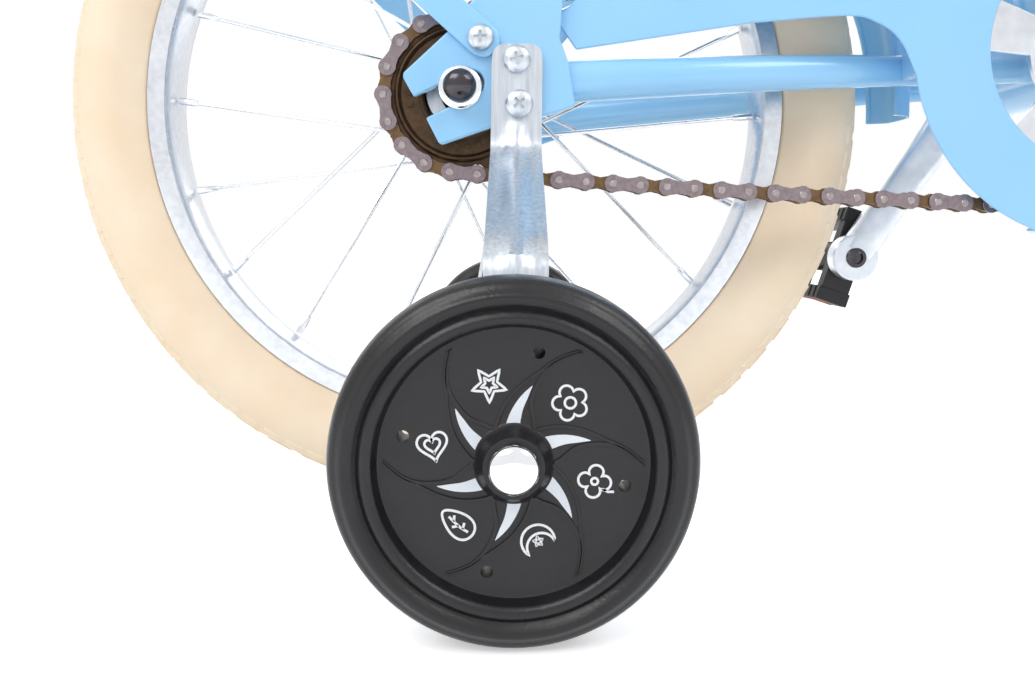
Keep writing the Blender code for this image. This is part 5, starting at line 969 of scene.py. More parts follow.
PICTURES = [
    [blob(7.4, 5, 0.36, 0.7, pi / 2), blob(2.3, steps=20)],
    [star(7.6), star(3.6)],
    [heart(6.6), heart(3.4)],
    [leaf(7.8), [(-5.6, 0.0), (-2.4, 0.5), (1.2, 0.4), (4.6, 0.0)], [(-1.0, 0.4), (0.8, 2.6)], [(1.6, 0.3), (3.2, -1.8)],
     [(-3.2, 0.5), (-2.0, -2.0)]],
    [moon(7.0), star(2.1)],
    [blob(6.8, 4, 0.52, 0.55, pi / 4), [(0.8, -4.4), (2.0, -6.8), (4.0, -8.2)], blob(1.4, steps=16)],
]
PICTURE_TURNS = (20, -35, 12, 140, -60, 35)
OPEN_UNDER = 9

# %% Build both training wheels
def make_training_wheel(word, side):
    centre = Vector((TRAINER.x, TRAINER_SIDES[word], TRAINER.z))
    bm = bmesh.new()
    outer = [(r * MILLIMETRE, y * MILLIMETRE) for r, y in BODY_OUTLINE]
    whole = [(r, -y) for r, y in outer] + [(TRAINER_RADIUS, 0)] + [(r, y) for r, y in reversed(outer)]
    spun(bm, centre, LEFT * side, whole, 128)
    wheel = finish_piece(f"{word}_trainer_body", bm, tread_vinyl, f"{word}_training_wheel", "black_plastic",
                         [f"{word}_training_wheel"], smooth=50)
    bm = bmesh.new()
    for angle in HOLE_ANGLES:
        hole = disc_point(side, HOLE_CIRCLE, angle, 0)
        rod(bm, hole - LEFT * 0.02, hole + LEFT * 0.02, HOLE_RADIUS * MILLIMETRE, 20)
    cut_away(wheel, bm)
    paint_disc(wheel, centre)
    bm = bmesh.new()
    left_edge, right_edge = along_polar(ARM_LEFT), along_polar(ARM_RIGHT)
    for turn in range(0, 360, 60):
        for edge in (left_edge, right_edge):
            inner = [(r, a + turn - degrees(ARM_WIDTH / r) / 2) for r, a in edge]
            outer_edge = [(r, a + turn + degrees(ARM_WIDTH / r) / 2) for r, a in edge]
            ribbon(bm, side, outer_edge, inner, 5.6, 6.55)
    finish_piece(f"{word}_trainer_arms", bm, tread_vinyl, f"{word}_training_wheel", "black_plastic", smooth=50)
    bm = bmesh.new()
    left_edge = along_polar([(12.3, 102), (16.9, 92.8), (21.9, 83.6), (25.7, 76.6)], 4)
    right_edge = along_polar([(11.8, 81), (17.1, 80.5), (21.4, 78), (25.7, 76.2)], 4)
    for turn in range(0, 360, 60):
        ribbon(bm, side, [(r, a + turn) for r, a in left_edge], [(r, a + turn) for r, a in right_edge], 5.7, 6.20)
    finish_piece(f"{word}_trainer_flashes", bm, silver_ink, f"{word}_training_wheel", "silver_steel", smooth=50)
    bm = bmesh.new()
    for number, (lines, spin) in enumerate(zip(PICTURES, PICTURE_TURNS)):
        a = radians(number * 60 + 47)
        place = Vector((26.6 * cos(a), 26.6 * sin(a)))
        turn = Matrix.Rotation(radians(spin), 2)
        for line in lines:
            points = [tuple(place + turn @ Vector(point) * 0.78) for point in line]
            stroke(bm, side, points, 0.80, 5.7, 6.18, closed=len(line) > OPEN_UNDER)
    finish_piece(f"{word}_trainer_pictures", bm, white_ink, f"{word}_training_wheel", "cream_vinyl", smooth=50)


def paint_disc(wheel, centre):
    """Gives the recessed disc faces, on both sides, the satin plastic."""
    wheel.data.materials.clear()
    wheel.data.materials.append(tread_vinyl)
    wheel.data.materials.append(disc_plastic)
    for face in wheel.data.polygons:
        from_axis = hypot(face.center.x - centre.x, face.center.z - centre.z)
        face.material_index = 1 if from_axis < 0.0435 else 0
    wheel.data.set_sharp_from_angle(angle=radians(50))


for word, side in SIDES:
    make_training_wheel(word, side)

# %% [markdown]
# The pin is a shouldered bolt: a hexagon nut and washers inboard, and outside a pressed cap, domed and chromed, that
# snaps over the pin's end.

# %% Make the caps and pins
for word, side in SIDES:
    face = TRAINER_SIDES[word]
    pin = Vector((TRAINER.x, face, TRAINER.z))
    bm = bmesh.new()
    spun(bm, pin, LEFT * side, [(0.0, 0.0127), (0.0072, 0.0127), (0.0078, 0.0130), (0.0081, 0.0138), (0.0080, 0.0150),
                                (0.0074, 0.0160), (0.0058, 0.0169), (0.0032, 0.0175), (0.0, 0.0176)], 64)
    finish_piece(f"{word}_trainer_cap", bm, chrome, "frame", "silver_steel", [f"{word}_training_axle"], smooth=60)
    bm = bmesh.new()
    rod(bm, pin - LEFT * side * 0.0215, pin + LEFT * side * 0.0132, 0.0043, 24)
    spun(bm, pin, -LEFT * side, [(0.0, 0.0133), (0.0088, 0.0133), (0.0092, 0.0137), (0.0092, 0.0145), (0.0088, 0.0149),
                                 (0.0, 0.0149)], 48)
    swept(bm, [pin - LEFT * side * 0.0184, pin - LEFT * side * 0.0235], 0.0086, hint=UP, sides=6)
    finish_piece(f"{word}_trainer_pin", bm, zinc_plate, "frame", "zinc_plate", [f"{word}_training_axle"],
                 bevel=0.0004)

# %% [markdown]
# ## Sprockets
#
# The chainwheel and the freewheel are pressed or cast, then their teeth are cut to one pitch, 12.7 mm, so a chain
# roller drops into each valley. One outline serves both: each tooth is a point between two roller seats.

# %% Make the sprockets
PITCH, CHAIN_LINE, RING_TEETH, FREEWHEEL_TEETH = 0.0127, -0.0450, 36, 18
RING_RADIUS = PITCH / (2 * sin(pi / RING_TEETH))
FREEWHEEL_RADIUS = PITCH / (2 * sin(pi / FREEWHEEL_TEETH))
FIRST_PIN, RING_VALLEY = radians(180.6), -6.42035
ROLLER_RADIUS, TOOTH_HALF = 0.0037, 0.0013


def toothed(centre, teeth, radius, valley):
    """The toothed outline: a rounded seat round each roller's place, and a tooth between two seats."""
    step = 2 * pi / teeth
    points = []
    for number in range(teeth):
        middle = valley + number * step
        seat = polar(centre, radius, middle)
        for turn in (70, 35, 0, -35, -70):
            a = middle + pi + radians(turn)
            points.append((seat.x + ROLLER_RADIUS * cos(a), seat.z + ROLLER_RADIUS * sin(a)))
        for share, height in ((0.36, 0.0006), (0.46, 0.0024), (0.54, 0.0024), (0.64, 0.0006)):
            a = middle + share * step
            points.append((centre.x + (radius + height) * cos(a), centre.z + (radius + height) * sin(a)))
    return points


def plate_with_holes(bm, outline, holes, y_from, y_to):
    """A flat plate with round or shaped holes: its rims are filled between, then extruded."""
    rims = [outline_loop(bm, [Vector((x, y_from, z)) for x, z in rim]) for rim in [outline] + holes]
    edges = [edge for rim in rims for edge in rim]
    made = bmesh.ops.triangle_fill(bm, edges=edges, use_beauty=True)["geom"]
    faces = [item for item in made if isinstance(item, bmesh.types.BMFace)]
    grown = bmesh.ops.extrude_face_region(bm, geom=faces, use_keep_orig=True)["geom"]
    moved = [item for item in grown if isinstance(item, bmesh.types.BMVert)]
    bmesh.ops.translate(bm, verts=moved, vec=(0, y_to - y_from, 0))


bm = bmesh.new()
plate_with_holes(bm, toothed(REAR, FREEWHEEL_TEETH, FREEWHEEL_RADIUS, FIRST_PIN),
                 [arc((REAR.x, REAR.z), 0.0200, 0, 354, 59)], CHAIN_LINE - TOOTH_HALF, CHAIN_LINE + TOOTH_HALF)
spun(bm, REAR, LEFT, [(0.0173, -0.0470), (0.0180, -0.0490), (0.0192, -0.0494), (0.0200, -0.0486), (0.0208, -0.0478),
                      (0.0282, -0.0478), (0.0290, -0.0484), (0.0296, -0.0492), (0.0304, -0.0492), (0.0310, -0.0484),
                      (0.0316, -0.0472), (0.0316, -0.0464), (0.0316, -0.0360), (0.0306, -0.0350), (0.0173, -0.0350)], 96)
for number in range(30):
    if number % 10 < 7:
        place = polar(REAR, 0.0246, radians(number * 12), -0.0479)
        out = (polar(REAR, 1, radians(number * 12)) - REAR).normalized()
        box(bm, place, (out, LEFT, out.cross(LEFT)), (0.0011 if number % 2 else 0.0016, 0.0005, 0.0010))
finish_piece("freewheel_body", bm, browned_steel, "freewheel", "browned_steel", ["freewheel"], bevel=0.0002)

bm = bmesh.new()
windows = []
for number in range(5):
    middle = 57 + 72 * number
    windows.append(arc((CRANK.x, CRANK.z), 0.0590, middle - 23, middle + 23, 12)
                   + arc((CRANK.x, CRANK.z), 0.0300, middle + 19, middle - 19, 8))
windows.append(arc((CRANK.x, CRANK.z), 0.0173, 0, 352.5, 47))
plate_with_holes(bm, toothed(CRANK, RING_TEETH, RING_RADIUS, RING_VALLEY), windows, CHAIN_LINE - TOOTH_HALF,
                 CHAIN_LINE + TOOTH_HALF)
finish_piece("chainwheel", bm, silver_lacquer, "crank", "polished_alloy", ["chainring"], bevel=0.0003)

# %% [markdown]
# ## Chain
#
# A chain is pairs of plates on pins: narrow inner pairs that hold the rollers, and outer pairs that are riveted over
# them. Seen from the side each plate is a peanut, two rounds and a waist. The pins are laid along the pitch line
# first, so the links follow the sprockets' valleys exactly.

# %% Lay out the pins
LINKS, CHAIN_SAG = 74, 0.0012
slope = atan2(CRANK.z - REAR.z, CRANK.x - REAR.x)
taper = asin((RING_RADIUS - FREEWHEEL_RADIUS) / (CRANK - REAR).length)
LOWER, UPPER = slope - taper - pi / 2, slope + taper + pi / 2
run_links = (CRANK - REAR).length * cos(taper) / PITCH
from_pin = (LOWER + 2 * pi - FIRST_PIN) * FREEWHEEL_TEETH / (2 * pi)
round_ring = (UPPER - LOWER) * RING_TEETH / (2 * pi)
total = from_pin + run_links * 2 + round_ring + (FIRST_PIN - UPPER) * FREEWHEEL_TEETH / (2 * pi)


def pin_place(number):
    """Where a pin lies on the pitch line, counted in links from the first pin, round by the lower run."""
    u = (number % LINKS) * total / LINKS
    if u < from_pin:
        return polar(REAR, FREEWHEEL_RADIUS, FIRST_PIN + u * 2 * pi / FREEWHEEL_TEETH, CHAIN_LINE)
    u -= from_pin
    if u < run_links:
        share = u / run_links
        place = polar(REAR, FREEWHEEL_RADIUS, LOWER, CHAIN_LINE).lerp(polar(CRANK, RING_RADIUS, LOWER, CHAIN_LINE), share)
        return place - UP * CHAIN_SAG * 4 * share * (1 - share)
    u -= run_links
    if u < round_ring:
        return polar(CRANK, RING_RADIUS, LOWER + u * 2 * pi / RING_TEETH, CHAIN_LINE)
    u -= round_ring
    if u < run_links:
        return polar(CRANK, RING_RADIUS, UPPER, CHAIN_LINE).lerp(polar(REAR, FREEWHEEL_RADIUS, UPPER, CHAIN_LINE),
                                                                 u / run_links)
    return polar(REAR, FREEWHEEL_RADIUS, UPPER + (u - run_links) * 2 * pi / FREEWHEEL_TEETH, CHAIN_LINE)


print(f"{total:.2f} pitches for {LINKS} links")

# %% Build the links
def peanut(first, second, round_radius, waist):
    """The side view of a plate: two rounds joined by a waist, as (x, z) points."""
    middle = (first + second) / 2
    along = (second - first).normalized()
    across = along.cross(LEFT)
    half = (second - first).length / 2
    points = []
    for way in (1, -1):
        for turn in range(-125, 126, 25):
            a = radians(turn)
            points.append(middle + along * way * (half + round_radius * cos(a)) + across * way * round_radius * sin(a))
        points.append(middle + across * way * waist + along * way * 0.0004)
    return [(point.x, point.z) for point in points]


def shrunk(outline, share):
    """The outline drawn in towards its middle."""
    x = sum(p[0] for p in outline) / len(outline)
    z = sum(p[1] for p in outline) / len(outline)
    return [(x + (p[0] - x) * share, z + (p[1] - z) * share) for p in outline]


def link_plate(bm, outline, inner_y, outer_y):
    """A plate with an eased outer edge."""
    edge_y = outer_y - (outer_y - inner_y) * 0.25
    rows = [(outline, inner_y), (outline, edge_y), (shrunk(outline, 0.975), outer_y)]
    bridge(bm, [outline_loop(bm, [Vector((x, y, z)) for x, z in rim]) for rim, y in rows])


outer_bm, inner_bm, rivet_bm = bmesh.new(), bmesh.new(), bmesh.new()
for number in range(LINKS):
    here, after = pin_place(number), pin_place(number + 1)
    for side in (-1, 1):
        if number % 2 == 0:
            link_plate(outer_bm, peanut(here, after, 0.00415, 0.0027), CHAIN_LINE + side * 0.0031, CHAIN_LINE + side * 0.0040)
        else:
            link_plate(inner_bm, peanut(here, after, 0.00405, 0.0025), CHAIN_LINE + side * 0.0020, CHAIN_LINE + side * 0.0029)
    rod(inner_bm, here - LEFT * 0.0019, here + LEFT * 0.0019, ROLLER_RADIUS - 0.0001, 16)
    rod(rivet_bm, here - LEFT * 0.0044, here + LEFT * 0.0044, 0.0018, 12, 0.0003)
finish_piece("chain_outer_plates", outer_bm, outer_plate, "frame", "chain_steel", ["chain"])
finish_piece("chain_inner_plates", inner_bm, inner_plate, "frame", "chain_steel", ["chain"])
finish_piece("chain_rivets", rivet_bm, rivet_steel, "frame", "chain_steel", ["chain"])

# %% [markdown]
# ## Frame
#
# Steel tubes are coped, welded and then bored: the head tube for the bearings, the seat tube for the post, the
# shell for the crank's cups. The tubes here are swept the same way, from one joint to the next, and the bores are
# cut last. The chainstays are ovals, squeezed thin beside the tyre; the seatstays are flattened at their feet.

# %% Join the tubes
BRIDGE, BRIDGE_TANGENT = Vector((-0.20884, 0, 0.37807)), Vector((-0.74664, 0, 0.66523))
STAY_JOIN, TOP_TUBE_JOIN = SEAT_TOP - SEAT_UP * 0.033, SEAT_TOP - SEAT_UP * 0.105
HEAD_LOW, HEAD_HIGH = 0.266, 0.371
CHAINSTAY = [(0.040, 0.0532, 0.0052, 0.0092), (0.052, 0.0530, 0.0056, 0.0094), (0.0751, 0.0515, 0.0072, 0.0092),
             (0.1301, 0.0450, 0.0075, 0.0086), (0.1779, 0.0366, 0.0060, 0.0080), (0.2149, 0.0300, 0.0056, 0.0074),
             (0.2551, 0.0245, 0.0065, 0.0080), (0.2870, 0.0214, 0.0070, 0.0085)]


def oval_tube(bm, rows, steps=4, hint=UP):
    """A tube through rows of (point, half-width, half-height), with its section changing along it."""
    path = smooth_path([row[0] for row in rows], steps)
    sizes = smooth_path([(row[1], row[2], 0) for row in rows], steps)
    swept(bm, path, [size.x for size in sizes], hint, [size.y for size in sizes], 28)


bm = bmesh.new()
rod(bm, steer_point(HEAD_LOW), steer_point(HEAD_HIGH), 0.0175, 48, 0.0006)
rod(bm, CRANK, SEAT_TOP, 0.015, 40, 0.0005)
rod(bm, CRANK - LEFT * 0.034, CRANK + LEFT * 0.034, 0.020, 48, 0.0006)
rod(bm, steer_point(HEAD_LOW + 0.029), CRANK, 0.016, 40)
rod(bm, steer_point(HEAD_HIGH - 0.020), TOP_TUBE_JOIN, 0.014, 40)
for word, side in SIDES:
    stay = []
    for x, y, half_y, half_z in CHAINSTAY:
        lift = 0.0012 if x < 0.201 else 0.0005
        stay.append((REAR + Vector((x, side * y, lift + x * 0.0613)), half_y, half_z))
    oval_tube(bm, stay)
    foot, shoulder = REAR + Vector((0.024, side * 0.0545, 0.030)), BRIDGE + LEFT * side * 0.045
    low, middle, bend = foot.lerp(shoulder, 0.24), foot.lerp(shoulder, 0.46), shoulder.lerp(STAY_JOIN, 0.45)
    low.y, middle.y, bend.y = foot.y, side * 0.0508, side * 0.0330
    oval_tube(bm, [(foot, 0.0038, 0.0105), (low, 0.0040, 0.0102), (middle, 0.0068, 0.0088),
                   (shoulder, 0.0078, 0.0080), (bend, 0.0078, 0.0080), (STAY_JOIN + LEFT * side * 0.011, 0.0075, 0.0078)])
rod(bm, BRIDGE - LEFT * 0.045, BRIDGE + LEFT * 0.045, 0.0085, 28)
link = REAR + Vector((0.248, 0, 0.017))
rod(bm, link - LEFT * 0.026, link + LEFT * 0.026, 0.0055, 24)
tubes = finish_piece("frame_tubes", bm, enamel, "frame", "blue_enamel", ["frame"], smooth=30)
bm = bmesh.new()
rod(bm, steer_point(HEAD_LOW - 0.01), steer_point(HEAD_HIGH + 0.01), 0.0145, 40)
rod(bm, SEAT_TOP - SEAT_UP * 0.215, SEAT_TOP + SEAT_UP * 0.01, 0.0130, 40)
rod(bm, CRANK - LEFT * 0.05, CRANK + LEFT * 0.05, 0.0155, 40)
rod(bm, BRIDGE - BRIDGE_TANGENT * 0.02, BRIDGE + BRIDGE_TANGENT * 0.02, 0.0033, 20)
cut_away(tubes, bm)

# %% [markdown]
# Where a tube runs into a larger one, the weld leaves a bead of small overlapping ripples. Its path is where the
# small tube's straight lines meet the large tube's round.

# %% Lay the weld beads
def weld(bm, start, direction, radius, axis, large, steps=84):
    """A rippled bead round the joint. start lies on the large tube's axis, and direction leads away from it."""
    side, upward = frame_along(direction)
    spread = direction - axis * direction.dot(axis)
    path = []
    for step in range(steps):
        a = 2 * pi * step / steps
        base = (side * cos(a) + upward * sin(a)) * radius
        flat = base - axis * base.dot(axis)
        linear, rest = flat.dot(spread), flat.dot(flat) - large * large
        along = (sqrt(linear * linear - spread.dot(spread) * rest) - linear) / spread.dot(spread)
        path.append(start + base + direction * along)
    loops = []
    for step in range(steps):
        across, out = frame_along(path[(step + 1) % steps] - path[step - 1], direction)
        size = 0.0017 if step % 2 else 0.0013
        loops.append(ring(bm, path[step], across, out, size, size, 8))
    bridge(bm, loops, closed=True)


bm = bmesh.new()
down_way = (CRANK - steer_point(HEAD_LOW + 0.029)).normalized()
top_way = (TOP_TUBE_JOIN - steer_point(HEAD_HIGH - 0.020)).normalized()
weld(bm, steer_point(HEAD_LOW + 0.029), down_way, 0.016, STEER_UP, 0.0175)
weld(bm, steer_point(HEAD_HIGH - 0.020), top_way, 0.014, STEER_UP, 0.0175)
weld(bm, TOP_TUBE_JOIN, -top_way, 0.014, SEAT_UP, 0.015)
weld(bm, CRANK, -down_way, 0.016, LEFT, 0.020)
weld(bm, CRANK, SEAT_UP, 0.015, LEFT, 0.020)
finish_piece("frame_welds", bm, enamel, "frame", "blue_enamel", smooth=60)

# %% [markdown]
# The dropouts are plates cut from 4 mm sheet, with a slot that slants and opens to the rear so the chain can be
# drawn tight. Enamel pools on their edges, so the edges are eased rather than sharp.

# %% Cut the dropouts and tabs
SLOT_ANGLE, SLOT_HALF = radians(25), 0.0053


def slot_point(along, off):
    """A point measured from the axle along the slanted slot, and square to it."""
    c, s = cos(SLOT_ANGLE), sin(SLOT_ANGLE)
    return (REAR.x + along * c - off * s, REAR.z + along * s + off * c)


outline = [slot_point(-0.0205, SLOT_HALF), slot_point(-0.0208, SLOT_HALF + 0.003), slot_point(-0.0212, 0.0150),
           slot_point(-0.0203, 0.0170)]
outline += [(REAR.x + x, REAR.z + z) for x, z in (
    (-0.004, 0.0265), (0.011, 0.046), (0.028, 0.062), (0.0465, 0.050), (0.0445, 0.0220), (0.0485, 0.0110),
    (0.0515, -0.0081), (0.0373, -0.0125), (0.0131, -0.0178))]
outline += [slot_point(-0.0180, -0.0192), slot_point(-0.0193, -0.0180), slot_point(-0.0197, -SLOT_HALF)]
outline += [slot_point(0.0058 + SLOT_HALF * sin(pi * i / 12), -SLOT_HALF * cos(pi * i / 12)) for i in range(13)]
bm = bmesh.new()
for word, side in SIDES:
    slab(bm, outline, side * 0.058, side * 0.062)
finish_piece("dropouts", bm, enamel, "frame", "blue_enamel", ["frame"], bevel=0.0009)

bm = bmesh.new()
box(bm, Vector((-0.1552, -0.0450, 0.2140)), (AHEAD, LEFT, UP), (0.0025, 0.0095, 0.0060))
seat_tab = CRANK + SEAT_UP * (0.07786 / SEAT_UP.z)
box(bm, seat_tab - LEFT * 0.03235, (AHEAD, LEFT, UP), (0.0070, 0.02235, 0.0016))
finish_piece("guard_tabs", bm, enamel, "frame", "blue_enamel", bevel=0.0006)

# %% [markdown]
# ## Chain guard
#
# One pressing covers the chainwheel with a ring and runs back above the chain. It is a flat blank with a turned
# lip on its far edge for stiffness, and its corners are drawn in easy curves so a trouser leg slides off.

# %% Press the chain guard
GUARD_FACE, GUARD_BACK, GUARD_RADIUS = -0.0565, -0.0550, 0.08896
TAIL = 0.2956
tail_lower = [(0.1766, 0.0182), (0.4465, 0.0301), (0.5903, 0.0333), (0.6394, 0.0303), (0.6759, 0.0222)]
tail_upper = [(0.9134, 0.1045), (0.5074, 0.0860), (0.2571, 0.0690), (0.1644, 0.0371), (0.1414, 0.0330)]
disc = arc((CRANK.x, CRANK.z), GUARD_RADIUS, 188, 457, 100)
lower = [(REAR.x + share * TAIL, REAR.z + z) for share, z in tail_lower]
upper = [(REAR.x + share * TAIL, REAR.z + z) for share, z in tail_upper]
curve = smooth_path([(x, 0, z) for x, z in lower[1:] + disc[:1]], 8)
outline = lower[:1] + [(point.x, point.z) for point in curve[:-1]] + disc + upper
bm = bmesh.new()
plate_with_holes(bm, outline, [arc((CRANK.x, CRANK.z), 0.0545, 0, 357, 119)], GUARD_FACE, GUARD_BACK)
finish_piece("chain_guard", bm, enamel, "frame", "blue_enamel", ["chain_guard"], bevel=0.0006)
rim = arc((CRANK.x, CRANK.z), GUARD_RADIUS - 0.0003, 250, 457, 80)
lip = rim + [(x, z - 0.0003) for x, z in upper[:3]] + [(x, z - 0.0018) for x, z in reversed(upper[:3])]
lip += reversed(arc((CRANK.x, CRANK.z), GUARD_RADIUS - 0.0018, 250, 457, 80))
bm = bmesh.new()
slab(bm, lip, -0.0556, -0.0465)
finish_piece("chain_guard_lip", bm, enamel, "frame", "blue_enamel", ["chain_guard"], bevel=0.0005)

# %% [markdown]
# ## Mudguards
#
# A mudguard is one strip of sheet, rolled to the wheel's curve with a crown across it and a small bead along both
# edges. The rear one narrows where it drops between the chainstays.

# %% Roll the rear mudguard
GUARD_HALF, GUARD_ROUND, GUARD_CROWN, GUARD_WALL = 0.028, 0.226, 0.0070, 0.0013
SECTION = smooth_path([(w, h, 0) for w, h in ((-1, -1.35), (-0.68, -0.24), (0, 0), (0.68, -0.24), (1, -1.35))], 5)


def mudguard(bm, centre, start, end, width):
    """A crowned strip round the tyre, with a bead along each edge. width is its share at an angle in degrees."""
    steps = ceil((end - start) / 2)
    loops, edges = [], {-1: [], 1: []}
    for step in range(steps + 1):
        turn = start + (end - start) * step / steps
        half = GUARD_HALF * width(turn)
        rim = [(half * p.x, GUARD_ROUND + GUARD_CROWN * p.y + GUARD_WALL) for p in SECTION]
        rim += [((half - GUARD_WALL) * p.x, GUARD_ROUND + GUARD_CROWN * p.y * 0.98) for p in reversed(SECTION)]
        loops.append(outline_loop(bm, [polar(centre, r, radians(turn), y) for y, r in rim]))
        for side in (-1, 1):
            edges[side].append(polar(centre, GUARD_ROUND - GUARD_CROWN * 1.33, radians(turn), side * (half - 0.0009)))
    bridge(bm, loops)
    for path in edges.values():
        swept(bm, path, 0.0014, hint=LEFT, sides=10)


def rear_width(turn):
    """Full width over the tyre, narrow between the chainstays."""
    share = min(max((turn - 8) / 18, 0), 1)
    return 0.62 + 0.38 * share * share * (3 - 2 * share)


bm = bmesh.new()
mudguard(bm, REAR, -1.5, 148, rear_width)
radial = (BRIDGE - REAR).normalized()
box(bm, BRIDGE - BRIDGE_TANGENT * 0.0097 - radial * 0.0011, (BRIDGE_TANGENT, LEFT, radial), (0.0009, 0.0080, 0.0096))
finish_piece("rear_mudguard", bm, enamel, "frame", "blue_enamel", ["rear_mudguard"], smooth=40)

# %% [markdown]
# The mudguard's stays are flat strip, 15 mm wide, with a round foot under a screw on the dropout. They are bent
# inwards to meet the narrow guard.

# %% Bend the stays
STAY_SCREW, STRIP_HALF, STRIP_THICKNESS = Vector((-0.3583, 0, 0.2215)), 0.0075, 0.0020
bm = bmesh.new()
top = polar(REAR, GUARD_ROUND - 0.0085, radians(132))
run = (top - STAY_SCREW).normalized()
across = run.cross(LEFT)
length = (top - STAY_SCREW).length
FOOT, SHORT = [(-0.0085, 0.05), (-0.0081, 0.42), (-0.0070, 0.66), (-0.0052, 0.86), (-0.0028, 0.97)], length - 0.045
for word, side in SIDES:
    loops = []
    rows = [(distance, 0.0633, wide) for distance, wide in FOOT] + [(0, 0.0633, 1), (0.028, 0.0633, 1)]
    rows += [(0.032, 0.0630, 1), (SHORT - 0.003, 0.0307, 1), (SHORT + 0.003, 0.0304, 1), (length - 0.002, 0.0297, 1),
             (length + 0.002, 0.0297, 0.9), (length + 0.004, 0.0297, 0.7)]
    for distance, y, wide in rows:
        place = STAY_SCREW + run * distance + LEFT * side * y
        corners = ((-1, -1), (1, -1), (1, 1), (-1, 1))
        loops.append(outline_loop(bm, [place + across * a * STRIP_HALF * wide + LEFT * b * STRIP_THICKNESS / 2
                                       for a, b in corners]))
    bridge(bm, loops)
finish_piece("mudguard_stays", bm, enamel, "frame", "blue_enamel",
             ["right_mudguard_stay", "left_mudguard_stay"], bevel=0.0005)

# %% [markdown]
# ## Training wheel brackets
#
# Each bracket is pressed from 3 mm strip: flat where two screws clamp it, then a rib is pressed into it as it
# slopes out to the small wheel. The rib's round start catches the light, so it is built as a swelling, not a step.

# %% Press the brackets
BRACKET_HALF, BRACKET_THICKNESS, RIB_HEIGHT, RIB_SHARE = 0.0113, 0.0030, 0.0028, 0.66
BRACKET_ROWS = [
    (0.2188, 0.0623, 0.55, 0), (0.2182, 0.0623, 0.72, 0), (0.2168, 0.0623, 0.88, 0), (0.2145, 0.0623, 0.97, 0),
    (0.2110, 0.0623, 1, 0), (0.1880, 0.0623, 1, 0), (0.1850, 0.0623, 1, 0.10), (0.1825, 0.0623, 1, 0.45),
    (0.1795, 0.0624, 1, 0.80), (0.1760, 0.0627, 1, 0.97), (0.1720, 0.0645, 1, 1), (0.1650, 0.0770, 1, 1),
    (0.1500, 0.1052, 1, 1), (0.1350, 0.1335, 1, 1), (0.1270, 0.1480, 1, 1), (0.1215, 0.1502, 1, 0.9),
    (0.1150, 0.1508, 1, 0.5), (0.1080, 0.1510, 1, 0.12), (0.1040, 0.1510, 1, 0), (0.0580, 0.1510, 1, 0),
    (0.0545, 0.1510, 0.93, 0), (0.0515, 0.1510, 0.76, 0), (0.0497, 0.1510, 0.55, 0), (0.0490, 0.1510, 0.35, 0)]
WIDTH_STEPS = [step / 12 for step in range(-12, 13)]
for word, side in SIDES:
    bm = bmesh.new()
    loops = []
    for z, y, wide, rib in BRACKET_ROWS:
        x = REAR.x + 0.0255 - 0.0028 * (0.2188 - z) / (0.2188 - TRAINER.z)
        rise = [RIB_HEIGHT * rib * (0.5 + 0.5 * cos(pi * min(abs(w) / RIB_SHARE, 1))) for w in WIDTH_STEPS]
        face = [(w, h) for w, h in zip(WIDTH_STEPS, rise)]
        rim = face + [(w, h + BRACKET_THICKNESS) for w, h in reversed(face)]
        loops.append(outline_loop(bm, [Vector((x + BRACKET_HALF * wide * w, side * (y + t), z)) for w, t in rim]))
    bridge(bm, loops)
    bracket = finish_piece(f"{word}_trainer_bracket", bm, zinc_plate, "frame", "zinc_plate",
                           [f"{word}_training_bracket"], smooth=40)
    bm = bmesh.new()
    rod(bm, TRAINER + LEFT * side * 0.14, TRAINER + LEFT * side * 0.17, 0.0048, 24)
    cut_away(bracket, bm)

# %% [markdown]
# Pan-head screws with a cross slot hold the brackets and the stays. The slots turn by chance, as a fitter leaves
# them. The axle nuts are bright flanges under polished chrome caps, whose dark colour is a painted reflection.

# %% Drive the screws and nuts
SCREWS = [(REAR + Vector((0.0251, 0, 0.0118)), 0.0656, 0.0062, 14), (REAR + Vector((0.0261, 0, -0.0077)), 0.0656, 0.0062, 38),
          (STAY_SCREW, 0.0646, 0.0058, 2)]
bm, slots = bmesh.new(), bmesh.new()
for word, side in SIDES:
    for place, seat, radius, turn in SCREWS:
        dome = [(0, seat), (radius * 0.97, seat), (radius, seat + 0.0003), (radius, seat + 0.0013),
                (radius * 0.93, seat + 0.0021), (radius * 0.75, seat + 0.0028), (radius * 0.45, seat + 0.0033),
                (0, seat + 0.0034)]
        spun(bm, place, LEFT * side, dome, 32)
        for quarter in (turn, turn + 90):
            way = Vector((cos(radians(quarter)), 0, sin(radians(quarter))))
            box(slots, place + LEFT * side * (seat + 0.0034), (way, LEFT, way.cross(LEFT)),
                (radius * 0.48, 0.0018, radius * 0.10))
screws = finish_piece("pan_head_screws", bm, zinc_plate, "frame", "zinc_plate",
                      [f"{word}_{kind}" for word, _ in SIDES
                       for kind in ("bracket_screw_upper", "bracket_screw_lower", "stay_screw")])
cut_away(screws, slots)

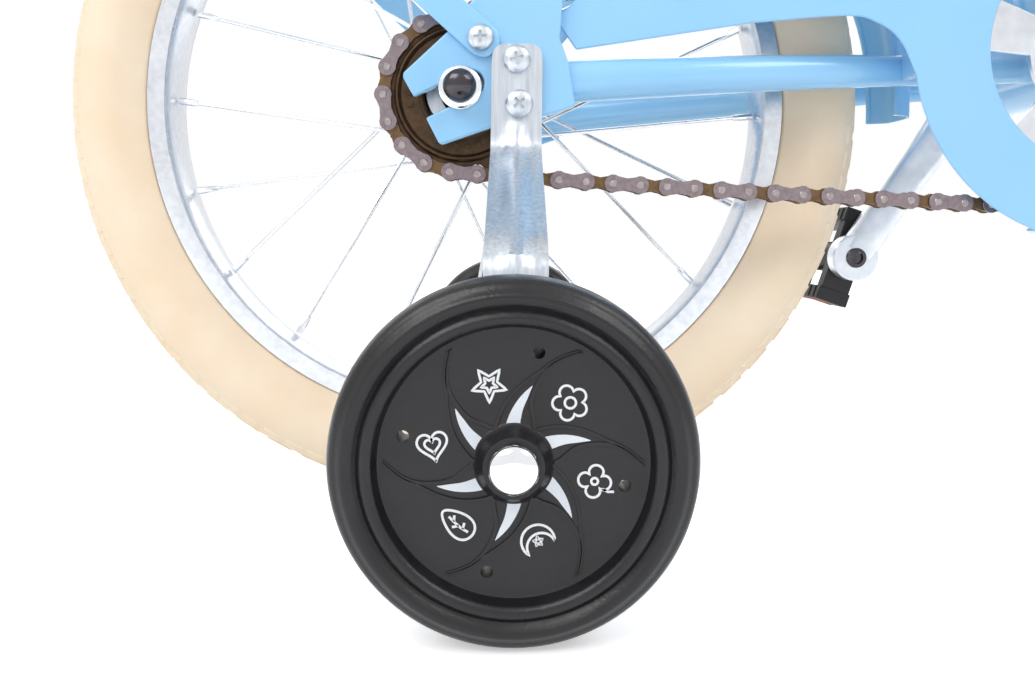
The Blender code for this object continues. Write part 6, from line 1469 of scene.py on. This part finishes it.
flange_bm, dome_bm = bmesh.new(), bmesh.new()
for word, side in SIDES:
    spun(flange_bm, REAR, LEFT * side, [(0.0050, 0.0623), (0.0094, 0.0623), (0.0097, 0.0626), (0.0097, 0.0641),
                                        (0.0094, 0.0645), (0.0080, 0.0650), (0.0050, 0.0650)], 48)
    spun(dome_bm, REAR, LEFT * side, [(0.0050, 0.0646), (0.0073, 0.0646), (0.0074, 0.0690), (0.0071, 0.0703),
                                      (0.0063, 0.0725), (0.0050, 0.0741), (0.0030, 0.0750), (0.0, 0.0753),
                                      (0.0, 0.0715), (0.0050, 0.0710)], 48)
NUTS = ["right_rear_axle_nut", "left_rear_axle_nut"]
finish_piece("axle_nut_flanges", flange_bm, chrome, "frame", "silver_steel", NUTS)
# The caps' dark colour is a painted reflection of a dark surround on chrome.
finish_piece("axle_nut_caps", dome_bm, painted_dark_chrome, "frame", "silver_steel", NUTS)

# %% [markdown]
# ## Cranks and pedals
#
# The cranks are forged bars with softly squared sides, a boss at the spindle and an eye at the pedal. Sweeping a
# squared ring keeps the flat faces that a forging has, which a plain oval would lose.

# %% Forge the cranks
CRANK_ANGLE, CRANK_LENGTH, ARM_MIDDLE, ARM_HALF, ARM_SPREAD = 57, 0.117, 0.06525, 0.0058, 0.0060


def squared_bar(bm, rows, power=0.55, sides=28):
    """A bar through rows of (point, across, upward, half across, half up), its section a softened rectangle."""
    loops = []
    for point, across, upward, half_across, half_up in rows:
        rim = []
        for number in range(sides):
            a = 2 * pi * (number + 0.5) / sides
            x, z = copysign(abs(cos(a)) ** power, cos(a)), copysign(abs(sin(a)) ** power, sin(a))
            rim.append(point + across * half_across * x + upward * half_up * z)
        loops.append(outline_loop(bm, rim))
    bridge(bm, loops)


crank_way = Vector((cos(radians(CRANK_ANGLE)), 0, sin(radians(CRANK_ANGLE))))
PEDAL_EYES = {"right": CRANK + crank_way * CRANK_LENGTH, "left": CRANK - crank_way * CRANK_LENGTH}
pin_bm = bmesh.new()
for word, side in SIDES:
    flat, eye = LEFT * side, PEDAL_EYES[word]
    way = (eye - CRANK).normalized()
    bm = bmesh.new()
    inner = 0.0424 if side < 0 else 0.0385
    spun(bm, CRANK, flat, [(0.0066, inner), (0.0165, inner), (0.0170, inner + 0.0005), (0.0170, 0.0697),
                           (0.0162, 0.0705), (0.0066, 0.0705)], 56)
    rows = []
    for share, tall, out in ((0.10, 0.0136, 0.02), (0.25, 0.0121, 0.1), (0.42, 0.0112, 0.32), (0.58, 0.0106, 0.66),
                             (0.75, 0.0103, 0.9), (0.88, 0.0104, 0.98), (0.97, 0.0106, 1.0)):
        place = CRANK + way * CRANK_LENGTH * share + flat * (ARM_MIDDLE + ARM_SPREAD * out)
        rows.append((place, way.cross(flat), flat, tall, ARM_HALF))
    squared_bar(bm, rows)
    spun(bm, eye, flat, [(0.0061, 0.0660), (0.0132, 0.0660), (0.0140, 0.0668), (0.0140, 0.0757), (0.0132, 0.0765),
                         (0.0061, 0.0765)], 48)
    finish_piece(f"{word}_crank_forging", bm, silver_lacquer, "crank", "polished_alloy", [f"{word}_crank"])
    spun(pin_bm, eye, flat, [(0.0, 0.0665), (0.0035, 0.0665), (0.0038, 0.0648), (0.0056, 0.0648), (0.0060, 0.0652),
                             (0.0060, 0.1512), (0.0055, 0.1516), (0.0, 0.1516)], 32)
finish_piece("pedal_pins", pin_bm, painted_dark_chrome, "crank", "polished_alloy")

# %% [markdown]
# The pedals are moulded in one piece: a barrel on the pin, two treads with grip bars, and windows between them.
# An amber reflector is let into the front and the back edge.

# %% Mould the pedals
PEDAL_MIDDLE, PEDAL_TILT = 0.1185, radians(-71)
forward = Vector((cos(PEDAL_TILT), 0, -sin(PEDAL_TILT)))
upright = Vector((sin(PEDAL_TILT), 0, cos(PEDAL_TILT)))
for word, side in SIDES:
    flat = LEFT * side
    middle = PEDAL_EYES[word] + flat * PEDAL_MIDDLE
    bm = bmesh.new()
    for way in (-1, 1):
        box(bm, middle + forward * way * 0.0258, (forward, flat, upright), (0.0042, 0.0390, 0.0100))
        box(bm, middle + flat * way * 0.0345, (forward, flat, upright), (0.0218, 0.0045, 0.0088))
        for number in range(-4, 5):
            for face in (-1, 1):
                spot = middle + forward * way * 0.0256 + flat * number * 0.0080 + upright * face * 0.0101
                box(bm, spot, (forward, flat, upright), (0.0038, 0.0015, 0.0006))
    spun(bm, middle, flat, [(0.0064, -0.0386), (0.0094, -0.0386), (0.0097, -0.0380), (0.0097, 0.0350), (0.0080, 0.0380),
                            (0.0, 0.0380), (0.0, 0.0345), (0.0064, 0.0345)], 36)
    finish_piece(f"{word}_pedal_body", bm, black_nylon, f"{word}_pedal", "black_plastic", [f"{word}_pedal"],
                 bevel=0.0005)
    bm = bmesh.new()
    for way in (-1, 1):
        box(bm, middle + forward * way * 0.0298, (forward, flat, upright), (0.0010, 0.0250, 0.0062))
    finish_piece(f"{word}_pedal_reflectors", bm, reflector, f"{word}_pedal", "black_plastic", bevel=0.0004)

# %% [markdown]
# ## Fork and front mudguard
#
# The photograph ends behind the front wheel, so from here on the shapes are a sound guess at an ordinary child's
# bicycle: a unicrown fork with two tapering blades, curved forward, and flat slotted tips.

# %% Make the fork
LEG = [((0.246, 0, 0.012), 0.0105, 0.0095), ((0.245, 0, 0.026), 0.0125, 0.0110), ((0.238, 0, 0.038), 0.0130, 0.0105),
       ((0.220, 0, 0.0415), 0.0130, 0.0095), ((0.170, 0, 0.0425), 0.0120, 0.0092), ((0.1206, 0, 0.0435), 0.0110, 0.0088),
       ((0.0880, 0.0006, 0.0448), 0.0100, 0.0080), ((0.0600, 0.0025, 0.046), 0.0092, 0.0070),
       ((0.0300, 0.0110, 0.0485), 0.0082, 0.0042), ((0.0150, 0.0190, 0.050), 0.0075, 0.0019)]
bm = bmesh.new()
spun(bm, STEER_BASE, STEER_UP, [(0.0, 0.242), (0.0127, 0.242), (0.0127, 0.3874), (0.0125, 0.3876), (0.0114, 0.3876),
                                (0.0114, 0.308), (0.0, 0.308)], 40)
for word, side in SIDES:
    oval_tube(bm, [(steer_point(along, ahead, side * y), deep, wide) for (along, ahead, y), deep, wide in LEG], 4, LEFT)
fork = finish_piece("fork_blades", bm, enamel, "steering", "blue_enamel", ["fork"])
bm = bmesh.new()
rod(bm, steer_point(0.246, -0.03), steer_point(0.246, 0.03), 0.0033, 20)
cut_away(fork, bm)

down = (FRONT - steer_point(0.0300, 0.0110)).normalized()
tip_ahead = down.cross(LEFT)
tip = [(-0.0080, -0.0210), (0.0080, -0.0210), (0.0095, -0.0195), (0.0095, 0.0115), (0.0080, 0.0130), (0.0053, 0.0130)]
tip += [(0.0053 * cos(pi * i / 10), -0.0053 * sin(pi * i / 10)) for i in range(11)]
tip += [(-0.0053, 0.0130), (-0.0080, 0.0130), (-0.0095, 0.0115), (-0.0095, -0.0195)]
tip = [FRONT + tip_ahead * a + down * b for a, b in tip]
bm = bmesh.new()
for word, side in SIDES:
    slab(bm, [(point.x, point.z) for point in tip], side * 0.048, side * 0.052)
finish_piece("fork_tips", bm, enamel, "steering", "blue_enamel", ["fork"], bevel=0.0006)
bm = bmesh.new()
box(bm, steer_point(0.2447), (STEER_AHEAD, LEFT, STEER_UP), (0.0135, 0.0240, 0.0127))
crown = finish_piece("fork_crown", bm, enamel, "steering", "blue_enamel", ["fork"])
bm = bmesh.new()
rod(bm, steer_point(0.246, -0.03), steer_point(0.246, 0.03), 0.0033, 20)
rod(bm, steer_point(0.22), steer_point(0.27), 0.0120, 40)
cut_away(crown, bm)
edge = crown.modifiers.new("eased edges", "BEVEL")
edge.width, edge.segments, edge.limit_method, edge.angle_limit = 0.0018, 3, "ANGLE", radians(60)
bm = bmesh.new()
spun(bm, STEER_BASE, STEER_UP, [(0.0129, 0.3796), (0.0172, 0.3796), (0.0180, 0.3803), (0.0180, 0.3864),
                                (0.0172, 0.3871), (0.0129, 0.3871)], 8)
finish_piece("headset_locknut", bm, chrome, "steering", "silver_steel", ["fork"], bevel=0.0003, smooth=20)

# %% Roll the front mudguard
bm = bmesh.new()
mudguard(bm, FRONT, 78, 196, lambda turn: 1.0)
box(bm, steer_point(0.2381, -0.0147), (STEER_AHEAD, LEFT, STEER_UP), (0.0009, 0.0080, 0.0159))
for word, side in SIDES:
    spun(bm, FRONT, LEFT * side, [(0.0050, 0.0523), (0.0079, 0.0523), (0.0082, 0.0526), (0.0082, 0.0538),
                                  (0.0079, 0.0541), (0.0050, 0.0541)], 32)
    wire = [FRONT + Vector((-0.0072, side * 0.0532, 0)), FRONT + Vector((-0.0700, side * 0.0532, 0)),
            FRONT + Vector((-0.0800, side * 0.0515, 0)), FRONT + Vector((-0.2190, side * 0.0276, 0))]
    swept(bm, wire, [0.0018] * 4, hint=LEFT, flat=[0.0008, 0.0017, 0.0018, 0.0018], sides=14)
finish_piece("front_mudguard", bm, enamel, "steering", "blue_enamel", ["front_mudguard"], smooth=40)

# %% Fit the front axle
bm, caps = bmesh.new(), bmesh.new()
rod(bm, FRONT - LEFT * 0.062, FRONT + LEFT * 0.062, 0.0046, 24)
for word, side in SIDES:
    spun(bm, FRONT, LEFT * side, [(0.0047, 0.0285), (0.0070, 0.0285), (0.0074, 0.0300), (0.0074, 0.0470),
                                  (0.0070, 0.0477), (0.0047, 0.0477)], 32)
    spun(bm, FRONT, LEFT * side, [(0.0047, 0.0544), (0.0094, 0.0544), (0.0097, 0.0547), (0.0097, 0.0562),
                                  (0.0094, 0.0566), (0.0047, 0.0570)], 48)
    spun(caps, FRONT, LEFT * side, [(0.0047, 0.0568), (0.0072, 0.0568), (0.0074, 0.0573), (0.0074, 0.0618),
                                    (0.0063, 0.0645), (0.0045, 0.0661), (0.0, 0.0664), (0.0, 0.0625), (0.0047, 0.0622)], 48)
finish_piece("front_axle_and_cones", bm, zinc_plate, "steering", "silver_steel", ["front_axle"])
# As at the rear, the caps' dark colour is a painted reflection on chrome.
finish_piece("front_axle_caps", caps, painted_dark_chrome, "steering", "silver_steel", ["front_axle"])

# %% [markdown]
# ## Stem, handlebar and grips
#
# The handlebar is one tube bent in a jig, so it keeps its width through every bend. The stem is an alloy casting
# that clamps it, and the grips are soft vinyl with ribs for small hands.

# %% Bend the handlebar
BAR_CLAMP, BAR_RADIUS = steer_point(0.445, 0.035), 0.0111
BAR_HALF = [(0.445, 0.035, 0.015), (0.445, 0.035, 0.030), (0.451, 0.035, 0.045), (0.465, 0.035, 0.056),
            (0.481, 0.0345, 0.0663), (0.497, 0.0337, 0.0767), (0.513, 0.033, 0.087), (0.527, 0.032, 0.100),
            (0.535, 0.030, 0.118), (0.535, 0.0267, 0.136), (0.535, 0.0221, 0.161), (0.535, 0.0162, 0.193),
            (0.535, 0.0104, 0.225), (0.535, 0.005, 0.255)]
route = [steer_point(along, ahead, -y) for along, ahead, y in reversed(BAR_HALF)]
route += [BAR_CLAMP] + [steer_point(*row) for row in BAR_HALF]
bm = bmesh.new()
swept(bm, smooth_path(route, 4), BAR_RADIUS, hint=STEER_UP, sides=32)
finish_piece("handlebar_tube", bm, chrome, "steering", "polished_alloy", ["handlebar"])

# %% Cast the stem
bm = bmesh.new()
spun(bm, STEER_BASE, STEER_UP, [(0.0, 0.318), (0.0111, 0.318), (0.0111, 0.4440), (0.0100, 0.4462), (0.0070, 0.4470),
                                (0.0052, 0.4470), (0.0050, 0.4440), (0.0, 0.4440)], 40)
start, end = steer_point(0.4395, -0.0100), steer_point(0.4440, 0.0215)
squared_bar(bm, [(start.lerp(end, share), LEFT, STEER_UP, half_y, 0.0118)
                 for share, half_y in ((0.0, 0.0095), (0.06, 0.0112), (0.4, 0.0120), (1.0, 0.0150))], 0.8)
spun(bm, BAR_CLAMP, LEFT, [(0.0114, -0.0190), (0.0165, -0.0190), (0.0175, -0.0180), (0.0175, 0.0180), (0.0165, 0.0190),
                           (0.0114, 0.0190)], 48)
stem = finish_piece("stem_casting", bm, rolled_alloy, "steering", "polished_alloy", ["stem"])
bm = bmesh.new()
rod(bm, BAR_CLAMP - LEFT * 0.03, BAR_CLAMP + LEFT * 0.03, 0.0114, 48)
cut_away(stem, bm)

# %% Mould the grips
GRIP_LENGTH, GRIP_RADIUS = 0.108, 0.0160
BAR_ENDS = {}
for word, side in SIDES:
    end = steer_point(0.535, 0.005, side * 0.255)
    out = (end - steer_point(0.535, 0.030, side * 0.118)).normalized()
    lean = STEER_AHEAD * cos(radians(25)) - STEER_UP * sin(radians(25))
    square = out.cross(lean).normalized()
    BAR_ENDS[word] = (end, out, square.cross(out).normalized(), square)
    ribs = []
    for number in range(24):
        at = -0.1015 + number * 0.0042
        ribs += [(GRIP_RADIUS - 0.0006, at), (GRIP_RADIUS, at + 0.0008), (GRIP_RADIUS, at + 0.0026),
                 (GRIP_RADIUS - 0.0006, at + 0.0034)]
    bm = bmesh.new()
    spun(bm, end, out, [(0.0114, -GRIP_LENGTH), (0.0192, -GRIP_LENGTH), (0.0200, -0.1072), (0.0200, -0.1048),
                        (0.0192, -0.1040), (0.0164, -0.1034)] + ribs
         + [(0.0159, -0.0003), (0.0152, 0.0022), (0.0120, 0.0044), (0.0, 0.0050), (0.0, 0.0003), (0.0114, 0.0003)], 40)
    finish_piece(f"{word}_grip_moulding", bm, cream_vinyl, "steering", "cream_vinyl", [f"{word}_grip"], smooth=50)

# %% [markdown]
# ## Brakes
#
# The levers are short and set close to the grip, for a child's reach. Each turns on a pin in its bracket. The
# calipers are side-pulls: two bent arms on one bolt, with rubber pads beside the rim.

# %% Shape the levers
for word, side in SIDES:
    end, out, lean, square = BAR_ENDS[word]


    def lever_spot(along, ahead):
        """A point along the bar from the bracket, and ahead of the bar."""
        return end + out * (along - GRIP_LENGTH - 0.0135) + lean * ahead


    place = lever_spot(0, 0.0300)
    bm = bmesh.new()
    spun(bm, place, square, [(0.0028, -0.0042), (0.0058, -0.0042), (0.0062, -0.0038), (0.0062, 0.0038),
                             (0.0058, 0.0042), (0.0028, 0.0042)], 32)
    blade = [(0.0048, 0.0316, 0.0036, 0.0040), (0.016, 0.0355, 0.0040, 0.0042), (0.040, 0.0435, 0.0044, 0.0060),
             (0.072, 0.0480, 0.0044, 0.0068), (0.100, 0.0490, 0.0042, 0.0062), (0.108, 0.0504, 0.0036, 0.0050),
             (0.110, 0.0508, 0.0020, 0.0028)]
    oval_tube(bm, [(lever_spot(a, b), thin, wide) for a, b, thin, wide in blade], 4, square)
    finish_piece(f"{word}_lever_blade", bm, black_nylon, f"{word}_brake_lever", "black_plastic",
                 [f"{word}_brake_lever"])

# %% Bend the caliper arms
ARM_WIDE, LUG_WIDE, PAD_MIDDLE, HALF_ARM = 0.0375, 0.052, 0.0225, 0.0020
CALIPERS = [("rear", BRIDGE, BRIDGE_TANGENT, radial, 0.0100, 0.08494),
            ("front", steer_point(0.246), STEER_AHEAD, STEER_UP, 0.0145, 0.09287)]
for which, bolt, facing, upward, stack, reach in CALIPERS:
    for word, side in SIDES:
        near = stack if side < 0 else stack + 0.0043
        joint = f"{word}_{which}_brake_arm"
        other = 0.00215 if side < 0 else 0.0
        height = -0.0030 if side < 0 else 0.0200


        def spot(y, high, out=0.0):
            """A point in the arm's plane: across, up, and out from its middle."""
            return bolt + facing * (near + HALF_ARM + out) + LEFT * y + upward * high


        bm = bmesh.new()
        spun(bm, bolt, facing, [(0.0033, near), (0.0086, near), (0.0090, near + 0.0004), (0.0090, near + 0.0036),
                                (0.0086, near + 0.0040), (0.0033, near + 0.0040)], 32)
        limb = [(0.0060, 0.0006), (0.020, 0.0015), (0.0290, -0.0015), (0.0345, -0.0080), (0.0372, -0.0160),
                (ARM_WIDE, -0.0240), (ARM_WIDE, -0.0330), (ARM_WIDE, -reach - 0.0040)]
        finger = [(0.0060, height * 0.2), (0.026, height * 0.75), (LUG_WIDE, height)]
        for path, way, half in ((limb, side, 0.0045), (finger, 1, 0.0036)):
            squared = [spot(way * y, high) for y, high in path]
            swept(bm, squared, half, facing, [HALF_ARM] * len(squared), 20)
        box(bm, spot(LUG_WIDE, height, other), (facing, LEFT, upward), (HALF_ARM + other, 0.0048, 0.0030))
        arm = finish_piece(f"{joint}_forging", bm, silver_lacquer, joint, "silver_steel", [joint])
        bm = bmesh.new()
        wire = spot(LUG_WIDE, height, other * 2)
        rod(bm, wire - upward * 0.02, wire + upward * 0.02, 0.0019, 16)
        cut_away(arm, bm)
        bm = bmesh.new()
        box(bm, spot(side * 0.0298, -reach), (facing, LEFT, upward), (0.0033, 0.0080, 0.0024))
        box(bm, spot(side * PAD_MIDDLE, -reach), (facing, LEFT, upward), (0.0150, 0.0055, 0.0028))
        finish_piece(f"{joint}_pad", bm, brake_rubber, joint, "black_plastic", bevel=0.0006)

# %% [markdown]
# ## Saddle and seat post
#
# A child's saddle is foam under a stretched vinyl skin that is tucked round a plastic pan, with piping sewn along
# its widest line. The foam is moulded and the skin is tight, so its shape is lofted from sections rather than
# inflated: cloth would only round off the crown that the mould gave it.

# %% Upholster the saddle
SADDLE_BASE, SADDLE_HIGH = 0.56448, 0.044
STATIONS = [(-0.1175, 0.030, -0.0200, 0.0150), (-0.1160, 0.048, -0.0150, 0.0250), (-0.110, 0.063, -0.0060, 0.0370),
            (-0.088, 0.075, 0.0, 0.0440), (-0.050, 0.070, -0.0030, 0.0410), (-0.010, 0.050, -0.0080, 0.0360),
            (0.030, 0.033, -0.0100, 0.0340), (0.075, 0.025, -0.0090, 0.0350), (0.108, 0.021, -0.0120, 0.0300),
            (0.121, 0.014, -0.0190, 0.0190), (0.1235, 0.007, -0.0225, 0.0120)]
SIDE_SECTION = [(-0.66, 1.0), (-0.90, 0.82), (-1.0, 0.55), (-0.94, 0.24), (-0.72, 0.07), (-0.36, 0.0), (0.0, -0.03)]
half_section = [(point.x, point.y) for point in smooth_path([(w, h, 0) for w, h in SIDE_SECTION], 4)]
section = half_section + [(-w, h) for w, h in reversed(half_section[:-1])]
stations = []
for first, second in zip(STATIONS, STATIONS[1:]):
    stations += [tuple(a + (b - a) * share for a, b in zip(first, second)) for share in (0, 0.25, 0.5, 0.75)]
stations = [tuple(sum(row[k] for row in stations[max(i - 2, 0):i + 3]) / len(stations[max(i - 2, 0):i + 3])
                  for k in range(4)) for i in range(len(stations))] + [STATIONS[-1]]


def saddle_point(row, w, h):
    """A point of the saddle's skin, from a station and a place on its section."""
    x, half, drop, depth = row
    return Vector((SEAT_HEAD.x + x, half * w, SADDLE_BASE + SADDLE_HIGH + drop - depth * h))


bm = bmesh.new()
bridge(bm, [outline_loop(bm, [saddle_point(row, w, h) for w, h in section]) for row in stations])
saddle = finish_piece("padded_saddle", bm, cream_vinyl, "seat", "cream_vinyl", ["saddle"], smooth=60)
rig.padded(saddle, fill=0.9)

bm = bmesh.new()
seam = [saddle_point(row, 1.0, 0.56) for row in stations[1:]]
seam += [Vector((point.x, -point.y, point.z)) for point in reversed(seam)]
loops = []
for number, point in enumerate(seam):
    across, out = frame_along(seam[(number + 1) % len(seam)] - seam[number - 1])
    loops.append(ring(bm, point, across, out, 0.0015, 0.0015, 12))
bridge(bm, loops, closed=True)
finish_piece("saddle_piping", bm, cream_rubber, "seat", "cream_vinyl", smooth=60)

# %% Make the seat post and rails
bm = bmesh.new()
rod(bm, SEAT_TOP - SEAT_UP * 0.115, SEAT_HEAD, 0.0127, 40, 0.0006)
RAIL_Z = SEAT_HEAD.z + 0.0070
rail = [(-0.062, SADDLE_BASE - 0.0003, 1), (-0.062, SADDLE_BASE - 0.0055, 1), (-0.0605, SADDLE_BASE - 0.0090, 1),
        (-0.056, RAIL_Z + 0.0025, 1), (-0.046, RAIL_Z, 1), (-0.015, RAIL_Z, 1), (0.015, RAIL_Z, 1), (0.046, RAIL_Z, 1),
        (0.056, RAIL_Z + 0.0020, 0.85), (0.0640, RAIL_Z + 0.0062, 0.70), (0.0695, SADDLE_BASE - 0.0062, 0.60),
        (0.070, SADDLE_BASE - 0.0003, 0.60)]
for word, side in SIDES:
    path = [Vector((SEAT_HEAD.x + x, side * 0.0215 * spread, z)) for x, z, spread in rail]
    swept(bm, path, 0.0034, hint=LEFT, sides=20)
finish_piece("seat_post_and_rails", bm, chrome, "seat", "silver_steel", ["seat_post"])
bm = bmesh.new()
box(bm, Vector((SEAT_HEAD.x, 0, RAIL_Z - 0.0010)), (AHEAD, LEFT, UP), (0.0150, 0.0270, 0.0085))
finish_piece("seat_post_head", bm, silver_lacquer, "seat", "silver_steel", ["seat_post"], bevel=0.0025)

# %% [markdown]
# ## Close the scene
#
# The two boxes are written down, so that the visual model can be compared with the CAD's size.

# %% Write the sizes and finish
def plain(bounds):
    """Bounds as plain lists of numbers."""
    return [[round(float(value), 6) for value in corner] for corner in bounds]


with open("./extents.json", "w") as sizes:
    json.dump({"cad": plain(cad_box), "visual": plain(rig.bounds())}, sizes)
print("cad", plain(cad_box))
